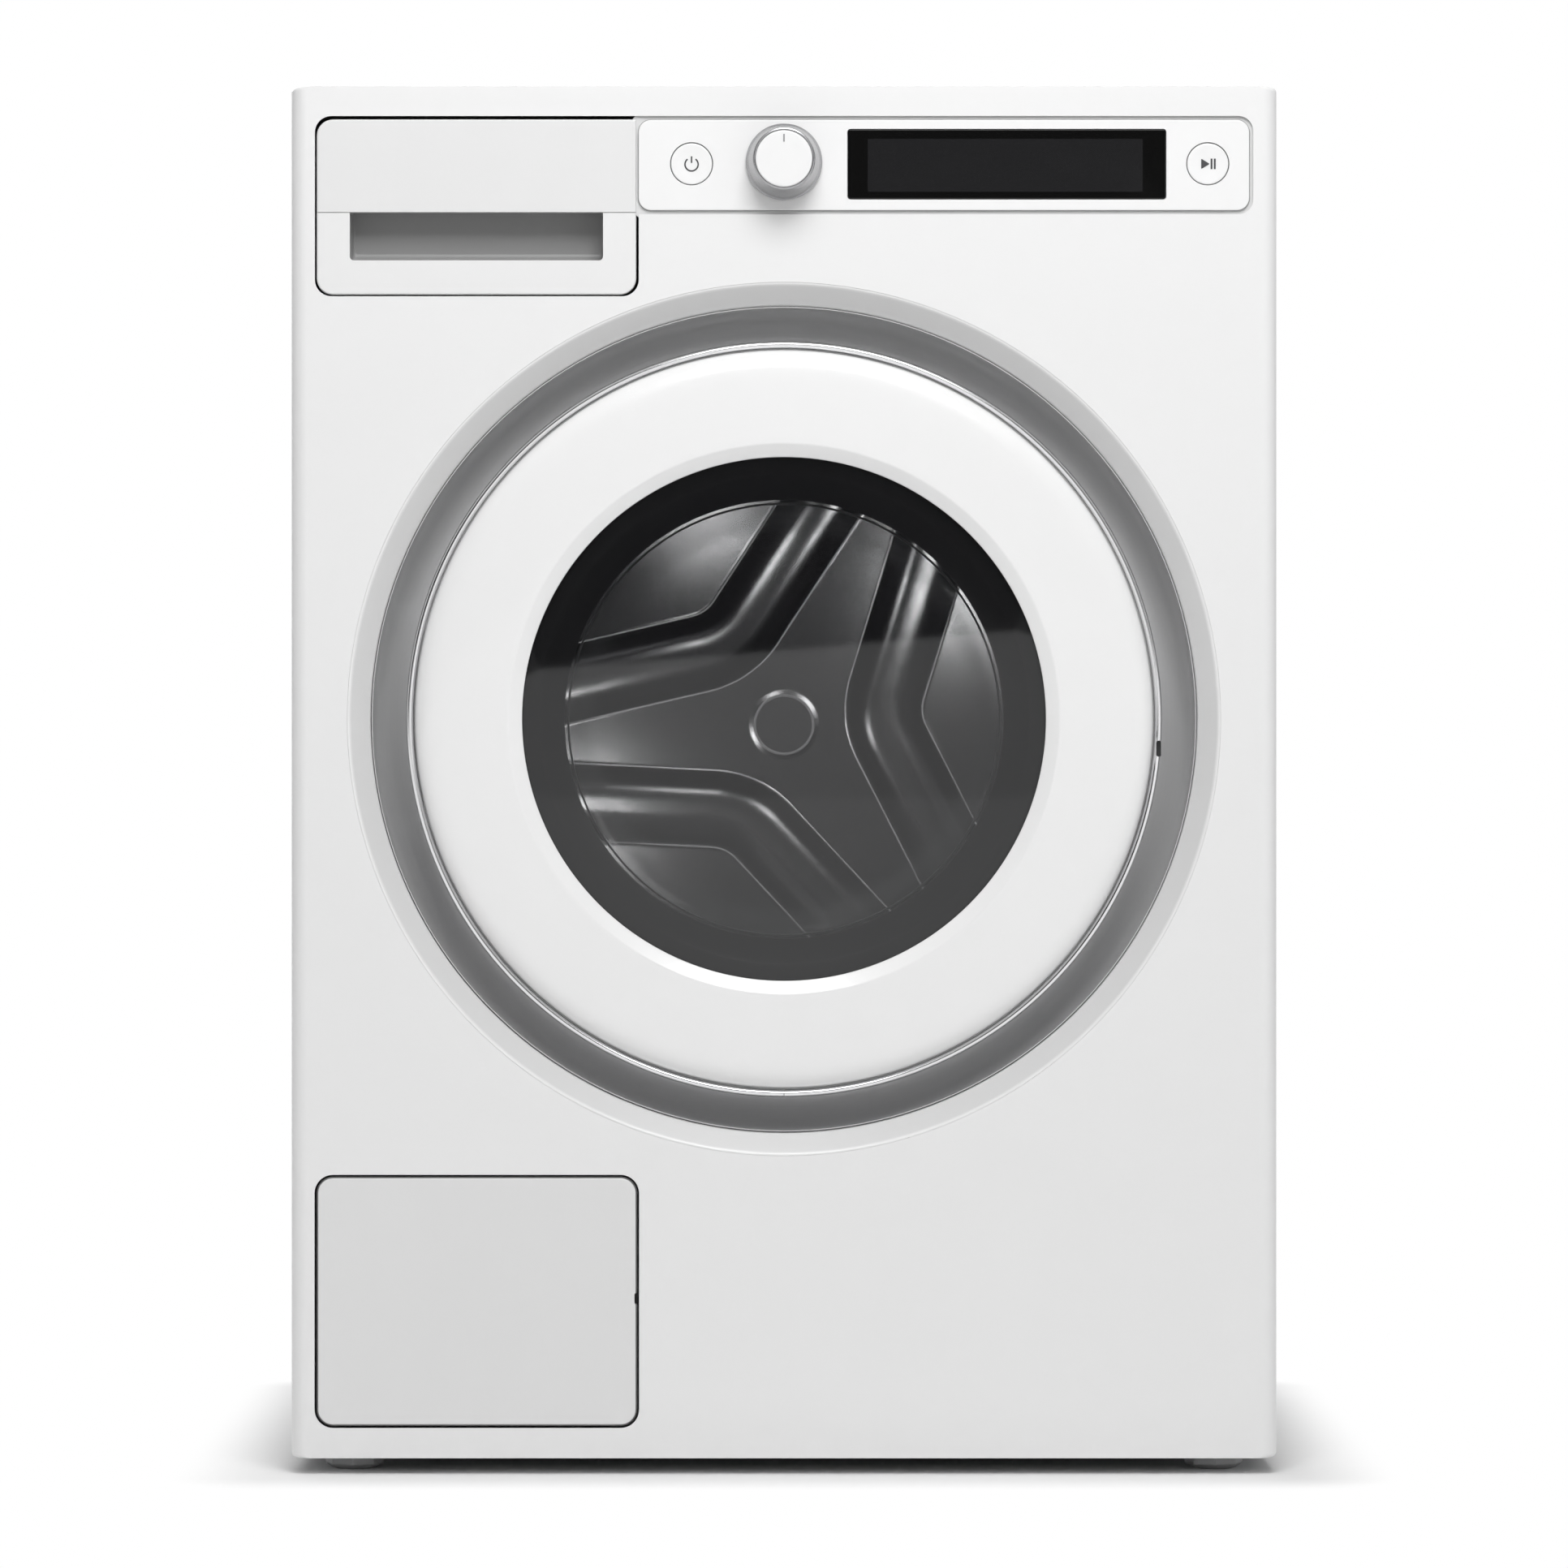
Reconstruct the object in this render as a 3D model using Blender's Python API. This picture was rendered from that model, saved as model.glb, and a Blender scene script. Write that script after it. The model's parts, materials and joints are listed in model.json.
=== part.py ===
"""Front-loading washing machine, built as separate pieces at their real size.

Metres, +Z up. The front faces -Y, X = 0 is the centre plane and Z = 0 lies under the feet.
Depths are measured back from the outer face of the front panel.
"""

import math

import bmesh
import bpy
from mathutils import Matrix, Vector

# Overall sizes
CABINET_WIDTH = 0.600
CABINET_TOP = 0.844
CABINET_DEPTH = 0.560
FOOT_SHOW = 0.010
SHEET = 0.0012
SEAT = 0.0003
OVERRUN = 0.002
KNOB_PROUD = 0.024
REAR_PROUD = 0.014
AXIS_HEIGHT = 0.4594
ROUND_STEPS = 36
HUB_STEPS = 24
SMALL_STEPS = 16
ROD_STEPS = 12
PIN_STEPS = 8
WIRE_SIDES = 6
CORNER_STEPS = 3
SMOOTH_ANGLE = math.radians(32)

HALF_WIDTH = CABINET_WIDTH / 2
INNER_HALF = HALF_WIDTH - SHEET
FRONT_Y = (KNOB_PROUD - REAR_PROUD - CABINET_DEPTH) / 2

# Front panel
PANEL_ROLL = 0.010
PANEL_FLANGE = 0.024
CHAMFER_OUTER = 0.2655
RECESS_RADIUS = 0.2516
CHAMFER_DEPTH = 0.010
RECESS_DEPTH = 0.040
MOUTH_RADIUS = 0.172
MOUTH_LIP = 0.010
BLEND_WIDTH = 0.0045
BLEND_STEP = 0.0002
OPENING_GAP = 0.001
FASCIA_LEFT = -0.0893
FASCIA_RIGHT = 0.2842
FASCIA_BOTTOM = 0.7673
FASCIA_TOP = 0.8250
FASCIA_CORNER = 0.009
DRAWER_LEFT = -0.2842
DRAWER_BOTTOM = 0.7174
DRAWER_CORNER = 0.010
FLAP_LEFT = -0.2842
FLAP_RIGHT = -0.0893
FLAP_BOTTOM = 0.0296
FLAP_TOP = 0.1811
FLAP_CORNER = 0.010
FLAP_GAP = 0.0012

# Side, rear, top and base panels
SIDE_FLANGE = 0.009
PRESS_DEPTH = 0.0025
PRESS_MARGIN = 0.075
PRESS_CORNER = 0.030
PRESS_SLOPE = 0.006
TOP_THICK = 0.0155
TOP_EDGE = 0.0025
TRAY_HEIGHT = 0.014
REAR_OPEN_HALF = 0.185
REAR_OPEN_LOW = 0.235
REAR_OPEN_HIGH = 0.660
REAR_OPEN_CORNER = 0.060
COVER_LAP = 0.012
COVER_RISE = 0.009
COVER_SLOPE = 0.012

# Rail that carries the springs
RAIL_WIDTH = 0.030
RAIL_HEIGHT = 0.014
SPRING_DEPTH = 0.360

# Feet
FOOT_X = 0.264
FOOT_INSET = 0.045
FOOT_RADIUS = 0.018
FOOT_TREAD = 0.0133
FOOT_CHAMFER = 0.003
FOOT_SIDES = 8
STUD_RADIUS = 0.005
STUD_TOP = 0.045
STUD_GAP = 0.0006
BOSS_RADIUS = 0.0100
BOSS_HEIGHT = 0.006


def depth_y(depth):
    """World Y of a depth behind the front panel's face."""
    return FRONT_Y + depth


def rounded(corners, steps=CORNER_STEPS):
    """Outline of a polygon whose corners (x, y, radius) are rounded with arcs."""
    outline = []
    count = len(corners)
    for index, (x, y, radius) in enumerate(corners):
        corner = Vector((x, y))
        if radius == 0:
            outline.append(corner)
            continue
        before = (Vector(corners[index - 1][:2]) - corner).normalized()
        after = (Vector(corners[(index + 1) % count][:2]) - corner).normalized()
        half = before.angle(after) / 2
        centre = corner + (before + after).normalized() * (radius / math.sin(half))
        reach = radius / math.tan(half)
        start = corner + before * reach - centre
        end = corner + after * reach - centre
        first = math.atan2(start.y, start.x)
        turn = math.atan2(end.y, end.x) - first
        turn = (turn + math.pi) % (2 * math.pi) - math.pi
        for step in range(steps + 1):
            angle = first + turn * step / steps
            outline.append(centre + Vector((math.cos(angle), math.sin(angle))) * radius)
    return outline


def rounded_rect(left, right, low, high, radius, steps=CORNER_STEPS):
    """Outline of a rectangle with four equal corner radii."""
    corners = [(left, low, radius), (right, low, radius), (right, high, radius), (left, high, radius)]
    return rounded(corners, steps)


def circle(x, y, radius, steps=SMALL_STEPS):
    """Outline of a circle."""
    turns = [2 * math.pi * step / steps for step in range(steps)]
    return [Vector((x + radius * math.cos(turn), y + radius * math.sin(turn))) for turn in turns]


def arc(x, y, radius, start_deg, end_deg, steps):
    """Points along an arc, both ends included."""
    turns = [math.radians(start_deg + (end_deg - start_deg) * step / steps) for step in range(steps + 1)]
    return [Vector((x + radius * math.cos(turn), y + radius * math.sin(turn))) for turn in turns]


def placed(point, level, along):
    """A point of an outline, lifted to a level along one axis."""
    if along == "X":
        return Vector((level, point[0], point[1]))
    if along == "Y":
        return Vector((point[0], level, point[1]))
    return Vector((point[0], point[1], level))


def stacked(rings, along):
    """Closed solid through a row of (outline, level) pairs with the same number of points."""
    solid = bmesh.new()
    loops = [[solid.verts.new(placed(point, level, along)) for point in outline] for outline, level in rings]
    solid.faces.new(loops[0])
    solid.faces.new(loops[-1])
    count = len(loops[0])
    for near, far in zip(loops, loops[1:]):
        for index in range(count):
            after = (index + 1) % count
            solid.faces.new((near[index], near[after], far[after], far[index]))
    bmesh.ops.recalc_face_normals(solid, faces=solid.faces[:])
    return solid


def loft(low_outline, high_outline, low, high, along):
    """Closed solid between two outlines with the same number of points."""
    return stacked([(low_outline, low), (high_outline, high)], along)


def prism(outline, low, high, along):
    """Closed solid that extrudes an outline along an axis."""
    return loft(outline, outline, low, high, along)


def block(x_range, y_range, z_range):
    """Closed box."""
    corners = [(x, y) for x, y in zip(
        (x_range[0], x_range[1], x_range[1], x_range[0]),
        (y_range[0], y_range[0], y_range[1], y_range[1]))]
    return prism(corners, z_range[0], z_range[1], "Z")


def turned(outline, along="Y", centre=(0, AXIS_HEIGHT), steps=ROUND_STEPS):
    """Solid of revolution; outline points are (radius, place along the axis)."""
    solid = bmesh.new()
    on_axis = outline[0][0] == 0 and outline[-1][0] == 0
    points = []
    for radius, place in outline:
        if along == "Y":
            points.append(solid.verts.new((radius, place, 0)))
        elif along == "Z":
            points.append(solid.verts.new((radius, 0, place)))
        else:
            points.append(solid.verts.new((place, radius, 0)))
    edges = [solid.edges.new(pair) for pair in zip(points, points[1:])]
    if not on_axis:
        edges.append(solid.edges.new((points[-1], points[0])))
    axis = {"X": (1, 0, 0), "Y": (0, 1, 0), "Z": (0, 0, 1)}[along]
    bmesh.ops.spin(solid, geom=points + edges, cent=(0, 0, 0), axis=axis, dvec=(0, 0, 0),
                   angle=2 * math.pi, steps=steps, use_merge=True, use_duplicate=False)
    bmesh.ops.remove_doubles(solid, verts=solid.verts[:], dist=SEAT / 100)
    bmesh.ops.recalc_face_normals(solid, faces=solid.faces[:])
    bmesh.ops.translate(solid, verts=solid.verts[:], vec=placed(centre, 0, along))
    return solid


def front_turned(outline, centre=(0, AXIS_HEIGHT), steps=ROUND_STEPS):
    """Solid of revolution about a front-to-back axis; outline points are (radius, depth)."""
    return turned([(radius, depth_y(depth)) for radius, depth in outline], "Y", centre, steps)


def rod(start, end, radius, steps=PIN_STEPS):
    """Round bar between two points."""
    solid = bmesh.new()
    span = Vector(end) - Vector(start)
    bmesh.ops.create_cone(solid, cap_ends=True, segments=steps, radius1=radius, radius2=radius,
                          depth=span.length)
    turn = span.to_track_quat("Z", "Y").to_matrix().to_4x4()
    middle = (Vector(start) + Vector(end)) / 2
    bmesh.ops.transform(solid, matrix=Matrix.Translation(middle) @ turn, verts=solid.verts[:])
    return solid


def tube_along(route, radius, sides):
    """Closed round tube along a list of points, its rings carried on without twist."""
    points = [Vector(point) for point in route]
    solid = bmesh.new()
    rings = []
    across = None
    for index, point in enumerate(points):
        before = points[max(index - 1, 0)]
        after = points[min(index + 1, len(points) - 1)]
        tangent = (after - before).normalized()
        if across is None:
            across = tangent.orthogonal().normalized()
        across = (across - tangent * across.dot(tangent)).normalized()
        upright = tangent.cross(across)
        ring = []
        for side in range(sides):
            turn = 2 * math.pi * side / sides
            ring.append(solid.verts.new(point + (across * math.cos(turn) + upright * math.sin(turn)) * radius))
        rings.append(ring)
    for near, far in zip(rings, rings[1:]):
        for side in range(sides):
            after = (side + 1) % sides
            solid.faces.new((near[side], near[after], far[after], far[side]))
    solid.faces.new(rings[0])
    solid.faces.new(rings[-1])
    bmesh.ops.recalc_face_normals(solid, faces=solid.faces[:])
    return solid


def moved(solid, matrix):
    """The same solid after a transform."""
    bmesh.ops.transform(solid, matrix=matrix, verts=solid.verts[:])
    return solid


def about_axis(angle, x=0, z=AXIS_HEIGHT):
    """Turn about a front-to-back axis through (x, z)."""
    centre = Vector((x, 0, z))
    return Matrix.Translation(centre) @ Matrix.Rotation(angle, 4, "Y") @ Matrix.Translation(-centre)


def finish_material(name, colour, roughness, metallic=0.0, alpha=1.0):
    """Principled material of one finish."""
    material = bpy.data.materials.new(name)
    material.use_nodes = True
    shader = material.node_tree.nodes["Principled BSDF"]
    shader.inputs["Base Color"].default_value = (*colour, 1.0)
    shader.inputs["Roughness"].default_value = roughness
    shader.inputs["Metallic"].default_value = metallic
    shader.inputs["Alpha"].default_value = alpha
    return material


def mesh_object(name, solids):
    """Object that holds one or more closed solids."""
    mesh = bpy.data.meshes.new(name)
    whole = bmesh.new()
    for solid in solids:
        part = bpy.data.meshes.new(name + "_part")
        solid.to_mesh(part)
        solid.free()
        whole.from_mesh(part)
        bpy.data.meshes.remove(part)
    whole.to_mesh(mesh)
    whole.free()
    made = bpy.data.objects.new(name, mesh)
    bpy.context.scene.collection.objects.link(made)
    return made


def piece(name, finish, *solids, trim=(), add=(), cut=()):
    """One named piece: its solids trimmed first, then fused with what is added, then cut."""
    made = mesh_object(name, solids)
    made.data.materials.append(finish_material(name, *finish))
    made.data.shade_smooth()
    made.data.set_sharp_from_angle(angle=SMOOTH_ANGLE)
    jobs = [("DIFFERENCE", tool) for tool in trim]
    jobs += [("UNION", tool) for tool in add]
    jobs += [("DIFFERENCE", tool) for tool in cut]
    for index, (operation, tool) in enumerate(jobs):
        helper = mesh_object(f"{name}_tool_{index}", [tool])
        helper.hide_render = True
        helper.display_type = "WIRE"
        change = made.modifiers.new(f"{operation.lower()}_{index}", "BOOLEAN")
        change.operation = operation
        change.object = helper
    return made


def carried_by(name, point, *pieces):
    """Empty on a joint's axis that carries the pieces which move together."""
    pivot = bpy.data.objects.new(name, None)
    bpy.context.scene.collection.objects.link(pivot)
    pivot.location = point
    for made in pieces:
        helpers = [change.object for change in made.modifiers if change.type == "BOOLEAN"]
        for member in [made] + helpers:
            member.parent = pivot
            member.location = -Vector(point)
    return pivot


WHITE_STEEL = ((0.86, 0.86, 0.86), 0.35)
WHITE_PLASTIC = ((0.88, 0.88, 0.88), 0.40)
GREY_SILVER = ((0.30, 0.30, 0.31), 0.38, 0.6)
BRIGHT_TRIM = ((0.75, 0.75, 0.76), 0.18, 0.9)
BLACK_GLOSS = ((0.01, 0.01, 0.01), 0.08)
DARK_PLASTIC = ((0.03, 0.03, 0.03), 0.45)
GREY_PLASTIC = ((0.45, 0.45, 0.46), 0.50)
TINTED = ((0.05, 0.05, 0.055), 0.05, 0.0, 0.55)
CLEAR_GLASS = ((0.80, 0.83, 0.83), 0.03, 0.0, 0.35)
STAINLESS = ((0.52, 0.52, 0.53), 0.28, 1.0)
ZINC_STEEL = ((0.60, 0.61, 0.62), 0.40, 1.0)
CAST_ALUMINIUM = ((0.55, 0.55, 0.56), 0.50, 1.0)
RUBBER_GREY = ((0.22, 0.22, 0.23), 0.70)
RUBBER_BLACK = ((0.02, 0.02, 0.02), 0.75)
CAST_IRON = ((0.20, 0.20, 0.21), 0.70, 0.8)


def opening_outline(gap):
    """Outline of the joined fascia and drawer opening, grown by a gap."""
    left, right = DRAWER_LEFT - gap, FASCIA_RIGHT + gap
    split, top = FASCIA_LEFT + gap, FASCIA_TOP + gap
    return rounded([
        (left, DRAWER_BOTTOM - gap, DRAWER_CORNER), (split, DRAWER_BOTTOM - gap, DRAWER_CORNER),
        (split, FASCIA_BOTTOM - gap, 0), (right, FASCIA_BOTTOM - gap, FASCIA_CORNER),
        (right, top, FASCIA_CORNER), (left, top, DRAWER_CORNER)])


def flap_outline(grow):
    """Outline of the service flap, grown by a margin."""
    return rounded_rect(FLAP_LEFT - grow, FLAP_RIGHT + grow, FLAP_BOTTOM - grow, FLAP_TOP + grow,
                        FLAP_CORNER + grow)


# Hinge and latch of the door, seen from the front as offsets from the door's centre
HINGE_X = -0.212
HINGE_DEPTH = 0.0118
HINGE_EYE = 0.0045
HINGE_PIN = 0.0025
HINGE_BORE = 0.0029
LUG_OFFSET = 0.060
LUG_THICK = 0.008
LUG_LEAN = 0.009
LUG_GAP = 0.0015
BRACKET_THICK = 0.0025
BRACKET_WIDTH = 0.036
BRACKET_HALF = 0.085
LATCH_X = 0.205
LATCH_SLOT = 0.010
LATCH_SLOT_HALF = 0.0105
HINGE_ROOM = 0.0006


def front_panel():
    """Steel front with rolled sides, round door recess and its openings."""
    def pan(inset, low, high, back):
        half, face = HALF_WIDTH - inset, depth_y(inset)
        roll = PANEL_ROLL - inset
        outline = rounded([(-half, depth_y(back), 0), (-half, face, roll), (half, face, roll),
                           (half, depth_y(back), 0)])
        return prism(outline, low, high, "Z")

    hollow = pan(SHEET, FOOT_SHOW + SHEET, CABINET_TOP - SHEET, PANEL_FLANGE + OVERRUN)
    outer, wall, mouth, floor = CHAMFER_OUTER, RECESS_RADIUS, MOUTH_RADIUS, RECESS_DEPTH
    hole = front_turned([(0, -OVERRUN), (outer, -OVERRUN), (outer, PANEL_FLANGE), (0, PANEL_FLANGE)])
    recess = front_turned([
        (outer + BLEND_WIDTH, BLEND_STEP), (outer, BLEND_STEP), (wall, CHAMFER_DEPTH), (wall, floor),
        (mouth, floor), (mouth, floor + MOUTH_LIP), (mouth + SHEET, floor + MOUTH_LIP),
        (mouth + SHEET, floor + SHEET), (wall + SHEET, floor + SHEET), (wall + SHEET, CHAMFER_DEPTH),
        (outer, SHEET - BLEND_STEP), (outer + BLEND_WIDTH, SHEET - BLEND_STEP)])
    through = (depth_y(floor - OVERRUN), depth_y(floor + OVERRUN))
    slots = [block((LATCH_X - LATCH_SLOT, LATCH_X + LATCH_SLOT), through,
                   (AXIS_HEIGHT - LATCH_SLOT_HALF, AXIS_HEIGHT + LATCH_SLOT_HALF))]
    lug_x, reach = HINGE_X + LUG_LEAN, HINGE_EYE + LUG_GAP
    for side in (-1, 1):
        middle, half = AXIS_HEIGHT + side * LUG_OFFSET, LUG_THICK / 2 + LUG_GAP
        slots.append(block((lug_x - reach, lug_x + reach), through, (middle - half, middle + half)))
    face = (depth_y(-OVERRUN), depth_y(SHEET + OVERRUN))
    return piece(
        "front_panel", WHITE_STEEL, pan(0, FOOT_SHOW, CABINET_TOP, PANEL_FLANGE),
        trim=[hollow, hole, prism(opening_outline(OPENING_GAP), *face, "Y"),
              prism(flap_outline(FLAP_GAP), *face, "Y")],
        add=[recess], cut=slots)


def side_panel(side):
    """Steel side with folded edges and a shallow pressed field."""
    front, back = depth_y(PANEL_FLANGE + SEAT), depth_y(CABINET_DEPTH - SHEET - SEAT)
    low, high = FOOT_SHOW, CABINET_TOP - TOP_THICK - SEAT
    outer, inner, lip = side * HALF_WIDTH, side * INNER_HALF, side * (INNER_HALF - SIDE_FLANGE)
    channel = [(outer, front), (lip, front), (lip, front + SHEET), (inner, front + SHEET),
               (inner, back - SHEET), (lip, back - SHEET), (lip, back), (outer, back)]
    foot_room = block(sorted((lip - side * OVERRUN, inner)), (front - OVERRUN, back + OVERRUN),
                      (low - OVERRUN, low + TRAY_HEIGHT + SEAT * 2))
    margin = PRESS_MARGIN
    field = [front + margin, back - margin, low + margin, high - margin]
    wide = rounded_rect(*field, PRESS_CORNER)
    narrow = rounded_rect(field[0] + PRESS_SLOPE, field[1] - PRESS_SLOPE, field[2] + PRESS_SLOPE,
                          field[3] - PRESS_SLOPE, PRESS_CORNER - PRESS_SLOPE)
    inward = inner - side * PRESS_DEPTH
    hollow_end = outer - side * PRESS_DEPTH
    swell = loft(wide, narrow, inner + side * SHEET / 2, inward, "X")
    sink = loft(wide, narrow, outer + side * SEAT, hollow_end, "X")
    name = "side_panel_left" if side < 0 else "side_panel_right"
    return piece(name, WHITE_STEEL, prism(channel, low, high, "Z"), trim=[foot_room],
                 add=[swell], cut=[sink])


def rear_opening(grow):
    """Outline of the rear panel's service opening, grown by a margin."""
    return rounded_rect(-REAR_OPEN_HALF - grow, REAR_OPEN_HALF + grow, REAR_OPEN_LOW - grow,
                        REAR_OPEN_HIGH + grow, REAR_OPEN_CORNER + grow)


# Fittings on the rear panel
INLET_X = 0.200
INLET_Z = 0.770
INLET_RADIUS = 0.0132
INLET_BORE = 0.0085
INLET_COLLAR = 0.0170
INLET_BODY = 0.040
OUTLET_X = -0.205
OUTLET_Z = 0.735
OUTLET_RADIUS = 0.0115
OUTLET_BORE = 0.0090
OUTLET_PROUD = 0.012
OUTLET_BACK = 0.030
CORD_X = -0.120
CORD_Z = 0.770
CORD_RADIUS = 0.0095
CORD_BORE = 0.0042
CORD_PROUD = 0.006
PLUG_X = 0.238
PLUG_ZS = (0.330, 0.640)
PLUG_HEAD = 0.0165
PLUG_PROUD = 0.003
HOLE_GAP = 0.0004


def rear_panel():
    """Flat steel back with the service opening, the fittings' holes and the transit bolts' caps."""
    low, high = FOOT_SHOW, CABINET_TOP - TOP_THICK - SEAT
    back = (depth_y(CABINET_DEPTH - SHEET), depth_y(CABINET_DEPTH))
    through = (back[0] - OVERRUN, back[1] + OVERRUN)
    holes = [prism(rear_opening(0), *through, "Y")]
    for x, z, radius in ((INLET_X, INLET_Z, INLET_RADIUS), (OUTLET_X, OUTLET_Z, OUTLET_RADIUS),
                         (CORD_X, CORD_Z, CORD_RADIUS)):
        holes.append(prism(circle(x, z, radius + HOLE_GAP), *through, "Y"))
    root, crown = CABINET_DEPTH - SHEET / 2, CABINET_DEPTH + PLUG_PROUD
    cap = [(0, root), (PLUG_HEAD, root), (PLUG_HEAD, CABINET_DEPTH + BLEND_STEP),
           (PLUG_HEAD - PLUG_PROUD, crown), (0, crown)]
    caps = [front_turned(cap, (side * PLUG_X, height), SMALL_STEPS) for side in (-1, 1) for height in PLUG_ZS]
    return piece("rear_panel", ZINC_STEEL, block((-HALF_WIDTH, HALF_WIDTH), back, (low, high)),
                 add=caps, cut=holes)


def rear_cover():
    """Dished service cover over the rear opening, with the heads of its screws."""
    base = depth_y(CABINET_DEPTH + SEAT)
    plate = prism(rear_opening(COVER_LAP), base, base + SHEET, "Y")
    rise, slope = COVER_RISE, COVER_SLOPE
    dome = loft(rear_opening(-SHEET), rear_opening(-slope), base + SHEET / 2, base + rise, "Y")
    hollow = loft(rear_opening(-SHEET * 2), rear_opening(-slope - SHEET), base - OVERRUN,
                  base + rise - SHEET, "Y")
    return piece("rear_cover", ZINC_STEEL, plate, add=[dome] + cover_screws(), cut=[hollow])


def top_panel():
    """Worktop slab with softened edges, behind the front panel's top edge."""
    made = piece("top_panel", WHITE_PLASTIC,
                 block((-HALF_WIDTH, HALF_WIDTH), (depth_y(PANEL_FLANGE + SEAT), depth_y(CABINET_DEPTH)),
                       (CABINET_TOP - TOP_THICK, CABINET_TOP)))
    edge = made.modifiers.new("edge", "BEVEL")
    edge.width = TOP_EDGE
    edge.segments = 2
    edge.limit_method = "ANGLE"
    return made


def foot_places():
    """Plan places of the four feet."""
    front, back = depth_y(FOOT_INSET), depth_y(CABINET_DEPTH - FOOT_INSET)
    return {"front_left": (-FOOT_X, front), "front_right": (FOOT_X, front),
            "rear_left": (-FOOT_X, back), "rear_right": (FOOT_X, back)}


def base_tray():
    """Steel base pan with the threaded bosses of the feet's studs."""
    half = INNER_HALF - SEAT
    front, back = depth_y(PANEL_FLANGE + 2 * SEAT), depth_y(CABINET_DEPTH - SHEET - 2 * SEAT)
    low = FOOT_SHOW
    hollow = block((-half + SHEET, half - SHEET), (front + SHEET, back - SHEET),
                   (low + SHEET, low + TRAY_HEIGHT + OVERRUN))
    bosses, holes = [], []
    for x, y in foot_places().values():
        bosses.append(prism(circle(x, y, BOSS_RADIUS), low + SHEET / 2, low + SHEET + BOSS_HEIGHT, "Z"))
        holes.append(prism(circle(x, y, STUD_RADIUS + STUD_GAP), low - OVERRUN,
                           low + SHEET + BOSS_HEIGHT + OVERRUN, "Z"))
    return piece("base_tray", ZINC_STEEL, block((-half, half), (front, back), (low, low + TRAY_HEIGHT)),
                 trim=[hollow], add=bosses, cut=holes)


def spring_rail():
    """Channel rail between the sides that carries the springs."""
    half, top = INNER_HALF - SEAT, CABINET_TOP - TOP_THICK - SEAT
    span = (depth_y(SPRING_DEPTH - RAIL_WIDTH / 2), depth_y(SPRING_DEPTH + RAIL_WIDTH / 2))
    hollow = block((-half - OVERRUN, half + OVERRUN), (span[0] + SHEET, span[1] - SHEET),
                   (top - RAIL_HEIGHT + SHEET, top + OVERRUN))
    return piece("spring_rail", ZINC_STEEL, block((-half, half), span, (top - RAIL_HEIGHT, top)), trim=[hollow])


def feet():
    """Four levelling feet, each a faceted pad with its stud, carried on its own axis."""
    pad = [(0, 0), (FOOT_TREAD, 0), (FOOT_RADIUS, FOOT_CHAMFER), (FOOT_RADIUS, FOOT_SHOW - SEAT),
           (0, FOOT_SHOW - SEAT)]
    stud = [(0, FOOT_CHAMFER), (STUD_RADIUS, FOOT_CHAMFER), (STUD_RADIUS, STUD_TOP), (0, STUD_TOP)]
    for name, place in foot_places().items():
        made = piece("foot_" + name, DARK_PLASTIC, turned(pad, "Z", place, FOOT_SIDES),
                     add=[turned(stud, "Z", place, PIN_STEPS)])
        carried_by("axis_foot_" + name, (*place, 0), made)


# Screws
SCREW_HEAD = 0.0040
SCREW_TALL = 0.0022
SCREW_SIDES = 8
COVER_SCREW_INSET = 0.006


def cover_screws():
    """Heads of the rear cover's screws, rooted in its plate."""
    root, seat = CABINET_DEPTH + SEAT + SHEET / 2, CABINET_DEPTH + SEAT + SHEET
    head = [(0, root), (SCREW_HEAD, root), (SCREW_HEAD, seat + SCREW_TALL / 2),
            (SCREW_HEAD / 2, seat + SCREW_TALL), (0, seat + SCREW_TALL)]
    spread = REAR_OPEN_HALF + COVER_SCREW_INSET
    low, high = REAR_OPEN_LOW - COVER_SCREW_INSET, REAR_OPEN_HIGH + COVER_SCREW_INSET
    middle = (low + high) / 2
    places = [(side * spread, height) for side in (-1, 1)
              for height in (low + REAR_OPEN_CORNER, middle, high - REAR_OPEN_CORNER)]
    places += [(0, low), (0, high)]
    return [front_turned(head, place, SCREW_SIDES) for place in places]


def rear_fittings():
    """Inlet valve, drain outlet and cord gland, held in the rear panel's holes."""
    inside = CABINET_DEPTH - SHEET - SEAT
    rear = CABINET_DEPTH + REAR_PROUD
    spigot = front_turned([
        (INLET_BORE, inside - INLET_BODY / 2), (INLET_COLLAR, inside - INLET_BODY / 2),
        (INLET_COLLAR, inside), (INLET_RADIUS, inside), (INLET_RADIUS, rear), (INLET_BORE, rear)],
        (INLET_X, INLET_Z), SMALL_STEPS)
    coil = block((INLET_X - INLET_BODY / 2, INLET_X + INLET_BODY / 2),
                 (depth_y(inside - INLET_BODY), depth_y(inside - INLET_BODY / 2 + OVERRUN)),
                 (INLET_Z - INLET_COLLAR - OVERRUN, INLET_Z + INLET_COLLAR + OVERRUN))
    piece("inlet_valve", WHITE_PLASTIC, spigot, add=[coil])
    proud = CABINET_DEPTH + OUTLET_PROUD
    piece("drain_outlet", GREY_PLASTIC, front_turned([
        (OUTLET_BORE, inside - OUTLET_BACK), (INLET_COLLAR, inside - OUTLET_BACK), (INLET_COLLAR, inside),
        (OUTLET_RADIUS, inside), (OUTLET_RADIUS, proud), (OUTLET_BORE, proud)],
        (OUTLET_X, OUTLET_Z), SMALL_STEPS))
    proud = CABINET_DEPTH + CORD_PROUD
    piece("cord_gland", DARK_PLASTIC, front_turned([
        (CORD_BORE, inside - CORD_RADIUS), (INLET_COLLAR, inside - CORD_RADIUS), (INLET_COLLAR, inside),
        (CORD_RADIUS, inside), (CORD_RADIUS, proud), (CORD_BORE, proud)],
        (CORD_X, CORD_Z), SMALL_STEPS))


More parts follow.
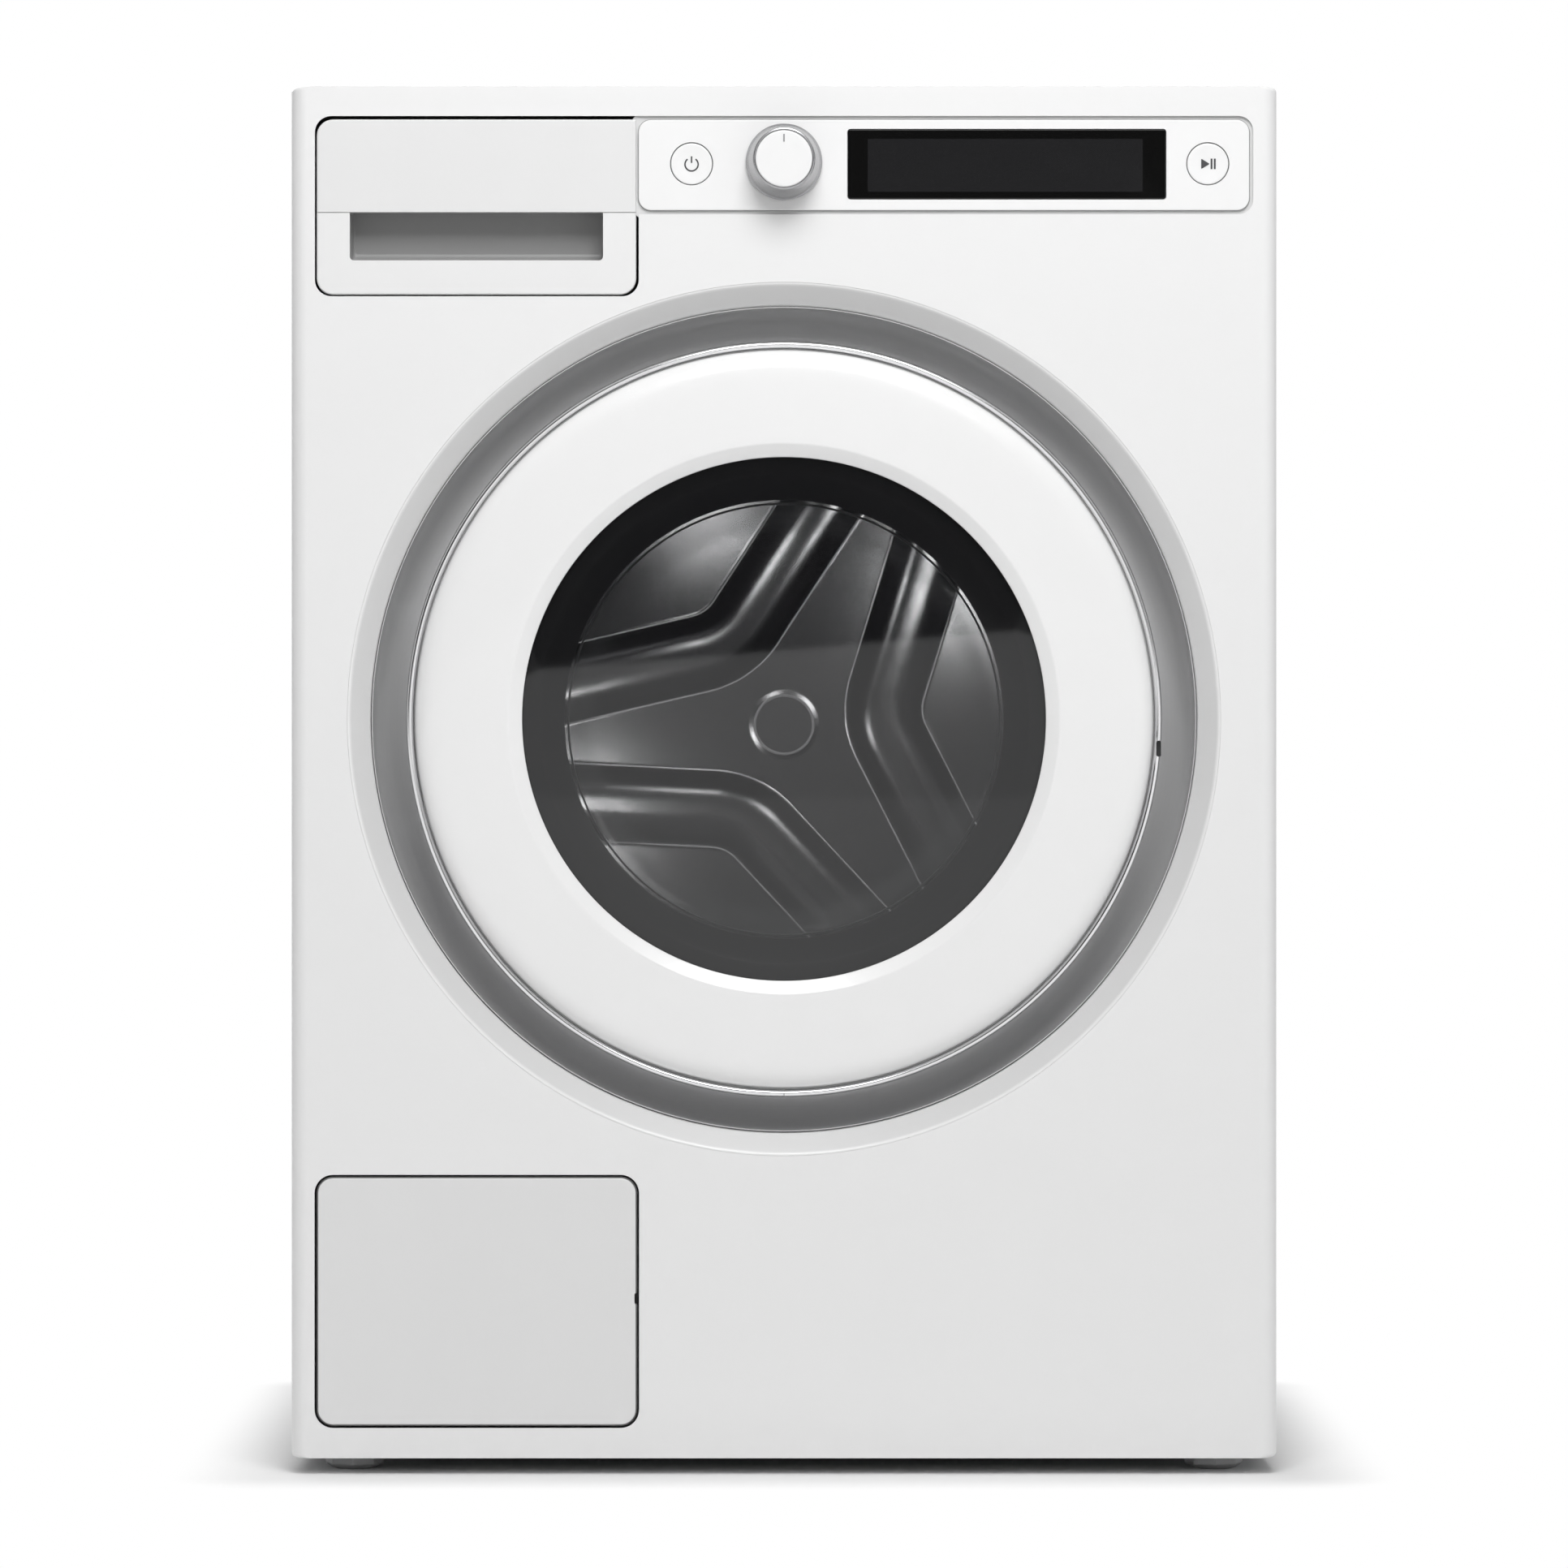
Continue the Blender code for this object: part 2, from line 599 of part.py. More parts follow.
# Controls
FASCIA_THICK = 0.0025
FASCIA_GROOVE = 0.001
FASCIA_LAP = 0.004
LAP_FRONT = 0.0016
LAP_BACK = 0.0040
DISPLAY_LEFT = 0.0385
DISPLAY_RIGHT = 0.2324
DISPLAY_BOTTOM = 0.7752
DISPLAY_TOP = 0.8181
DISPLAY_THICK = 0.0020
DISPLAY_LEDGE = 0.004
DISPLAY_CORNER = 0.002
BUTTON_RADIUS = 0.0128
BUTTON_HEIGHT = 0.7969
POWER_X = -0.0562
START_X = 0.2576
BUTTON_GAP = 0.0003
BUTTON_DISH = 0.0006
BUTTON_THICK = 0.0060
BUTTON_TRAVEL = 0.0015
PLUNGER_RADIUS = 0.0030
PLUNGER_END = 0.0105
BOARD_FRONT = 0.0170
BOARD_BACK = 0.0400
BOARD_LEFT = -0.075
BOARD_RIGHT = 0.278
BOARD_MARGIN = 0.004
SWITCH_HALF = 0.004
POST_RADIUS = 0.003
KNOB_HEIGHT = 0.7979
KNOB_RADIUS = 0.0232
KNOB_FACE = 0.0178
KNOB_STANDOFF = 0.0006
KNOB_SHAFT = 0.0030
KNOB_SHAFT_GAP = 0.0005
KNOB_SHAFT_END = 0.0150
ENCODER_RADIUS = 0.0080
ENCODER_FRONT = 0.0080
KNOB_HOLLOW = 0.0170
KNOB_WALL = 0.0030


def control_fascia():
    """Flush control plate with its lap behind the panel, pockets and mounting posts."""
    left, right = FASCIA_LEFT + FASCIA_GROOVE / 2, FASCIA_RIGHT - FASCIA_GROOVE
    low, high = FASCIA_BOTTOM + FASCIA_GROOVE, FASCIA_TOP - FASCIA_GROOVE
    corner = FASCIA_CORNER - FASCIA_GROOVE
    plate = prism(rounded([(left, low, 0), (right, low, corner), (right, high, corner), (left, high, 0)]),
                  depth_y(0), depth_y(LAP_FRONT + BLEND_STEP), "Y")
    grow = FASCIA_LAP + FASCIA_GROOVE * 2
    lap = prism(rounded([(left, low - grow, 0), (right + grow, low - grow, corner),
                         (right + grow, high + grow, corner), (left, high + grow, 0)]),
                depth_y(LAP_FRONT), depth_y(LAP_BACK), "Y")
    pocket = prism(rounded_rect(DISPLAY_LEFT, DISPLAY_RIGHT, DISPLAY_BOTTOM, DISPLAY_TOP, DISPLAY_CORNER),
                   depth_y(-OVERRUN), depth_y(FASCIA_THICK), "Y")
    ledge = DISPLAY_LEDGE
    window = prism(rounded_rect(DISPLAY_LEFT + ledge, DISPLAY_RIGHT - ledge, DISPLAY_BOTTOM + ledge,
                                DISPLAY_TOP - ledge, DISPLAY_CORNER),
                   depth_y(-OVERRUN), depth_y(LAP_BACK + OVERRUN), "Y")
    through = (depth_y(-OVERRUN), depth_y(LAP_BACK + OVERRUN))
    holes = [prism(circle(x, BUTTON_HEIGHT, BUTTON_RADIUS + BUTTON_GAP, SMALL_STEPS + CORNER_STEPS),
                   *through, "Y") for x in (POWER_X, START_X)]
    holes.append(prism(circle(0, KNOB_HEIGHT, ENCODER_RADIUS + HOLE_GAP), *through, "Y"))
    posts = [rod((x, depth_y(LAP_FRONT + FASCIA_THICK / 2), z), (x, depth_y(BOARD_FRONT - SEAT), z), POST_RADIUS)
             for x in (BOARD_LEFT + POST_RADIUS * 2, BOARD_RIGHT - POST_RADIUS)
             for z in (FASCIA_BOTTOM + BOARD_MARGIN * 2, FASCIA_TOP - BOARD_MARGIN * 2)]
    return piece("control_fascia", WHITE_PLASTIC, plate, add=[lap] + posts, cut=[pocket, window] + holes)


def display_window():
    """Black glass plate that fills its pocket in the fascia."""
    outline = rounded_rect(DISPLAY_LEFT + SEAT, DISPLAY_RIGHT - SEAT, DISPLAY_BOTTOM + SEAT,
                           DISPLAY_TOP - SEAT, DISPLAY_CORNER - SEAT)
    return piece("display_window", BLACK_GLOSS,
                 prism(outline, depth_y(FASCIA_THICK - SEAT - DISPLAY_THICK), depth_y(FASCIA_THICK - SEAT), "Y"))


def control_board():
    """Electronics box behind the fascia, with its encoder and two switches."""
    box = block((BOARD_LEFT, BOARD_RIGHT), (depth_y(BOARD_FRONT), depth_y(BOARD_BACK)),
                (FASCIA_BOTTOM + BOARD_MARGIN, FASCIA_TOP - BOARD_MARGIN))
    encoder = front_turned([(0, ENCODER_FRONT), (ENCODER_RADIUS, ENCODER_FRONT),
                            (ENCODER_RADIUS, BOARD_FRONT + OVERRUN), (0, BOARD_FRONT + OVERRUN)],
                           (0, KNOB_HEIGHT), SMALL_STEPS)
    bore = prism(circle(0, KNOB_HEIGHT, KNOB_SHAFT + KNOB_SHAFT_GAP, PIN_STEPS),
                 depth_y(ENCODER_FRONT - OVERRUN), depth_y(KNOB_SHAFT_END + SEAT), "Y")
    front = depth_y(PLUNGER_END + BUTTON_TRAVEL + SEAT)
    switches = [block((x - SWITCH_HALF, x + SWITCH_HALF), (front, depth_y(BOARD_FRONT + OVERRUN)),
                      (BUTTON_HEIGHT - SWITCH_HALF, BUTTON_HEIGHT + SWITCH_HALF)) for x in (POWER_X, START_X)]
    return piece("control_board", DARK_PLASTIC, box, add=[encoder] + switches, cut=[bore])


def buttons():
    """Dished push buttons with their plungers."""
    for name, x in (("power_button", POWER_X), ("start_button", START_X)):
        outline = [(0, BUTTON_DISH), (BUTTON_RADIUS / 2, BUTTON_DISH / 2), (BUTTON_RADIUS, 0),
                   (BUTTON_RADIUS, BUTTON_THICK), (PLUNGER_RADIUS, BUTTON_THICK),
                   (PLUNGER_RADIUS, PLUNGER_END), (0, PLUNGER_END)]
        made = piece(name, WHITE_PLASTIC,
                     front_turned(outline, (x, BUTTON_HEIGHT), SMALL_STEPS + CORNER_STEPS))
        carried_by("axis_" + name, (x, depth_y(0), BUTTON_HEIGHT), made)


def program_knob():
    """Tapered knob, hollow behind, on the encoder's shaft."""
    foot_share = 0.25
    base = -KNOB_STANDOFF
    face = -KNOB_PROUD
    edge = KNOB_RADIUS - KNOB_FACE
    outline = [
        (0, face + KNOB_STANDOFF), (KNOB_FACE - KNOB_STANDOFF * 2, face + KNOB_STANDOFF),
        (KNOB_FACE, face), (KNOB_FACE + KNOB_STANDOFF * 2, face + KNOB_STANDOFF * 2),
        (KNOB_RADIUS - edge * foot_share, base - edge), (KNOB_RADIUS, base - edge / 2), (KNOB_RADIUS, base),
        (KNOB_RADIUS - KNOB_WALL, base), (KNOB_FACE - KNOB_WALL / 2, -KNOB_HOLLOW),
        (KNOB_SHAFT, -KNOB_HOLLOW), (KNOB_SHAFT, KNOB_SHAFT_END), (0, KNOB_SHAFT_END)]
    made = piece("program_knob", BRIGHT_TRIM, front_turned(outline, (0, KNOB_HEIGHT), HUB_STEPS))
    carried_by("axis_program_knob", (0, depth_y(0), KNOB_HEIGHT), made)


# Detergent drawer and its housing
DRAWER_RIGHT = FASCIA_LEFT - FASCIA_GROOVE / 2
DRAWER_THICK = 0.026
DRAWER_WALL = 0.0025
GRIP_LEFT = -0.2640
GRIP_RIGHT = -0.1100
GRIP_LOW = 0.7382
GRIP_HIGH = 0.7673
GRIP_DEEP = 0.0215
GRIP_CORNER = 0.006
GRIP_LIP = 0.008
GRIP_LIP_THICK = 0.0040
TRAY_LENGTH = 0.262
TRAY_LEFT = -0.2790
TRAY_RIGHT = -0.0965
TRAY_BOTTOM = 0.7215
TRAY_DEEP = 0.060
TRAY_WALL = 0.002
TRAY_CORNER = 0.010
COMPARTMENT_SHARES = (0.0, 0.34, 0.62, 1.0)
HOUSING_SIDE = 0.0030
HOUSING_WALL = 0.0025
HOUSING_FRONT = 0.0300
HOUSING_BACK = 0.3100
HOUSING_TOP = 0.8040
RUNNER_WIDTH = 0.006
HOSE_RADIUS = 0.0150
HOSE_BORE = 0.0120
DISPENSER_HOSE_X = -0.170
DISPENSER_HOSE_DEPTH = 0.275
NIPPLE_DROP = 0.006


def detergent_drawer():
    """Drawer front with its finger recess, and the compartment tray behind it."""
    left, right, low, high = DRAWER_LEFT, DRAWER_RIGHT, DRAWER_BOTTOM, FASCIA_TOP - FASCIA_GROOVE
    wall, corner = DRAWER_WALL, DRAWER_CORNER
    front = rounded([(left, low, corner), (right, low, corner), (right, high, 0), (left, high, corner)])
    inside = rounded([(left + wall, low + wall, corner - wall), (right - wall, low + wall, corner - wall),
                      (right - wall, high - wall, 0), (left + wall, high - wall, corner - wall)])
    shell = prism(front, depth_y(0), depth_y(DRAWER_THICK), "Y")
    hollow = prism(inside, depth_y(wall), depth_y(DRAWER_THICK + OVERRUN), "Y")
    cup = block((GRIP_LEFT - wall, GRIP_RIGHT + wall), (depth_y(wall / 2), depth_y(GRIP_DEEP + wall)),
                (GRIP_LOW - wall, GRIP_HIGH + GRIP_LIP + wall))
    grip = prism(rounded([(GRIP_LEFT, GRIP_LOW, GRIP_CORNER), (GRIP_RIGHT, GRIP_LOW, GRIP_CORNER),
                          (GRIP_RIGHT, GRIP_HIGH, 0), (GRIP_LEFT, GRIP_HIGH, 0)]),
                 depth_y(-OVERRUN), depth_y(GRIP_DEEP), "Y")
    behind_lip = block((GRIP_LEFT, GRIP_RIGHT), (depth_y(GRIP_LIP_THICK), depth_y(GRIP_DEEP)),
                       (GRIP_LOW + GRIP_CORNER, GRIP_HIGH + GRIP_LIP))
    face = piece("drawer_front", WHITE_PLASTIC, shell, trim=[hollow], add=[cup], cut=[grip, behind_lip])
    start, end = depth_y(DRAWER_THICK + SEAT), depth_y(DRAWER_THICK + SEAT + TRAY_LENGTH)
    body = prism(rounded([(TRAY_LEFT, start, 0), (TRAY_RIGHT, start, 0), (TRAY_RIGHT, end, TRAY_CORNER),
                          (TRAY_LEFT, end, TRAY_CORNER)]), TRAY_BOTTOM, TRAY_BOTTOM + TRAY_DEEP, "Z")
    width = TRAY_RIGHT - TRAY_LEFT - TRAY_WALL
    wells = []
    for first, last in zip(COMPARTMENT_SHARES, COMPARTMENT_SHARES[1:]):
        near = TRAY_LEFT + TRAY_WALL + width * first
        far = TRAY_LEFT + width * last
        wells.append(prism(rounded_rect(near, far, start + TRAY_WALL, end - TRAY_WALL, TRAY_CORNER - TRAY_WALL, 2),
                           TRAY_BOTTOM + TRAY_WALL, TRAY_BOTTOM + TRAY_DEEP + OVERRUN, "Z"))
    tray = piece("drawer_tray", GREY_PLASTIC, body, cut=wells)
    carried_by("axis_drawer", ((left + right) / 2, depth_y(0), low), face, tray)


def dispenser_housing():
    """Housing that the drawer slides in, with runners and the outlet to the tub."""
    left, right = TRAY_LEFT - HOUSING_SIDE - HOUSING_WALL, TRAY_RIGHT + HOUSING_SIDE + HOUSING_WALL
    low = TRAY_BOTTOM - HOUSING_WALL * 2
    front, back = depth_y(HOUSING_FRONT), depth_y(HOUSING_BACK)
    shell = block((left, right), (front, back), (low, HOUSING_TOP))
    room = block((left + HOUSING_WALL, right - HOUSING_WALL), (front - OVERRUN, back - HOUSING_WALL),
                 (low + HOUSING_WALL, HOUSING_TOP - HOUSING_WALL))
    runners = [block((x, x + RUNNER_WIDTH), (front, back - HOUSING_WALL / 2),
                     (low + HOUSING_WALL / 2, TRAY_BOTTOM - SEAT))
               for x in (TRAY_LEFT + RUNNER_WIDTH, TRAY_RIGHT - 2 * RUNNER_WIDTH)]
    place = (DISPENSER_HOSE_X, depth_y(DISPENSER_HOSE_DEPTH))
    nipple = turned([(0, low - NIPPLE_DROP), (HOSE_RADIUS, low - NIPPLE_DROP), (HOSE_RADIUS, low + HOUSING_WALL / 2),
                     (0, low + HOUSING_WALL / 2)], "Z", place, SMALL_STEPS)
    drain = prism(circle(*place, HOSE_BORE), low - NIPPLE_DROP - OVERRUN, low + HOUSING_WALL + OVERRUN, "Z")
    return piece("dispenser_housing", GREY_PLASTIC, shell, trim=[room], add=runners + [nipple], cut=[drain])


# Service flap, its frame, the pump and its filter
FLAP_THICK = 0.0025
FLAP_PIVOT_INSET = 0.0100
FLAP_PIVOT_DEPTH = 0.0045
FLAP_PIN = 0.0015
FLAP_PIN_REACH = 0.0045
FLAP_EAR_LENGTH = 0.012
FLAP_EDGE = 0.0012
FRAME_GAP = 0.0027
FRAME_WALL = 0.0020
FRAME_LAP = 0.0060
FRAME_BACK = 0.0340
FILTER_X = -0.187
FILTER_Z = 0.105
FILTER_TUBE = 0.0350
FILTER_BORE = 0.0315
FILTER_CAP = 0.0310
FILTER_CAP_FRONT = 0.0130
FILTER_CAP_THICK = 0.0070
FILTER_TUBE_FRONT = 0.0120
FILTER_TUBE_BACK = 0.1500
FILTER_BASKET = 0.0240
FILTER_BASKET_END = 0.1300
GRIP_BAR_HALF = 0.0260
GRIP_BAR_THICK = 0.0045
GRIP_BAR_FRONT = 0.0050
PUMP_MOTOR_RADIUS = 0.0280
PUMP_MOTOR_BACK = 0.2000
PUMP_STUB = 0.0150
PUMP_STUB_DEPTH = 0.110
PUMP_STUB_RISE = 0.052
PUMP_FOOT_HALF = 0.0200


def service_flap():
    """Flap that swings on two pins at its left edge."""
    x, y = FLAP_LEFT + FLAP_PIVOT_INSET, depth_y(FLAP_PIVOT_DEPTH)
    edge = FLAP_EDGE
    plate = stacked([(flap_outline(-edge), depth_y(0)), (flap_outline(0), depth_y(edge)),
                     (flap_outline(0), depth_y(FLAP_THICK))], "Y")
    adds = []
    for end, inward in ((FLAP_BOTTOM, 1), (FLAP_TOP, -1)):
        ear = sorted((end + inward * FLAP_CORNER, end + inward * (FLAP_CORNER + FLAP_EAR_LENGTH)))
        around = FLAP_PIN + BLEND_STEP * 2
        adds.append(block((x - around, x + FLAP_PIN * 2), (depth_y(edge), y + around), ear))
        root = end + inward * (FLAP_CORNER + FLAP_EAR_LENGTH / 2)
        adds.append(rod((x, y, end - inward * FLAP_PIN_REACH), (x, y, root), FLAP_PIN))
    made = piece("service_flap", WHITE_PLASTIC, plate, add=adds)
    carried_by("axis_service_flap", (x, y, FLAP_BOTTOM), made)


def flap_frame():
    """Plastic well behind the flap, with the pin holes and the filter's opening."""
    flange = prism(flap_outline(FRAME_LAP), depth_y(SHEET + SEAT), depth_y(SHEET + SEAT + FRAME_WALL), "Y")
    well = prism(flap_outline(FRAME_GAP + FRAME_WALL), depth_y(SHEET + SEAT + FRAME_WALL / 2),
                 depth_y(FRAME_BACK), "Y")
    room = prism(flap_outline(FRAME_GAP), depth_y(-OVERRUN), depth_y(FRAME_BACK - FRAME_WALL), "Y")
    port = prism(circle(FILTER_X, FILTER_Z, FILTER_TUBE + SEAT * 2, HUB_STEPS), depth_y(0),
                 depth_y(FRAME_BACK + OVERRUN), "Y")
    x, y = FLAP_LEFT + FLAP_PIVOT_INSET, depth_y(FLAP_PIVOT_DEPTH)
    reach, inner = FRAME_LAP + OVERRUN, FLAP_CORNER / 2
    sockets = [rod((x, y, FLAP_BOTTOM - reach), (x, y, FLAP_BOTTOM + inner), FLAP_PIN + SEAT),
               rod((x, y, FLAP_TOP - inner), (x, y, FLAP_TOP + reach), FLAP_PIN + SEAT)]
    return piece("flap_frame", WHITE_PLASTIC, flange, add=[well], cut=[room, port] + sockets)


def pump():
    """Drain pump: filter tube, motor, inlet stub and its stand on the base."""
    centre, steps = (FILTER_X, FILTER_Z), HUB_STEPS
    tube = front_turned([
        (0, FILTER_TUBE_BACK), (0, FILTER_BASKET_END + SEAT * 2), (FILTER_BORE, FILTER_BASKET_END + SEAT * 2),
        (FILTER_BORE, FILTER_TUBE_FRONT), (FILTER_TUBE, FILTER_TUBE_FRONT), (FILTER_TUBE, FILTER_TUBE_BACK)],
        centre, steps)
    overlap = FILTER_TUBE_BACK - OVERRUN
    motor = front_turned([(0, overlap), (PUMP_MOTOR_RADIUS, overlap), (PUMP_MOTOR_RADIUS, PUMP_MOTOR_BACK),
                          (0, PUMP_MOTOR_BACK)], centre, steps)
    place = (FILTER_X, depth_y(PUMP_STUB_DEPTH))
    stub = turned([(0, FILTER_Z + FILTER_BORE + OVERRUN / 2), (PUMP_STUB, FILTER_Z + FILTER_BORE + OVERRUN / 2),
                   (PUMP_STUB, FILTER_Z + PUMP_STUB_RISE), (0, FILTER_Z + PUMP_STUB_RISE)],
                  "Z", place, SMALL_STEPS)
    stand = block((FILTER_X - PUMP_FOOT_HALF, FILTER_X + PUMP_FOOT_HALF),
                  (depth_y(PUMP_STUB_DEPTH - PUMP_FOOT_HALF), depth_y(PUMP_STUB_DEPTH + PUMP_FOOT_HALF)),
                  (FOOT_SHOW + SHEET + SEAT, FILTER_Z - FILTER_BORE - OVERRUN / 2))
    piece("drain_pump", GREY_PLASTIC, tube, add=[motor, stub, stand])
    front, back = FILTER_CAP_FRONT, FILTER_CAP_FRONT + FILTER_CAP_THICK
    cap = front_turned([(0, front), (FILTER_CAP, front), (FILTER_CAP, back), (FILTER_BASKET, back),
                        (FILTER_BASKET, FILTER_BASKET_END), (0, FILTER_BASKET_END)], centre, steps)
    bar = prism(rounded_rect(FILTER_X - GRIP_BAR_HALF, FILTER_X + GRIP_BAR_HALF, FILTER_Z - GRIP_BAR_THICK,
                             FILTER_Z + GRIP_BAR_THICK, GRIP_BAR_THICK / 2, 2),
                depth_y(GRIP_BAR_FRONT), depth_y(front + OVERRUN), "Y")
    made = piece("pump_filter", GREY_PLASTIC, cap, add=[bar])
    carried_by("axis_pump_filter", (FILTER_X, depth_y(front), FILTER_Z), made)


# Door surround and door
COVE_CENTRE = 0.2300
COVE_RIM = 0.0008
COVE_FRONT = 0.0085
COVE_FLOOR = 0.0377
COVE_INNER = 0.2220
DOOR_RADIUS = 0.2300
DOOR_CROWN = 0.0100
DOOR_FRONT = 0.0060
DOOR_BACK = 0.0090
RING_OUTER = 0.2250
RING_FLAT = 0.2140
RING_INNER_FLAT = 0.1680
RING_INNER = 0.1590
RING_WALL = 0.0025
RING_LIP = 0.0052
CURL_SHARE = 0.65
BEAD_DEPTH = 0.0090
BEAD_SPLIT = 0.0006
BEAD_NOTCH_LOW = -0.0230
BEAD_NOTCH_HIGH = -0.0130
BEAD_NOTCH_DEEP = 0.0022
WINDOW_RADIUS = 0.1628
WINDOW_DOME = 0.0095
WINDOW_EDGE = 0.0034
WINDOW_THICK = 0.0028
PLUG_OUTER = 0.1850
PLUG_DRAFT = 0.0040
PLUG_DEEP = 0.0240
PLUG_INNER_DEEP = 0.0275
PLUG_INNER = 0.1400
BOWL_MOUTH = 0.1330
BOWL_FLANGE = 0.1520
BOWL_FLANGE_FRONT = 0.0205
BOWL_FLANGE_THICK = 0.0030
BOWL_END = 0.1310
BOWL_WALL = 0.0040
RETAINER_FRONT = 0.0008
EAR_THICK = 0.003
EAR_GAP = 0.0004
HOOK_PIVOT_DEPTH = 0.0015
HOOK_EYE = 0.0040
HOOK_HALF = 0.0050
HOOK_PIN = 0.0015
HOOK_REACH = 0.0500
HOOK_BARB = 0.0050
HOOK_STEM = 0.0030
LOCK_LEFT = 0.183
LOCK_RIGHT = 0.236
LOCK_HALF = 0.038
LOCK_BACK = 0.0680
ARM_THICK = 0.0020
ARM_RIGHT = 0.0210
ARM_HALF = 0.0500


def door_surround():
    """Concave grey ring that lines the recess round the door."""
    outer = RECESS_RADIUS - SEAT
    start = outer - COVE_RIM
    radius = start - COVE_CENTRE
    bend = [(point.x, point.y) for point in arc(COVE_CENTRE, COVE_FLOOR - radius, radius, 0, 90, CORNER_STEPS)]
    back = RECESS_DEPTH - SEAT
    outline = [(outer, COVE_FRONT), (start, COVE_FRONT)] + bend + [(COVE_INNER, COVE_FLOOR), (COVE_INNER, back),
                                                                 (outer, back)]
    return piece("door_surround", GREY_SILVER, front_turned(outline))


def hinge_bracket():
    """Steel bracket behind the recess whose two lugs hold the hinge pin."""
    front = RECESS_DEPTH + SHEET + SEAT
    lean_x = HINGE_X + LUG_LEAN
    plate = block((lean_x - BRACKET_WIDTH / 2, lean_x + BRACKET_WIDTH / 2),
                  (depth_y(front), depth_y(front + BRACKET_THICK)),
                  (AXIS_HEIGHT - BRACKET_HALF, AXIS_HEIGHT + BRACKET_HALF))
    pivot, root = depth_y(HINGE_DEPTH), depth_y(front + BRACKET_THICK / 2)
    lean = math.degrees(math.atan2(root - pivot, LUG_LEAN))
    eye = arc(HINGE_X, pivot, HINGE_EYE, lean + 90, lean + 270, CORNER_STEPS * 2)
    outline = eye + [Vector((lean_x + HINGE_EYE, root)), Vector((lean_x - HINGE_EYE, root))]
    lugs = [prism(outline, middle - LUG_THICK / 2, middle + LUG_THICK / 2, "Z")
            for middle in (AXIS_HEIGHT - LUG_OFFSET, AXIS_HEIGHT + LUG_OFFSET)]
    reach = LUG_OFFSET + LUG_THICK / 2 + SHEET
    pin = rod((HINGE_X, pivot, AXIS_HEIGHT - reach), (HINGE_X, pivot, AXIS_HEIGHT + reach), HINGE_PIN)
    return piece("hinge_bracket", ZINC_STEEL, plate, add=lugs + [pin])


def door_lock():
    """Lock unit behind the recess, with the slot that the hook enters."""
    front = RECESS_DEPTH + SHEET + SEAT
    box = block((LOCK_LEFT, LOCK_RIGHT), (depth_y(front), depth_y(LOCK_BACK)),
                (AXIS_HEIGHT - LOCK_HALF, AXIS_HEIGHT + LOCK_HALF))
    slot = block((LATCH_X - LATCH_SLOT, LATCH_X + LATCH_SLOT), (depth_y(front - OVERRUN), depth_y(LOCK_BACK - OVERRUN)),
                 (AXIS_HEIGHT - LATCH_SLOT_HALF, AXIS_HEIGHT + LATCH_SLOT_HALF))
    return piece("door_lock", DARK_PLASTIC, box, cut=[slot])


def door_ring():
    """White ring of the door, a shell with a crowned face and a turned-in window seat."""
    wall, back, edge = RING_WALL, DOOR_BACK, RING_OUTER
    curl = edge - RING_FLAT
    seat = WINDOW_RADIUS + SEAT
    return piece("door_ring", WHITE_PLASTIC, front_turned([
        (RING_INNER, -RING_LIP), (RING_INNER_FLAT, -DOOR_CROWN), (RING_FLAT, -DOOR_FRONT),
        (RING_FLAT + curl * CURL_SHARE, -DOOR_FRONT * CURL_SHARE), (edge, DOOR_FRONT / 2), (edge, back),
        (edge - wall, back), (edge - wall, DOOR_FRONT / 2 + SEAT), (RING_FLAT - wall / 2, wall - DOOR_FRONT),
        (RING_INNER_FLAT + wall / 2, wall - DOOR_CROWN), (seat + wall, DOOR_FRONT), (seat, DOOR_FRONT),
        (seat, -WINDOW_EDGE - SEAT), (RING_INNER, -WINDOW_EDGE - SEAT)]), cut=lug_rooms(back))


def lug_rooms(back):
    """Cutters for the room that the hinge's lugs need in the door's edge as it swings."""
    half, reach = LUG_THICK / 2 + LUG_GAP, HINGE_EYE + HINGE_ROOM
    depths = (depth_y(HINGE_DEPTH - reach), depth_y(back + OVERRUN))
    return [block((-DOOR_RADIUS - OVERRUN, HINGE_X + reach), depths, (middle - half, middle + half))
            for middle in (AXIS_HEIGHT - LUG_OFFSET, AXIS_HEIGHT + LUG_OFFSET)]


def door_bead():
    """Bright split ring round the door, with a small notch on the latch side."""
    inner, outer, back = RING_OUTER + EAR_GAP, DOOR_RADIUS, BEAD_DEPTH
    width = outer - inner
    edge_share, lip_share, brow_share = 0.3, 0.25, 0.2
    ring = front_turned([
        (inner, DOOR_FRONT * lip_share), (inner + width * edge_share, -DOOR_FRONT * lip_share),
        (outer - width * edge_share, -DOOR_FRONT * brow_share), (outer, back * lip_share),
        (outer, back - back * brow_share), (outer - width * edge_share, back), (inner, back)])
    through = (depth_y(-DOOR_CROWN), depth_y(back + OVERRUN))
    split = block((-BEAD_SPLIT / 2, BEAD_SPLIT / 2), through,
                  (AXIS_HEIGHT - outer - OVERRUN, AXIS_HEIGHT - inner + OVERRUN))
    notch = block((outer - BEAD_NOTCH_DEEP, outer + OVERRUN), through,
                  (AXIS_HEIGHT + BEAD_NOTCH_LOW, AXIS_HEIGHT + BEAD_NOTCH_HIGH))
    return piece("door_bead", BRIGHT_TRIM, ring, cut=[split, notch] + lug_rooms(back))


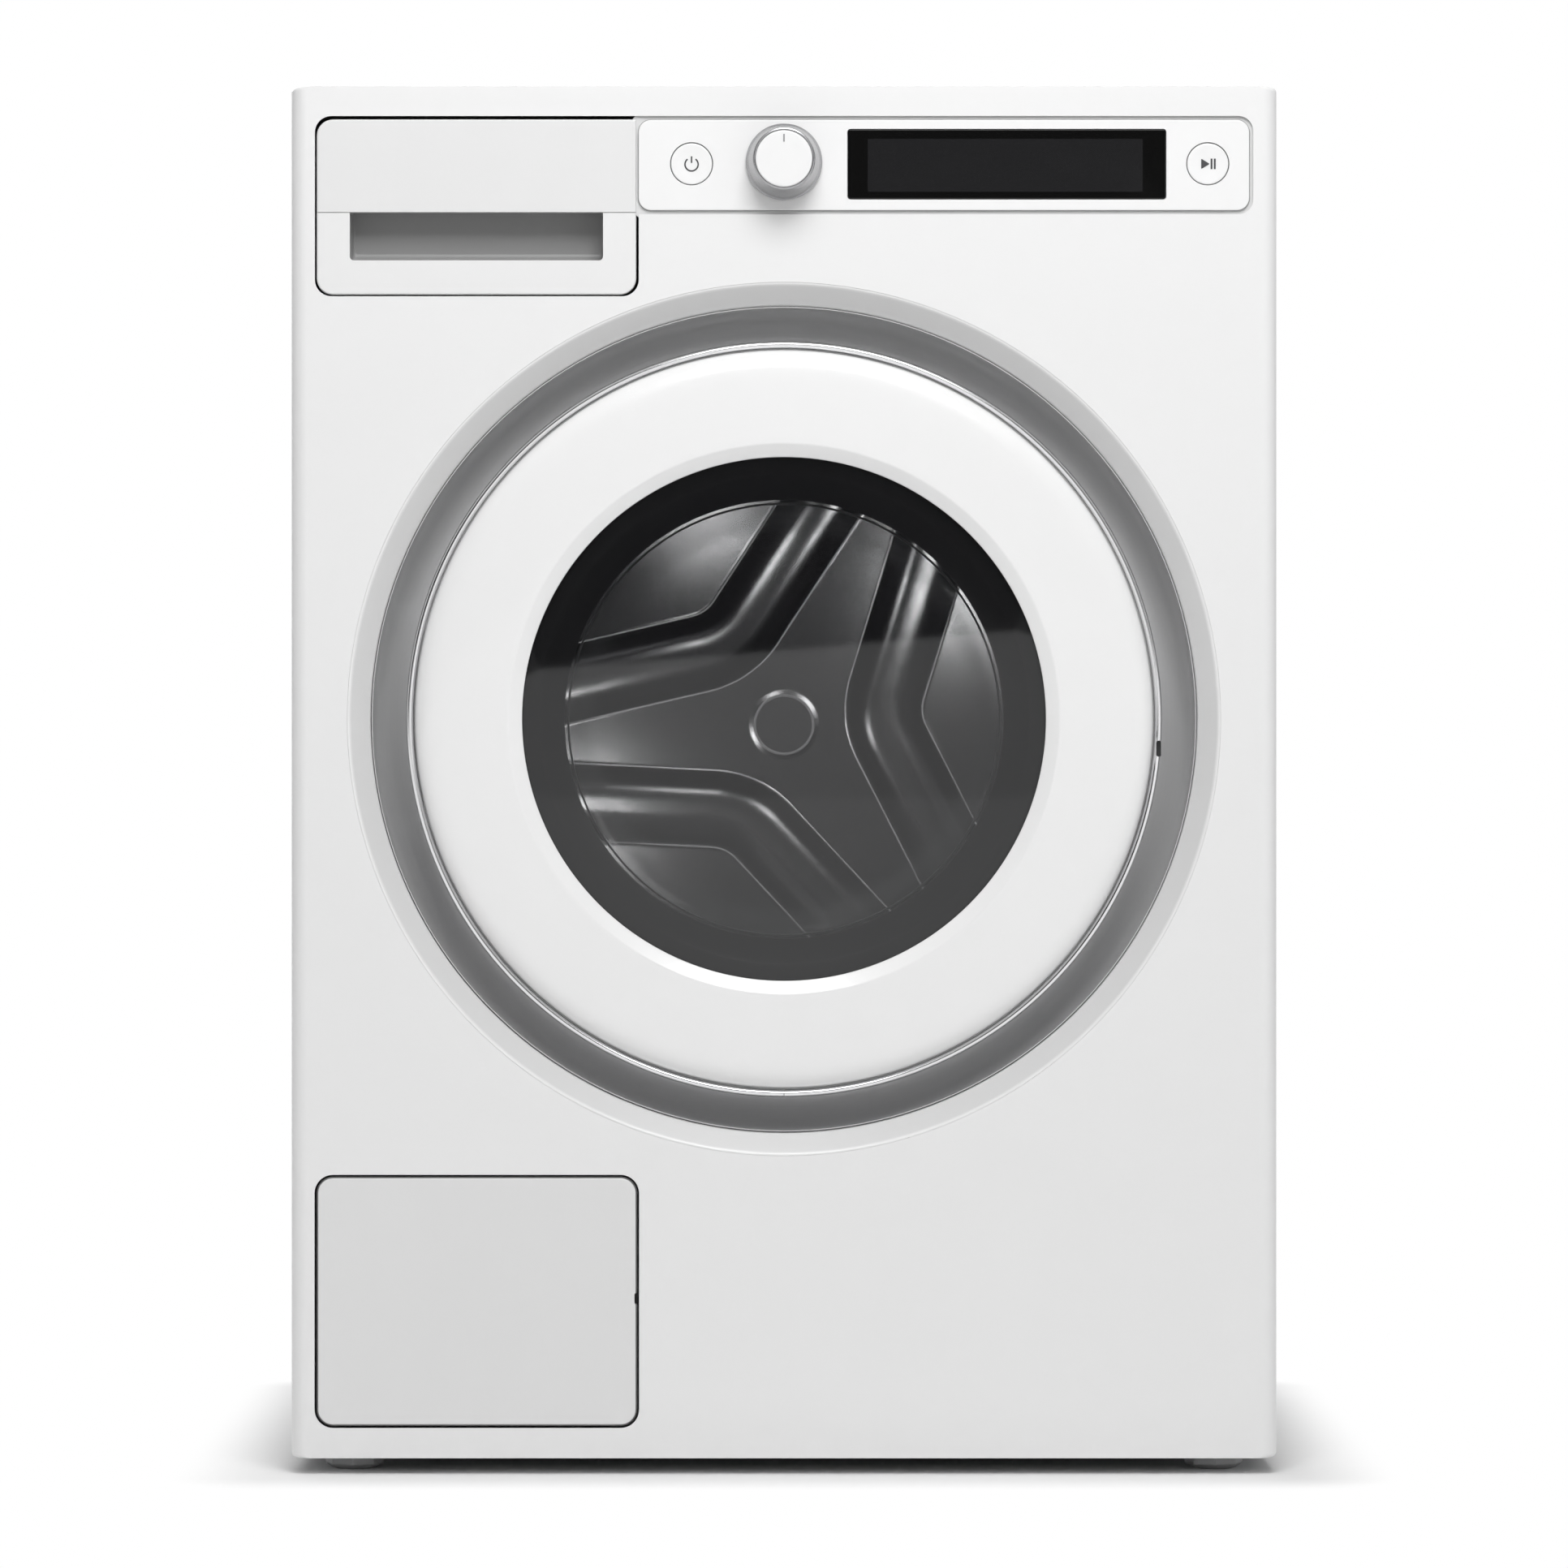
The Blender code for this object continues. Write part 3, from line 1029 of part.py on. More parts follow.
def door_window():
    """Tinted outer window with a shallow dome."""
    radius, dome, edge, thick = WINDOW_RADIUS, WINDOW_DOME, WINDOW_EDGE, WINDOW_THICK
    dome_shares = (0.0, 0.4, 0.75)
    front = [(radius * share, -edge - (dome - edge) * (1 - share ** 2)) for share in dome_shares]
    back = [(place, depth + thick) for place, depth in reversed(front)]
    return piece("door_window", TINTED, front_turned(
        front + [(radius, -edge), (radius, thick - edge)] + back))


def door_inner_frame():
    """White inner frame with the plug that meets the seal, and the ears of the hook's pin."""
    outer, thick = RING_OUTER - RING_WALL - EAR_GAP, RING_WALL
    front, back = DOOR_BACK - thick, DOOR_BACK - SEAT
    drafted_share, slot_share = 1.1, 0.8
    frame = front_turned([
        (outer, front), (outer, back), (PLUG_OUTER, back), (PLUG_OUTER - PLUG_DRAFT, PLUG_DEEP),
        (PLUG_INNER, PLUG_INNER_DEEP), (PLUG_INNER, PLUG_INNER_DEEP - thick),
        (PLUG_OUTER - PLUG_DRAFT - thick, PLUG_DEEP - thick), (PLUG_OUTER - thick * drafted_share, front)])
    pivot = depth_y(HOOK_PIVOT_DEPTH)
    ears, holes = [], []
    for side in (-1, 1):
        near = HOOK_HALF + EAR_GAP
        low, high = sorted((AXIS_HEIGHT + side * near, AXIS_HEIGHT + side * (near + EAR_THICK)))
        ears.append(block((LATCH_X - HOOK_EYE, LATCH_X + HOOK_EYE),
                          (pivot - HOOK_PIN * 2, depth_y(back - thick / 2)), (low, high)))
        holes.append(rod((LATCH_X, pivot, low - EAR_GAP / 2), (LATCH_X, pivot, high + EAR_GAP),
                         HOOK_PIN + SEAT))
    slot_half = LATCH_SLOT * slot_share
    slot = block((LATCH_X - slot_half, LATCH_X + slot_half), (depth_y(front - OVERRUN), depth_y(back + OVERRUN)),
                 (AXIS_HEIGHT - HOOK_HALF - EAR_GAP, AXIS_HEIGHT + HOOK_HALF + EAR_GAP))
    room_half = LUG_OFFSET + LUG_THICK / 2 + LUG_GAP
    hinge_room = block((-outer - OVERRUN, HINGE_X + HINGE_EYE + HINGE_ROOM),
                       (depth_y(front - OVERRUN), depth_y(back + OVERRUN)),
                       (AXIS_HEIGHT - room_half, AXIS_HEIGHT + room_half))
    return piece("door_inner_frame", WHITE_PLASTIC, frame, add=ears, cut=[slot, hinge_room] + holes)


def door_bowl():
    """Clear glass bowl that reaches into the drum's mouth."""
    front, thick, wall, end = BOWL_FLANGE_FRONT, BOWL_FLANGE_THICK, BOWL_WALL, BOWL_END
    mouth = BOWL_MOUTH
    depth_shares = (0.22, 0.74, 0.95)
    radius_shares = (0.96, 0.88, 0.66)
    span = end - front
    outer = [((mouth + wall) * radius, front + span * depth) for radius, depth in zip(radius_shares, depth_shares)]
    inner = [((mouth + wall) * radius - wall, front + span * depth - wall / 2)
             for radius, depth in zip(radius_shares, depth_shares)]
    outline = [(0, end)] + outer[::-1] + [
        (mouth + wall, front + thick), (BOWL_FLANGE, front + thick), (BOWL_FLANGE, front), (mouth, front)]
    outline += inner + [(0, end - wall)]
    return piece("door_bowl", CLEAR_GLASS, front_turned(outline))


def door_retainer():
    """Dark funnel that holds the bowl's flange and closes the view behind the window."""
    inner_share, outer_share = 4, 8
    top, seat = RETAINER_FRONT, BOWL_FLANGE_FRONT - SEAT
    lip = BOWL_MOUTH + RING_WALL / 2
    return piece("door_retainer", DARK_PLASTIC, front_turned([
        (WINDOW_RADIUS, top), (WINDOW_RADIUS - OVERRUN, top), (BOWL_FLANGE - OVERRUN, top * inner_share),
        (lip, seat - OVERRUN), (lip, seat), (BOWL_FLANGE, seat), (WINDOW_RADIUS, top * outer_share)]))


def hinge_arm():
    """Moving half of the hinge: a plate on the door's back with two knuckles."""
    front = DOOR_BACK + SEAT
    plate = block((HINGE_X + HINGE_EYE, HINGE_X + ARM_RIGHT), (depth_y(front), depth_y(front + ARM_THICK)),
                  (AXIS_HEIGHT - ARM_HALF, AXIS_HEIGHT + ARM_HALF))
    pivot = depth_y(HINGE_DEPTH)
    eye = arc(HINGE_X, pivot, HINGE_EYE, 60, 270, CORNER_STEPS * 2)
    near_share, far_share = 0.25, 0.75
    outline = eye + [Vector((HINGE_X + HINGE_EYE * 2, depth_y(front + ARM_THICK * near_share))),
                     Vector((HINGE_X + HINGE_EYE * 2, depth_y(front + ARM_THICK * far_share)))]
    knuckles, bores = [], []
    for middle in (AXIS_HEIGHT - ARM_HALF + LUG_THICK / 2, AXIS_HEIGHT + ARM_HALF - LUG_THICK / 2):
        low, high = middle - LUG_THICK / 2, middle + LUG_THICK / 2
        knuckles.append(prism(outline, low + SEAT, high - SEAT, "Z"))
        bores.append(rod((HINGE_X, pivot, low - OVERRUN), (HINGE_X, pivot, high + OVERRUN), HINGE_BORE))
    return piece("hinge_arm", ZINC_STEEL, plate, add=knuckles, cut=bores)


def latch_hook():
    """Hook that rocks on its own pin and enters the lock."""
    pivot, tip = depth_y(HOOK_PIVOT_DEPTH), depth_y(HOOK_REACH)
    stem, barb, heel_share = HOOK_STEM, HOOK_BARB, 1.5
    outline = arc(LATCH_X, pivot, HOOK_EYE, 180, 360, CORNER_STEPS * 2) + [
        Vector((LATCH_X + stem, pivot + HOOK_EYE * 2)), Vector((LATCH_X + stem, tip)),
        Vector((LATCH_X - stem, tip + stem)), Vector((LATCH_X - stem - barb, tip - barb)),
        Vector((LATCH_X - stem - barb, tip - barb * heel_share)), Vector((LATCH_X - stem, tip - barb * heel_share)),
        Vector((LATCH_X - stem, pivot + HOOK_EYE * 2))]
    body = prism(outline, AXIS_HEIGHT - HOOK_HALF, AXIS_HEIGHT + HOOK_HALF, "Z")
    reach = HOOK_HALF + EAR_THICK
    pin = rod((LATCH_X, pivot, AXIS_HEIGHT - reach), (LATCH_X, pivot, AXIS_HEIGHT + reach), HOOK_PIN)
    made = piece("latch_hook", ZINC_STEEL, body, add=[pin])
    carried_by("axis_latch_hook", (LATCH_X, pivot, AXIS_HEIGHT), made)


def door():
    """Every piece of the door, on the hinge's axis."""
    carried_by("axis_door", (HINGE_X, depth_y(HINGE_DEPTH), AXIS_HEIGHT), door_ring(), door_bead(),
               door_window(), door_inner_frame(), door_bowl(), door_retainer(), hinge_arm())
    latch_hook()


# Tub, seal and drum
TUB_RADIUS = 0.2590
TUB_WALL = 0.0040
TUB_FRONT = 0.0960
TUB_SPLIT = 0.2430
TUB_FLANGE = 0.2640
TUB_FLANGE_THICK = 0.0080
TUB_BACK = 0.4160
TUB_LIP = 0.1640
TUB_LIP_THICK = 0.0040
TUB_LIP_FRONT = 0.0800
TUB_EDGE = 0.0060
BEARING_OUTER = 0.0260
BEARING_INNER = 0.0155
BEARING_WIDTH = 0.0140
BEARING_RELIEF = 0.0040
HUB_OUTER = 0.0400
HUB_FRONT = 0.3950
HUB_BACK = 0.4700
RIB_COUNT = 8
RIB_THICK = 0.005
RIB_DEEP = 0.022
SPRING_X = 0.200
LUG_TOP = 0.6600
LUG_HALF_WIDTH = 0.012
LUG_PLATE = 0.006
MOTOR_X = 0.055
MOTOR_Z = 0.105
MOTOR_RADIUS = 0.0560
MOTOR_FRONT = 0.290
MOTOR_BACK = 0.415
MOTOR_BOSS_LOW = 0.1880
MOTOR_BOSS_HALF = 0.022
MOTOR_BOSS_THICK = 0.012
MOTOR_SHAFT = 0.0060
MOTOR_BORE_GAP = 0.0015
MOTOR_BORE_DEEP = 0.020
SHIELD_SHARE = 0.85
DAMPER_X = 0.170
DAMPER_DEPTH = 0.300
DAMPER_TUBE = 0.0160
DAMPER_BORE = 0.0125
DAMPER_PISTON = 0.0120
DAMPER_ROD = 0.0080
DAMPER_ROD_GAP = 0.0005
DAMPER_TUBE_TOP = 0.1650
DAMPER_CAP = 0.0060
DAMPER_PISTON_LOW = 0.0600
DAMPER_PISTON_HIGH = 0.0800
DAMPER_EYE_LOW = 0.2400
DAMPER_SEAT_HALF = 0.014
SUMP_X = -0.155
SUMP_DEPTH = 0.135
SUMP_LOW = 0.2220
HEATER_X = 0.020
HEATER_Z = 0.2115
HEATER_RADIUS = 0.0035
HEATER_FRONT = 0.250
HEATER_PLATE = 0.0040
SEAL_FRONT = 0.0350
SEAL_LIP = 0.1580
SEAL_FOLD = 0.1430


def tub_root(x, end):
    """Height of the middle of the tub's wall at a sideways offset, on the side of a level."""
    rise = math.sqrt((TUB_RADIUS - TUB_WALL / 2) ** 2 - x ** 2)
    return AXIS_HEIGHT + (rise if end > AXIS_HEIGHT else -rise)


def tub_pad(x, half_width, end, y_range):
    """Block from the tub's wall to a level, with its root inside the wall."""
    left, right = x - half_width, x + half_width
    places = [left + (right - left) * step / CORNER_STEPS for step in range(CORNER_STEPS + 1)]
    outline = [Vector((place, tub_root(place, end))) for place in places]
    return prism(outline + [Vector((right, end)), Vector((left, end))], *y_range, "Y")


def tub_nipple(x, depth, end):
    """Hose stub from the tub's wall to a level, and the cutter of its bore."""
    ring = circle(x, depth_y(depth), HOSE_RADIUS)
    stub = bmesh.new()
    foot = [stub.verts.new((point.x, point.y, tub_root(point.x, end))) for point in ring]
    tip = [stub.verts.new((point.x, point.y, end)) for point in ring]
    stub.faces.new(foot)
    stub.faces.new(tip)
    for index in range(len(ring)):
        after = (index + 1) % len(ring)
        stub.faces.new((foot[index], foot[after], tip[after], tip[index]))
    bmesh.ops.recalc_face_normals(stub, faces=stub.faces[:])
    middle = tub_root(x, end)
    beyond = HOSE_RADIUS * 2 * (1 if end < middle else -1)
    levels = sorted((middle + beyond, end - math.copysign(OVERRUN, beyond)))
    return stub, prism(circle(x, depth_y(depth), HOSE_BORE), *levels, "Z")


def tub_front():
    """Front half of the tub, with the seal's lip and the sump spout."""
    outer, wall, edge = TUB_RADIUS, TUB_WALL, TUB_EDGE
    lip, lip_outer = TUB_LIP, TUB_LIP + TUB_LIP_THICK
    shell = front_turned([
        (lip, TUB_LIP_FRONT), (lip_outer, TUB_LIP_FRONT), (lip_outer, TUB_FRONT), (outer - edge, TUB_FRONT),
        (outer, TUB_FRONT + edge), (outer, TUB_SPLIT - TUB_FLANGE_THICK),
        (TUB_FLANGE, TUB_SPLIT - TUB_FLANGE_THICK), (TUB_FLANGE, TUB_SPLIT), (outer - wall, TUB_SPLIT),
        (outer - wall, TUB_FRONT + edge), (outer - edge - wall / 2, TUB_FRONT + wall), (lip, TUB_FRONT + wall)])
    spout, drain = tub_nipple(SUMP_X, SUMP_DEPTH, SUMP_LOW)
    return piece("tub_front", WHITE_PLASTIC, shell, add=[spout], cut=[drain])


def tub_rear():
    """Rear half of the tub: bearing hub, ribs, spring lugs, motor bosses and hose nipple."""
    outer, wall, edge, split = TUB_RADIUS, TUB_WALL, TUB_EDGE, TUB_SPLIT + SEAT
    bore = BEARING_OUTER + SEAT
    shell = front_turned([
        (outer - wall, split), (TUB_FLANGE, split), (TUB_FLANGE, split + TUB_FLANGE_THICK),
        (outer, split + TUB_FLANGE_THICK), (outer, TUB_BACK - edge), (outer - edge, TUB_BACK),
        (HUB_OUTER, TUB_BACK), (HUB_OUTER, HUB_BACK), (bore, HUB_BACK), (bore, HUB_FRONT), (HUB_OUTER, HUB_FRONT),
        (HUB_OUTER, TUB_BACK - wall), (outer - edge - wall / 2, TUB_BACK - wall), (outer - wall, TUB_BACK - edge)])
    adds = []
    for index in range(RIB_COUNT):
        rib = block((HUB_OUTER - OVERRUN, outer - edge * 2), (depth_y(TUB_BACK - wall / 2), depth_y(TUB_BACK + RIB_DEEP)),
                    (AXIS_HEIGHT - RIB_THICK / 2, AXIS_HEIGHT + RIB_THICK / 2))
        adds.append(moved(rib, about_axis(2 * math.pi * (index + 0.5) / RIB_COUNT)))
    for side in (-1, 1):
        spring_y, seat_y = depth_y(SPRING_DEPTH), depth_y(DAMPER_DEPTH)
        adds.append(tub_pad(side * SPRING_X, LUG_HALF_WIDTH, LUG_TOP, (spring_y - LUG_PLATE, spring_y + LUG_PLATE)))
        adds.append(tub_pad(side * DAMPER_X, DAMPER_SEAT_HALF, DAMPER_EYE_LOW,
                            (seat_y - DAMPER_SEAT_HALF, seat_y + DAMPER_SEAT_HALF)))
    for depth in (MOTOR_FRONT + MOTOR_BOSS_THICK, MOTOR_BACK - MOTOR_BOSS_THICK * 2):
        adds.append(tub_pad(MOTOR_X, MOTOR_BOSS_HALF, MOTOR_BOSS_LOW,
                            (depth_y(depth), depth_y(depth + MOTOR_BOSS_THICK))))
    crown = AXIS_HEIGHT + math.sqrt(outer ** 2 - DISPENSER_HOSE_X ** 2)
    nipple, drain = tub_nipple(DISPENSER_HOSE_X, DISPENSER_HOSE_DEPTH, crown + HOSE_RADIUS)
    holes = [prism(circle(side * HEATER_X, HEATER_Z, HEATER_RADIUS + SEAT * 2, PIN_STEPS),
                   depth_y(TUB_BACK - wall - OVERRUN), depth_y(TUB_BACK + OVERRUN), "Y") for side in (-1, 1)]
    return piece("tub_rear", WHITE_PLASTIC, shell, add=adds + [nipple], cut=[drain] + holes)


def heating_element():
    """Bent heating tube in the foot of the tub, with its plate outside the rear wall."""
    back, front = depth_y(TUB_BACK + SEAT + HEATER_PLATE / 2), depth_y(HEATER_FRONT)
    bend = [(point.x, point.y, HEATER_Z) for point in arc(0, front, HEATER_X, 180, 360, CORNER_STEPS * 2)]
    route = [(-HEATER_X, back, HEATER_Z)] + bend + [(HEATER_X, back, HEATER_Z)]
    margin_share = 3
    half_width, half_height = HEATER_X + HEATER_RADIUS * margin_share, HEATER_RADIUS * margin_share
    plate = block((-half_width, half_width), (depth_y(TUB_BACK + SEAT), depth_y(TUB_BACK + SEAT + HEATER_PLATE)),
                  (HEATER_Z - half_height, HEATER_Z + half_height))
    return piece("heating_element", STAINLESS, plate, add=[tube_along(route, HEATER_RADIUS, WIRE_SIDES)])


def bearings():
    """Bearing cartridge in the hub: two bearings joined by their sleeve."""
    front, back, width = HUB_FRONT + SEAT, HUB_BACK - SEAT, BEARING_WIDTH
    sleeve = BEARING_INNER + BEARING_RELIEF
    return piece("bearing_cartridge", ZINC_STEEL, front_turned([
        (BEARING_INNER, front), (BEARING_OUTER, front), (BEARING_OUTER, back), (BEARING_INNER, back),
        (BEARING_INNER, back - width), (sleeve, back - width), (sleeve, front + width),
        (BEARING_INNER, front + width)], steps=HUB_STEPS))


# Drum
DRUM_RADIUS = 0.2400
DRUM_SHEET = 0.0015
DRUM_FRONT = 0.1060
DRUM_MOUTH = 0.1590
DRUM_END = 0.3900
DRUM_EDGE = 0.0060
DRUM_WALL_DEPTH = 0.3700
DRUM_SKIRT = 0.0160
RIDGE_COUNT = 3
RIDGE_START_DEG = 5
RIDGE_VERTEX = 0.066
RIDGE_ARM = 0.135
RIDGE_OPEN_DEG = 68
RIDGE_HALF = 0.029
RIDGE_SLOPE = 0.010
RIDGE_RISE = 0.012
RIDGE_CORNER = 0.010
LIFTER_DEG = (70, 190, 310)
LIFTER_FRONT = 0.122
LIFTER_BACK = 0.352
LIFTER_RISE = 0.045
LIFTER_TIP = 0.011
TAPER_SHARE = 0.12
CAP_RADIUS = 0.0215
CAP_RISE = 0.0040
SPIDER_HUB = 0.030
SPIDER_BACK = 0.3920
SPIDER_ARM = 0.017
SPIDER_ARM_BACK = 0.3850
SHAFT_RADIUS = 0.0150
SHAFT_END = 0.5020
PULLEY_FRONT = 0.4800
PULLEY_WIDTH = 0.0140
PULLEY_RADIUS = 0.1400
PULLEY_RIM = 0.0100
PULLEY_WEB = 0.0050
PULLEY_HUB = 0.0260
PULLEY_SPOKES = 6
PULLEY_SPOKE_HALF = 0.010
BELT_WIDTH = 0.0100
BELT_THICK = 0.0030
MOTOR_PULLEY_RADIUS = 0.0110
MOTOR_PULLEY_FLANGE = 0.0150


def ridge_outline(inset):
    """V-shaped outline whose point faces the drum's centre."""
    half = RIDGE_HALF - inset
    open_angle = math.radians(RIDGE_OPEN_DEG)
    arm = Vector((math.cos(open_angle), math.sin(open_angle)))
    across = Vector((-arm.y, arm.x))
    miter = half / math.sin(open_angle)
    tip = Vector((RIDGE_VERTEX, 0))
    end = tip + arm * (RIDGE_ARM - inset)
    outer, inner = end - across * half, end + across * half
    corner = RIDGE_CORNER + (half - RIDGE_HALF) / 2
    return rounded([
        (tip.x - miter, 0, RIDGE_CORNER * 2), (inner.x, -inner.y, corner), (outer.x, -outer.y, corner),
        (tip.x + miter, 0, RIDGE_CORNER * 2), (outer.x, outer.y, corner), (inner.x, inner.y, corner)], 3)


def drum():
    """Stainless drum: shell with its lifters, pressed back, spider with its shaft, and pulley."""
    outer, sheet, edge = DRUM_RADIUS, DRUM_SHEET, DRUM_EDGE
    mouth, front = DRUM_MOUTH, DRUM_FRONT
    step = 2 * math.pi / ROUND_STEPS
    seat, tip = outer - sheet / 2, outer - sheet - LIFTER_RISE
    lifters = []
    for degrees in LIFTER_DEG:
        angle = math.radians(degrees)
        foot = [(seat * math.cos(angle + step * turn), AXIS_HEIGHT + seat * math.sin(angle + step * turn))
                for turn in (-1, 0, 1)]
        radial, tangent = Vector((math.cos(angle), math.sin(angle))), Vector((-math.sin(angle), math.cos(angle)))
        crown = [radial * tip + tangent * LIFTER_TIP, radial * tip - tangent * LIFTER_TIP]
        outline = foot + [(point.x, AXIS_HEIGHT + point.y) for point in crown]
        root = outline[1]
        narrow = [(x + (root[0] - x) * TAPER_SHARE, z + (root[1] - z) * TAPER_SHARE) for x, z in outline]
        narrow[:3] = outline[:3]
        lifters.append(loft(outline, narrow, depth_y(LIFTER_FRONT), depth_y(LIFTER_BACK), "Y"))
    shell = piece("drum_shell", STAINLESS, front_turned([
        (mouth, front + edge * 2), (mouth, front + edge / 2), (mouth + edge / 2, front), (outer - edge, front),
        (outer, front + edge), (outer, DRUM_END), (outer - sheet, DRUM_END), (outer - sheet, front + edge),
        (outer - edge - sheet / 2, front + sheet), (mouth + edge / 2 + sheet / 2, front + sheet),
        (mouth + sheet, front + edge / 2 + sheet / 2), (mouth + sheet, front + edge * 2)]), add=lifters)
    rim, wall = outer - sheet - SEAT, DRUM_WALL_DEPTH
    disc = front_turned([
        (0, wall - CAP_RISE), (CAP_RADIUS - CAP_RISE, wall - CAP_RISE), (CAP_RADIUS, wall), (rim, wall),
        (rim, wall + DRUM_SKIRT), (rim - sheet, wall + DRUM_SKIRT), (rim - sheet, wall + sheet), (0, wall + sheet)])
    ridges = []
    for index in range(RIDGE_COUNT):
        ridge = loft(ridge_outline(0), ridge_outline(RIDGE_SLOPE), depth_y(wall + sheet / 2),
                     depth_y(wall - RIDGE_RISE), "Y")
        bmesh.ops.translate(ridge, verts=ridge.verts[:], vec=(0, 0, AXIS_HEIGHT))
        angle = math.radians(RIDGE_START_DEG) + 2 * math.pi * index / RIDGE_COUNT
        ridges.append(moved(ridge, about_axis(-angle)))
    back = piece("drum_back", STAINLESS, disc, add=ridges)
    near = wall + sheet + SEAT
    hub = front_turned([(0, near), (SPIDER_HUB, near), (SPIDER_HUB, SPIDER_BACK), (SHAFT_RADIUS, SPIDER_BACK),
                        (SHAFT_RADIUS, SHAFT_END), (0, SHAFT_END)])
    arms = []
    for index in range(RIDGE_COUNT):
        arm = block((SHAFT_RADIUS, (rim - sheet) * math.cos(step) - SEAT),
                    (depth_y(near), depth_y(SPIDER_ARM_BACK)),
                    (AXIS_HEIGHT - SPIDER_ARM, AXIS_HEIGHT + SPIDER_ARM))
        arms.append(moved(arm, about_axis(2 * math.pi * index / RIDGE_COUNT + math.pi / 2)))
    spider = piece("drum_spider", CAST_ALUMINIUM, hub, add=arms)
    pulley = drum_pulley()
    carried_by("axis_drum", (0, depth_y(near), AXIS_HEIGHT), shell, back, spider, pulley)


def drum_pulley():
    """Spoked belt pulley on the end of the shaft."""
    front, back = PULLEY_FRONT, PULLEY_FRONT + PULLEY_WIDTH
    middle = (front + back) / 2
    bore = SHAFT_RADIUS + SEAT
    web_front, web_back = middle - PULLEY_WEB / 2, middle + PULLEY_WEB / 2
    rim_in = PULLEY_RADIUS - PULLEY_RIM
    wheel = front_turned([
        (bore, front), (PULLEY_HUB, front), (PULLEY_HUB + PULLEY_WEB, web_front), (rim_in, web_front),
        (rim_in, front), (PULLEY_RADIUS, front), (PULLEY_RADIUS, back), (rim_in, back), (rim_in, web_back),
        (bore, web_back)])
    windows = []
    inner, outer = PULLEY_HUB + PULLEY_RIM, rim_in - PULLEY_RIM / 2
    half_turn = math.pi / PULLEY_SPOKES
    for index in range(PULLEY_SPOKES):
        middle_turn = 2 * half_turn * index
        low, high = half_turn - PULLEY_SPOKE_HALF / inner, half_turn - PULLEY_SPOKE_HALF / outer
        turns = [(outer, middle_turn + high * side) for side in (-1, 0, 1)]
        turns += [(inner, middle_turn + low), (inner, middle_turn - low)]
        outline = [(radius * math.cos(turn), AXIS_HEIGHT + radius * math.sin(turn)) for radius, turn in turns]
        windows.append(prism(outline, depth_y(front), depth_y(back), "Y"))
    return piece("drum_pulley", CAST_ALUMINIUM, wheel, cut=windows)


def belt_path(radius_grow):
    """Loop round the drum pulley and the motor pulley, grown outwards by a distance."""
    big, small = PULLEY_RADIUS + radius_grow, MOTOR_PULLEY_RADIUS + radius_grow
    drop = Vector((MOTOR_X, MOTOR_Z - AXIS_HEIGHT))
    lean = math.degrees(math.atan2(drop.y, drop.x))
    spread = math.degrees(math.acos((PULLEY_RADIUS - MOTOR_PULLEY_RADIUS) / drop.length))
    steps = HUB_STEPS
    loop = arc(0, AXIS_HEIGHT, big, lean + spread, lean + 360 - spread, steps)
    loop += arc(MOTOR_X, MOTOR_Z, small, lean - spread, lean + spread, CORNER_STEPS * 2)
    return loop


def band(inner, outer, low, high):
    """Closed ring between two loops with the same number of points, front to back."""
    solid = bmesh.new()
    rings = [[solid.verts.new(placed(point, level, "Y")) for point in loop]
             for loop, level in ((inner, low), (outer, low), (outer, high), (inner, high))]
    count = len(inner)
    for index in range(count):
        after = (index + 1) % count
        for near, far in zip(rings, rings[1:] + rings[:1]):
            solid.faces.new((near[index], near[after], far[after], far[index]))
    bmesh.ops.recalc_face_normals(solid, faces=solid.faces[:])
    return solid


def drive():
    """Motor on the tub's bosses, its pulley with the rotor shaft, and the belt."""
    front, back, radius, step = MOTOR_FRONT, MOTOR_BACK, MOTOR_RADIUS, MOTOR_BOSS_THICK
    centre, steps = (MOTOR_X, MOTOR_Z), HUB_STEPS
    shield, bore = radius * SHIELD_SHARE, MOTOR_SHAFT + MOTOR_BORE_GAP
    body = front_turned([
        (0, front), (shield / 2, front), (shield, front + step), (shield, front + step * 2),
        (radius, front + step * 2), (radius, back - step * 3), (shield, back - step * 3), (shield, back - step),
        (shield / 2, back), (bore, back), (bore, back - MOTOR_BORE_DEEP), (0, back - MOTOR_BORE_DEEP)],
        centre, steps)
    ears = []
    for depth in (front + step, back - step * 2):
        ears.append(block((MOTOR_X - MOTOR_BOSS_HALF, MOTOR_X + MOTOR_BOSS_HALF),
                          (depth_y(depth), depth_y(depth + step)), (MOTOR_Z + bore * 2, MOTOR_BOSS_LOW - SEAT)))
    piece("motor", CAST_ALUMINIUM, body, add=ears)
    flange, low, high = MOTOR_PULLEY_FLANGE, PULLEY_FRONT, PULLEY_FRONT + PULLEY_WIDTH
    lip = (PULLEY_WIDTH - BELT_WIDTH) / 2 - SEAT
    start = back - MOTOR_BORE_DEEP + OVERRUN
    wheel = front_turned([
        (0, start), (MOTOR_SHAFT, start), (MOTOR_SHAFT, low), (flange, low), (flange, low + lip),
        (MOTOR_PULLEY_RADIUS, low + lip), (MOTOR_PULLEY_RADIUS, high - lip), (flange, high - lip),
        (flange, high), (0, high)], centre, SMALL_STEPS)
    made = piece("motor_pulley", ZINC_STEEL, wheel)
    carried_by("axis_motor_pulley", (MOTOR_X, depth_y(low), MOTOR_Z), made)
    middle = (low + high) / 2
    belt = band(belt_path(SEAT * 2), belt_path(SEAT * 2 + BELT_THICK), depth_y(middle - BELT_WIDTH / 2),
                depth_y(middle + BELT_WIDTH / 2))
    piece("drive_belt", RUBBER_BLACK, belt)


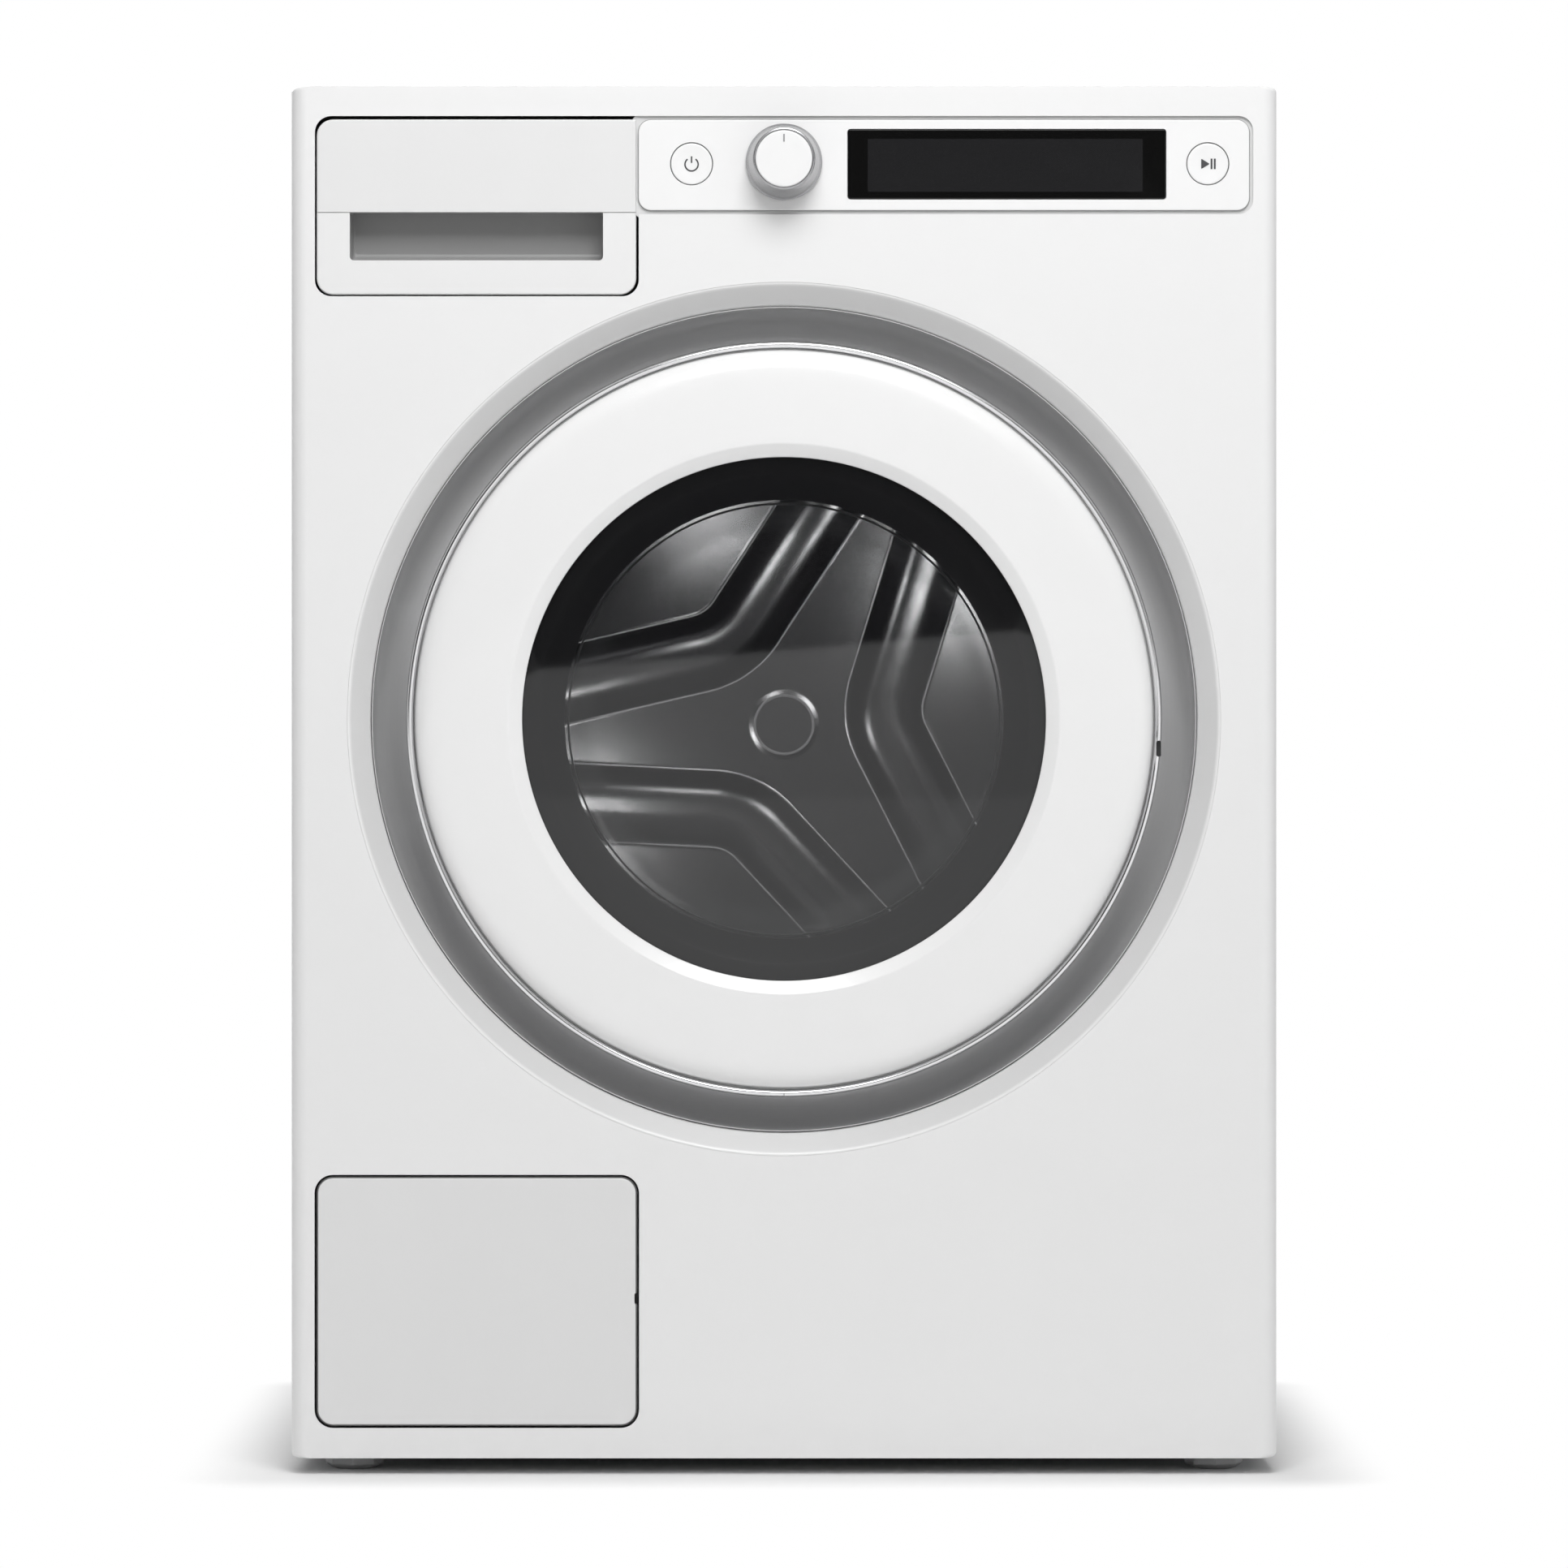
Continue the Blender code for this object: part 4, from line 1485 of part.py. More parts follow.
def dampers():
    """Friction dampers: tubes on the base, rods with pistons under the tub."""
    low = FOOT_SHOW + SHEET + SEAT
    cap, neck = DAMPER_TUBE_TOP - DAMPER_CAP, DAMPER_ROD + DAMPER_ROD_GAP
    top = DAMPER_EYE_LOW - SEAT
    for side, name in ((-1, "left"), (1, "right")):
        place = (side * DAMPER_X, depth_y(DAMPER_DEPTH))
        piece("damper_tube_" + name, GREY_PLASTIC, turned([
            (0, low), (DAMPER_TUBE, low), (DAMPER_TUBE, DAMPER_TUBE_TOP), (neck, DAMPER_TUBE_TOP), (neck, cap),
            (DAMPER_BORE, cap), (DAMPER_BORE, low + DAMPER_CAP), (0, low + DAMPER_CAP)], "Z", place, ROD_STEPS))
        piece("damper_rod_" + name, ZINC_STEEL, turned([
            (0, DAMPER_PISTON_LOW), (DAMPER_PISTON, DAMPER_PISTON_LOW), (DAMPER_PISTON, DAMPER_PISTON_HIGH),
            (DAMPER_ROD, DAMPER_PISTON_HIGH), (DAMPER_ROD, top - DAMPER_CAP), (DAMPER_PISTON, top - DAMPER_CAP),
            (DAMPER_PISTON, top), (0, top)], "Z", place, ROD_STEPS))


# Springs
SPRING_TURNS = 6
SPRING_POINTS = 8
SPRING_RADIUS = 0.0105
SPRING_WIRE = 0.0017
SPRING_TAIL = 0.018
SUMP_HOSE_STEPS = 6
SUMP_HOSE_STRAIGHT = 0.004


def suspension_springs():
    """Two tension springs between the top rail and the tub's lugs."""
    top = CABINET_TOP - TOP_THICK - SEAT - RAIL_HEIGHT - SEAT
    low = LUG_TOP + SEAT
    coil_low, coil_high = low + SPRING_TAIL, top - SPRING_TAIL
    total = SPRING_TURNS * SPRING_POINTS
    for side, name in ((-1, "left"), (1, "right")):
        x, y = side * SPRING_X, depth_y(SPRING_DEPTH)
        route = [(x, y, low), (x, y, low + SPRING_TAIL / 2)]
        for step in range(total + 1):
            turn = 2 * math.pi * step / SPRING_POINTS
            route.append((x + SPRING_RADIUS * math.cos(turn), y + SPRING_RADIUS * math.sin(turn),
                          coil_low + (coil_high - coil_low) * step / total))
        route += [(x, y, top - SPRING_TAIL / 2), (x, y, top)]
        piece("spring_" + name, ZINC_STEEL, tube_along(route, SPRING_WIRE, WIRE_SIDES))
    least = (coil_high - coil_low) / SPRING_TURNS - 2 * SPRING_WIRE
    print(f"least gap between a spring's turns: {least * 1000:.2f} mm")


def door_seal():
    """Grey rubber seal folded between the recess's mouth and the tub's lip."""
    grip = MOUTH_RADIUS - SEAT
    end = TUB_LIP_FRONT - SEAT
    fold = (SEAL_FRONT + end) / 2
    fold_share = 0.125
    step = (end - SEAL_FRONT) * fold_share
    return piece("door_seal", RUBBER_GREY, front_turned([
        (SEAL_LIP, SEAL_FRONT), (grip, SEAL_FRONT), (grip, RECESS_DEPTH + MOUTH_LIP + OVERRUN),
        (grip - step, fold), (grip - step, fold + step), (TUB_LIP + TUB_LIP_THICK, end),
        (SEAL_LIP - step, end), (SEAL_FOLD, fold + step), (SEAL_LIP - step, fold - step)]))


def tub_hoses():
    """Sump hose to the pump and dispenser hose to the tub."""
    top = Vector((SUMP_X, depth_y(SUMP_DEPTH), SUMP_LOW - SEAT))
    foot = Vector((FILTER_X, depth_y(PUMP_STUB_DEPTH), FILTER_Z + PUMP_STUB_RISE + SEAT))
    straight = Vector((0, 0, SUMP_HOSE_STRAIGHT))
    start, end = top - straight, foot + straight
    lean = Vector((0, 0, (start.z - end.z) / 2))
    route = [top]
    for step in range(SUMP_HOSE_STEPS + 1):
        share = step / SUMP_HOSE_STEPS
        rest = 1 - share
        route.append(start * rest ** 3 + (start - lean) * (3 * share * rest ** 2)
                     + (end + lean) * (3 * share ** 2 * rest) + end * share ** 3)
    route.append(foot)
    piece("sump_hose", RUBBER_BLACK, tube_along(route, HOSE_RADIUS, SMALL_STEPS))
    crown = AXIS_HEIGHT + math.sqrt(TUB_RADIUS ** 2 - DISPENSER_HOSE_X ** 2)
    place = (DISPENSER_HOSE_X, depth_y(DISPENSER_HOSE_DEPTH))
    low, high = crown + HOSE_RADIUS + SEAT, TRAY_BOTTOM - HOUSING_WALL * 2 - NIPPLE_DROP - SEAT
    piece("dispenser_hose", RUBBER_BLACK, turned(
        [(HOSE_BORE, low), (HOSE_RADIUS, low), (HOSE_RADIUS, high), (HOSE_BORE, high)], "Z", place, SMALL_STEPS))


# Counterweight
WEIGHT_LEFT = -0.060
WEIGHT_RIGHT = 0.170
WEIGHT_TOP = 0.768
WEIGHT_FRONT = 0.108
WEIGHT_BACK = 0.228
WEIGHT_BEVEL = 0.012


def counterweight():
    """Cast block that sits on the tub's crown."""
    steps = CORNER_STEPS * 3
    seat = TUB_RADIUS + SEAT
    turns = [math.degrees(math.acos(x / seat)) for x in (WEIGHT_RIGHT, WEIGHT_LEFT)]
    base = arc(0, AXIS_HEIGHT, seat / math.cos(math.pi / ROUND_STEPS), turns[0], turns[1], steps)
    shoulder = WEIGHT_TOP - WEIGHT_BEVEL
    outline = base + [Vector((base[-1].x, shoulder)), Vector((base[-1].x + WEIGHT_BEVEL, WEIGHT_TOP)),
                      Vector((base[0].x - WEIGHT_BEVEL, WEIGHT_TOP)), Vector((base[0].x, shoulder))]
    return piece("counterweight", CAST_IRON, prism(outline, depth_y(WEIGHT_FRONT), depth_y(WEIGHT_BACK), "Y"))


def clear_scene():
    """Remove every object of the scene."""
    for item in list(bpy.data.objects):
        bpy.data.objects.remove(item)


def main():
    """Build the machine, from the cabinet inwards."""
    clear_scene()
    front_panel()
    for side in (-1, 1):
        side_panel(side)
    rear_panel()
    rear_cover()
    top_panel()
    base_tray()
    spring_rail()
    feet()
    rear_fittings()
    control_fascia()
    display_window()
    control_board()
    buttons()
    program_knob()
    detergent_drawer()
    dispenser_housing()
    service_flap()
    flap_frame()
    pump()
    door_surround()
    hinge_bracket()
    door_lock()
    door()
    door_seal()
    tub_front()
    tub_rear()
    heating_element()
    bearings()
    drum()
    drive()
    dampers()
    suspension_springs()
    tub_hoses()
    counterweight()


main()
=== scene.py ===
"""Dressed model of a front-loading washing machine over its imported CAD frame.

Metres, +Z up. The front faces -Y and the door's axis runs front to back.
Depths are measured back from the outer face of the front panel.
"""

import json
import logging
import math
from collections.abc import Sequence
from dataclasses import dataclass
from enum import Enum
from typing import Any

import bmesh
import bpy
from mathutils import Matrix, Vector

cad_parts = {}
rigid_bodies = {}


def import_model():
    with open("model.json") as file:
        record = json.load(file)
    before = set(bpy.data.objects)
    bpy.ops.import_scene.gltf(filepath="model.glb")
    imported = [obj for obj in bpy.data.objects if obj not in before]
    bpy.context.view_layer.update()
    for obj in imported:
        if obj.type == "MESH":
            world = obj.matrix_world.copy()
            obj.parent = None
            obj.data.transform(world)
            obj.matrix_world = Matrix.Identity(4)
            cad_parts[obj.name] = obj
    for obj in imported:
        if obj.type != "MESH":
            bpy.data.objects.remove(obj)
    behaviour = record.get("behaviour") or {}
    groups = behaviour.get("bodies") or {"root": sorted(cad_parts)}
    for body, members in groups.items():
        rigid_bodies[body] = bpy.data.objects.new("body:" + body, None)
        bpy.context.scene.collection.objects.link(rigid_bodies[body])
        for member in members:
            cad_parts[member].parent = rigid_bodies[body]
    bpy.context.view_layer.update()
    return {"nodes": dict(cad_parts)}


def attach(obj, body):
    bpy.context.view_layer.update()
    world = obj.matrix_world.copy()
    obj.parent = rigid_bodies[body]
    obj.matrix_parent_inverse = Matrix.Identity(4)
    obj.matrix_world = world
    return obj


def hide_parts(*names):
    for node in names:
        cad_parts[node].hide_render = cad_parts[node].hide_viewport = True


for leftover in list(bpy.data.objects):
    bpy.data.objects.remove(leftover, do_unlink=True)

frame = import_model()

LOG = logging.getLogger("washing_machine")

Pair = tuple[float, float]
Triple = tuple[float, float, float]
Corner = tuple[float, float, float]

FRONT_Y = -0.275
AXIS_Z = 0.4594
HALF_WIDTH = 0.300
CABINET_TOP = 0.844
CABINET_DEPTH = 0.560
FLOOR_GAP = 0.010
SHEET = 0.0012
SHELL_FRONT = 0.0243
SHELL_TOP = 0.8282
COVER_BASE = 0.5603
BUTTON_Z = 0.7969
KNOB_Z = 0.7979
OVERRUN = 0.002
ROUND_STEPS = 192
SMOOTH_ANGLE = math.radians(34)
MERGE = 0.000002


def depth_y(depth: float) -> float:
    """World Y of a depth behind the front panel's face."""
    return FRONT_Y + depth


def about_axis(radius: float, angle: float, depth: float) -> Triple:
    """A point at an angle about the door's axis."""
    return radius * math.cos(angle), depth_y(depth), AXIS_Z + radius * math.sin(angle)


def smooth(share: float) -> float:
    """Smooth step from 0 to 1, held at both ends."""
    held = min(1.0, max(0.0, share))
    return held * held * (3 - 2 * held)


# Node trees written as expressions


@dataclass(frozen=True)
class Signal:
    """One output of a node tree, on which Python operators add Math nodes.

    Attributes:
        graph: The tree that the output belongs to.
        socket: The output itself.
    """

    graph: "Graph"
    socket: bpy.types.NodeSocket

    def math(self, operation: str, *terms: Any) -> "Signal":
        """Result of a Math node over the terms."""
        return self.graph.node("ShaderNodeMath", {"operation": operation}, dict(enumerate(terms)))

    def __add__(self, other: Any) -> "Signal":
        """Sum with a value on the right."""
        return self.math("ADD", self, other)

    def __radd__(self, other: Any) -> "Signal":
        """Sum with a value on the left."""
        return self.math("ADD", other, self)

    def __sub__(self, other: Any) -> "Signal":
        """This less a value."""
        return self.math("SUBTRACT", self, other)

    def __rsub__(self, other: Any) -> "Signal":
        """A value less this."""
        return self.math("SUBTRACT", other, self)

    def __mul__(self, other: Any) -> "Signal":
        """Product with a value on the right."""
        return self.math("MULTIPLY", self, other)

    def __rmul__(self, other: Any) -> "Signal":
        """Product with a value on the left."""
        return self.math("MULTIPLY", other, self)

    def __truediv__(self, other: Any) -> "Signal":
        """This divided by a value."""
        return self.math("DIVIDE", self, other)

    def __pow__(self, other: Any) -> "Signal":
        """This raised to a power."""
        return self.math("POWER", self, other)

    def __abs__(self) -> "Signal":
        """Size without its sign."""
        return self.math("ABSOLUTE", self)

    def sine(self) -> "Signal":
        """Sine, in radians."""
        return self.math("SINE", self)

    def cosine(self) -> "Signal":
        """Cosine, in radians."""
        return self.math("COSINE", self)

    def least(self, other: Any) -> "Signal":
        """The smaller of this and another value."""
        return self.math("MINIMUM", self, other)

    def most(self, other: Any) -> "Signal":
        """The larger of this and another value."""
        return self.math("MAXIMUM", self, other)

    def eased(self, low: float, high: float) -> "Signal":
        """Smooth step from 0 at low to 1 at high."""
        return self.graph.node("ShaderNodeMapRange", {"interpolation_type": "SMOOTHSTEP"},
                               {"Value": self, "From Min": low, "From Max": high})

    def within(self, low: float, high: float, soft: float) -> "Signal":
        """1 between two levels and 0 outside, over a soft edge."""
        return self.eased(low - soft, low + soft) * (1 - self.eased(high - soft, high + soft))


class Graph:
    """A node tree and the one method that adds nodes to it."""

    def __init__(self, tree: bpy.types.NodeTree) -> None:
        """Holds the tree."""
        self.tree = tree

    def node(self, kind: str, settings: dict[str, Any] | None = None,
             values: dict[int | str, Any] | None = None, output: int | str | None = 0) -> Any:
        """Adds a node.

        Args:
            kind: The node's type.
            settings: Properties, set first; "stops" gives a ramp its (place, grey) pairs.
            values: Numbers or signals for the inputs, by name or index.
            output: The output wanted, or None for a node that has none.

        Returns:
            The output as a Signal, or None.
        """
        made = self.tree.nodes.new(kind)
        for name, setting in (settings or {}).items():
            if name == "stops":
                self.set_stops(made.color_ramp, setting)
            else:
                setattr(made, name, setting)
        for key, value in (values or {}).items():
            target = made.inputs[key]
            if isinstance(value, Signal):
                self.tree.links.new(value.socket, target)
            else:
                target.default_value = value
        return None if output is None else Signal(self, made.outputs[output])

    @staticmethod
    def set_stops(ramp: bpy.types.ColorRamp, stops: Sequence[Pair]) -> None:
        """Gives a ramp its grey stops.

        Args:
            ramp: The ramp to fill.
            stops: (place, grey) pairs in order.
        """
        while len(ramp.elements) < len(stops):
            ramp.elements.new(1.0)
        for element, (place, grey) in zip(ramp.elements, stops):
            element.position = place
            element.color = (grey, grey, grey, 1.0)

    def vector(self, x: Any, y: Any, z: Any) -> Signal:
        """Vector from three values."""
        return self.node("ShaderNodeCombineXYZ", {}, {0: x, 1: y, 2: z})

    def axes(self, place: Signal) -> tuple[Signal, Signal, Signal]:
        """The three components of a vector.

        Args:
            place: The vector.

        Returns:
            Its x, y and z.
        """
        first = self.node("ShaderNodeSeparateXYZ", {}, {0: place})
        outputs = first.socket.node.outputs
        return first, Signal(self, outputs[1]), Signal(self, outputs[2])

    def rays(self) -> tuple[Signal, Signal, Signal]:
        """1 for a ray from the camera, for a reflected ray and for one that has passed through glass."""
        camera = self.node("ShaderNodeLightPath", output="Is Camera Ray")
        outputs = camera.socket.node.outputs
        return camera, Signal(self, outputs["Is Glossy Ray"]), Signal(self, outputs["Is Transmission Ray"])


class Shader(Graph):
    """A material whose nodes are written as expressions on its Object coordinates."""

    def __init__(self, name: str) -> None:
        """Starts an empty material.

        Args:
            name: The material's name.
        """
        self.material = bpy.data.materials.new(name)
        self.material.use_nodes = True
        super().__init__(self.material.node_tree)
        self.tree.nodes.clear()
        self.place = self.node("ShaderNodeTexCoord", output="Object")

    def stretched(self, scale: Triple, centre: Triple = (0.0, 0.0, 0.0)) -> Signal:
        """Object coordinates about a centre, scaled along each axis.

        Args:
            scale: Scale along each axis.
            centre: The point that they are measured from.

        Returns:
            The coordinates.
        """
        about = self.node("ShaderNodeMapping", {"vector_type": "TEXTURE"},
                          {"Vector": self.place, "Location": centre})
        return self.node("ShaderNodeVectorMath", {"operation": "MULTIPLY"}, {0: about, 1: scale})

    def noise(self, scale: float, detail: float, place: Signal | None = None) -> Signal:
        """Noise from 0 to 1.

        Args:
            scale: Cells in a metre.
            detail: Octaves of finer noise.
            place: The coordinates, or None for the object's own.

        Returns:
            The noise.
        """
        return self.node("ShaderNodeTexNoise", {},
                         {"Vector": place or self.place, "Scale": scale, "Detail": detail})

    def cells(self, scale: float, output: str = "Color") -> Signal:
        """Voronoi cells, as a colour per cell or a distance."""
        return self.node("ShaderNodeTexVoronoi", {}, {"Vector": self.place, "Scale": scale}, output)

    def blend(self, share: Any, first: Any, second: Any) -> Signal:
        """Colour between two colours."""
        return self.node("ShaderNodeMix", {"data_type": "RGBA"}, {0: share, 6: first, 7: second}, 2)

    def bump(self, height: Any, distance: float) -> Signal:
        """Normal bent by a height, in metres at its full value."""
        return self.node("ShaderNodeBump", {}, {"Height": height, "Distance": distance})

    def surface(self, sockets: dict[str, Any]) -> bpy.types.Material:
        """Closes the material with a Principled shader.

        Args:
            sockets: Values or signals for the shader's sockets, by name.

        Returns:
            The finished material.
        """
        shade = self.node("ShaderNodeBsdfPrincipled", {}, sockets)
        self.node("ShaderNodeOutputMaterial", {}, {"Surface": shade}, None)
        return self.material


def opaque(colour: Triple) -> tuple[float, float, float, float]:
    """Colour with full alpha."""
    return (*colour, 1.0)


def scaled(colour: Triple, share: float) -> tuple[float, float, float, float]:
    """Colour times a share, with full alpha."""
    return opaque(tuple(min(1.0, channel * share) for channel in colour))


# Finishes


@dataclass(frozen=True)
class Finish:
    """Colour and gloss that every finish starts from, with a fine relief.

    Attributes:
        name: The material's name.
        colour: Mean base colour.
        roughness: Mean roughness.
        metallic: 1 for bare metal.
        drift: Share by which the colour varies.
        drift_scale: Patches of colour in a metre.
        grain: Grains in a metre.
        relief: Height of the grain, in metres.
        gloss_drift: How far the roughness varies.
        coat: Weight of a clear coat.
    """

    name: str
    colour: Triple
    roughness: float
    metallic: float = 0.0
    drift: float = 0.03
    drift_scale: float = 7.0
    grain: float = 900.0
    relief: float = 0.00002
    gloss_drift: float = 0.05
    coat: float = 0.0

    def tone(self, shader: Shader) -> Signal:
        """Slow drift of the colour, 0 to 1."""
        return shader.noise(self.drift_scale, 3.0)

    def texture(self, shader: Shader) -> Signal:
        """Height of the fine relief, 0 to 1."""
        return shader.noise(self.grain, 2.0)

    def sockets(self, shader: Shader) -> dict[str, Any]:
        """Values of the shader's sockets.

        Args:
            shader: The material being written.

        Returns:
            Values or signals by socket name.
        """
        tone, texture = self.tone(shader), self.texture(shader)
        low, high = scaled(self.colour, 1 - self.drift), scaled(self.colour, 1 + self.drift)
        return {
            "Base Color": shader.blend(tone, low, high),
            "Roughness": (self.roughness + (tone - 0.5) * self.gloss_drift
                          + (texture - 0.5) * self.gloss_drift),
            "Metallic": self.metallic,
            "Coat Weight": self.coat,
            "Normal": shader.bump(texture, self.relief),
        }

    def material(self) -> bpy.types.Material:
        """The finish as a new material."""
        shader = Shader(self.name)
        return shader.surface(self.sockets(shader))


@dataclass(frozen=True)
class Enamel(Finish):
    """Baked paint on sheet steel, with orange peel and a little dust low down.

    Attributes:
        peel: Cells of the orange peel in a metre.
        dust_height: Height up to which dust lies.
    """

    peel: float = 260.0
    dust_height: float = 0.05

    def texture(self, shader: Shader) -> Signal:
        """Orange peel over a faint long wave of the pressing."""
        return shader.noise(self.peel, 1.0) * 0.7 + shader.noise(11.0, 1.0) * 0.3

    def sockets(self, shader: Shader) -> dict[str, Any]:
        """Adds a faint grey film of dust near the floor.

        Args:
            shader: The material being written.

        Returns:
            Values or signals by socket name.
        """
        sockets = super().sockets(shader)
        _, _, z = shader.axes(shader.place)
        film = (1 - z.eased(0.0, self.dust_height)) * shader.noise(60.0, 4.0) * 0.25
        sockets["Base Color"] = shader.blend(film, sockets["Base Color"], scaled(self.colour, 0.75))
        return sockets


@dataclass(frozen=True)
class DishShaded(Enamel):
    """Enamel with painted shade in the pressed dish round the door and in the seams at both sides.

    Attributes:
        dish: Share of the colour left in the dish, as painted shade.
        reach: Radius within which the dish lies.
        seam: Share of the colour left in the seams, as painted shade.
        edge: Distance from the middle where the seams start.
    """

    dish: float = 0.80
    reach: float = 0.285
    seam: float = 0.50
    edge: float = 0.2984

    def sockets(self, shader: Shader) -> dict[str, Any]:
        """Adds the painted shade of the dish and the seams.

        Args:
            shader: The material being written.

        Returns:
            Values or signals by socket name.
        """
        sockets = super().sockets(shader)
        x, y, z = shader.axes(shader.place)
        radius = (x ** 2.0 + (z - AXIS_Z) ** 2.0) ** 0.5
        # Painted shade: darker deep in the dish round the door and in the gaps against the sides.
        deep = y.eased(depth_y(0.0002), depth_y(0.0016)) * (1 - radius.eased(self.reach, self.reach + 0.001))
        seam = abs(x).eased(self.edge, self.edge + 0.0008) * (1 - y.eased(depth_y(0.0025), depth_y(0.0032)))
        dished = shader.blend(deep, sockets["Base Color"], scaled(self.colour, self.dish))
        sockets["Base Color"] = shader.blend(seam, dished, scaled(self.colour, self.seam))
        return sockets


@dataclass(frozen=True)
class Moulded(Finish):
    """Moulded plastic with a spark-eroded grain and faint flow marks.

    Attributes:
        flow: Flow marks in a metre.
    """

    flow: float = 35.0

    def texture(self, shader: Shader) -> Signal:
        """Eroded grain, broken by pits."""
        return shader.noise(self.grain, 3.0) * 0.8 + shader.noise(self.grain * 3, 1.0) * 0.2

    def tone(self, shader: Shader) -> Signal:
        """Flow marks drawn out across the part."""
        return shader.noise(1.0, 3.0, shader.stretched((self.flow, self.flow, self.flow * 0.2)))


@dataclass(frozen=True)
class RecessShaded(Moulded):
    """White plastic with painted shade where it lies deep and in a thin line at a height, and greyer above
    that height.

    Attributes:
        recess: Share of the colour left where it lies deep, as painted shade.
        near: Depth where it starts to darken.
        far: Depth where it is darkest.
        end: Depth behind which it is white again.
        line: Height above which it is greyer.
        above: Share of the colour left above that height.
        seam: Share of the colour left in the thin line at that height, as painted shade in the groove.
        area: Left, right, low and high edges of where it may darken.
    """

    recess: float = 0.40
    near: float = 0.0012
    far: float = 0.0060
    end: float = 0.0230
    line: float = 0.7673
    above: float = 0.95
    seam: float = 0.60
    area: tuple[float, float, float, float] = (-1.0, 1.0, 0.0, 1.0)

    def sockets(self, shader: Shader) -> dict[str, Any]:
        """Adds the painted shade of the deep places and of the line, and the grey of the part above the line.

        Args:
            shader: The material being written.

        Returns:
            Values or signals by socket name.
        """
        made = super().sockets(shader)
        x, y, z = shader.axes(shader.place)
        left, right, low, high = self.area
        # Painted shade where the surface lies deep in a recess or gap.
        deep = x.within(left, right, 0.0001) * z.within(low, high, 0.0001)
        deep = deep * y.eased(depth_y(self.near), depth_y(self.far))
        deep = deep * (1 - y.eased(depth_y(self.end - 0.0005), depth_y(self.end + 0.0005)))
        upper = z.eased(self.line - 0.0002, self.line + 0.0002)
        shade = shader.blend(upper, (1.0, 1.0, 1.0, 1.0), opaque((self.above, self.above, self.above)))
        # Painted shade in the groove at the line.
        seam = z.within(self.line - 0.0003, self.line + 0.0003, 0.0001)
        shade = shader.blend(seam, shade, opaque((self.seam, self.seam, self.seam)))
        shade = shader.blend(deep, shade, opaque((self.recess, self.recess, self.recess)))
        tinted = shader.node("ShaderNodeMix", {"data_type": "RGBA", "blend_type": "MULTIPLY"},
                             {0: 1.0, 6: made["Base Color"], 7: shade}, 2)
        return {**made, "Base Color": tinted}


@dataclass(frozen=True)
class Brushed(Finish):
    """Bare metal with fine lines drawn round a centre or along one axis.

    Attributes:
        lines: Lines in a metre along each axis.
        centre: Point that turned lines run round.
        turned: Whether the lines run round the centre.
    """

    lines: Triple = (900.0, 30.0, 30.0)
    centre: Triple = (0.0, 0.0, 0.0)
    turned: bool = False

    def texture(self, shader: Shader) -> Signal:
        """Fine lines, round the centre where the piece was turned.

        Args:
            shader: The material being written.

        Returns:
            The height of the lines, 0 to 1.
        """
        if not self.turned:
            return shader.noise(1.0, 2.0, shader.stretched(self.lines, self.centre))
        x, y, z = shader.axes(shader.stretched((1.0, 1.0, 1.0), self.centre))
        radius = (x * x + z * z) ** 0.5
        return shader.noise(1.0, 2.0, shader.vector(radius * self.lines[0], y * self.lines[0], 0.0))

    def tone(self, shader: Shader) -> Signal:
        """Lines and soft cloudy patches together."""
        return self.texture(shader) * 0.5 + shader.noise(self.drift_scale, 4.0) * 0.5


@dataclass(frozen=True)
class Spangled(Finish):
    """Galvanised sheet whose zinc crystals differ in shade and gloss.

    Attributes:
        spangle: Crystals in a metre.
    """

    spangle: float = 85.0

    def tone(self, shader: Shader) -> Signal:
        """A shade for each crystal."""
        red, _, _ = shader.axes(shader.cells(self.spangle))
        return red * 0.75 + shader.noise(30.0, 4.0) * 0.25


@dataclass(frozen=True)
class Cast(Finish):
    """Sand-cast metal with a coarse skin."""

    def texture(self, shader: Shader) -> Signal:
        """Sand grains over swells."""
        grains = shader.cells(self.grain, "Distance")
        return grains * 0.6 + shader.noise(self.grain * 0.4, 4.0) * 0.4


@dataclass(frozen=True)
class Rubber(Finish):
    """Matt rubber with a pale bloom.

    Attributes:
        bloom: Weight of the pale film.
    """

    bloom: float = 0.35

    def sockets(self, shader: Shader) -> dict[str, Any]:
        """Adds the bloom as a lighter film in patches.

        Args:
            shader: The material being written.

        Returns:
            Values or signals by socket name.
        """
        sockets = super().sockets(shader)
        film = shader.noise(22.0, 5.0).eased(0.45, 0.75) * self.bloom
        sockets["Base Color"] = shader.blend(film, sockets["Base Color"], scaled(self.colour, 1.7))
        return sockets


@dataclass(frozen=True)
class Glass(Finish):
    """Glass that light passes straight through, clearer face on than at its edges.

    Attributes:
        cover: Opacity seen face on.
        edge_cover: Opacity at a grazing angle.
        index: Refractive index.
    """

    cover: float = 0.4
    edge_cover: float = 0.9
    index: float = 1.5

    def sockets(self, shader: Shader) -> dict[str, Any]:
        """Adds the opacity and faint smears in the gloss.

        Args:
            shader: The material being written.

        Returns:
            Values or signals by socket name.
        """
        sockets = super().sockets(shader)
        facing = shader.node("ShaderNodeLayerWeight", {}, {"Blend": 0.35}, "Facing")
        sockets["Alpha"] = self.cover + (facing ** 3.0) * (self.edge_cover - self.cover)
        sockets["Roughness"] = self.roughness + shader.noise(14.0, 5.0).eased(0.55, 0.8) * self.gloss_drift
        sockets["IOR"] = self.index
        return sockets


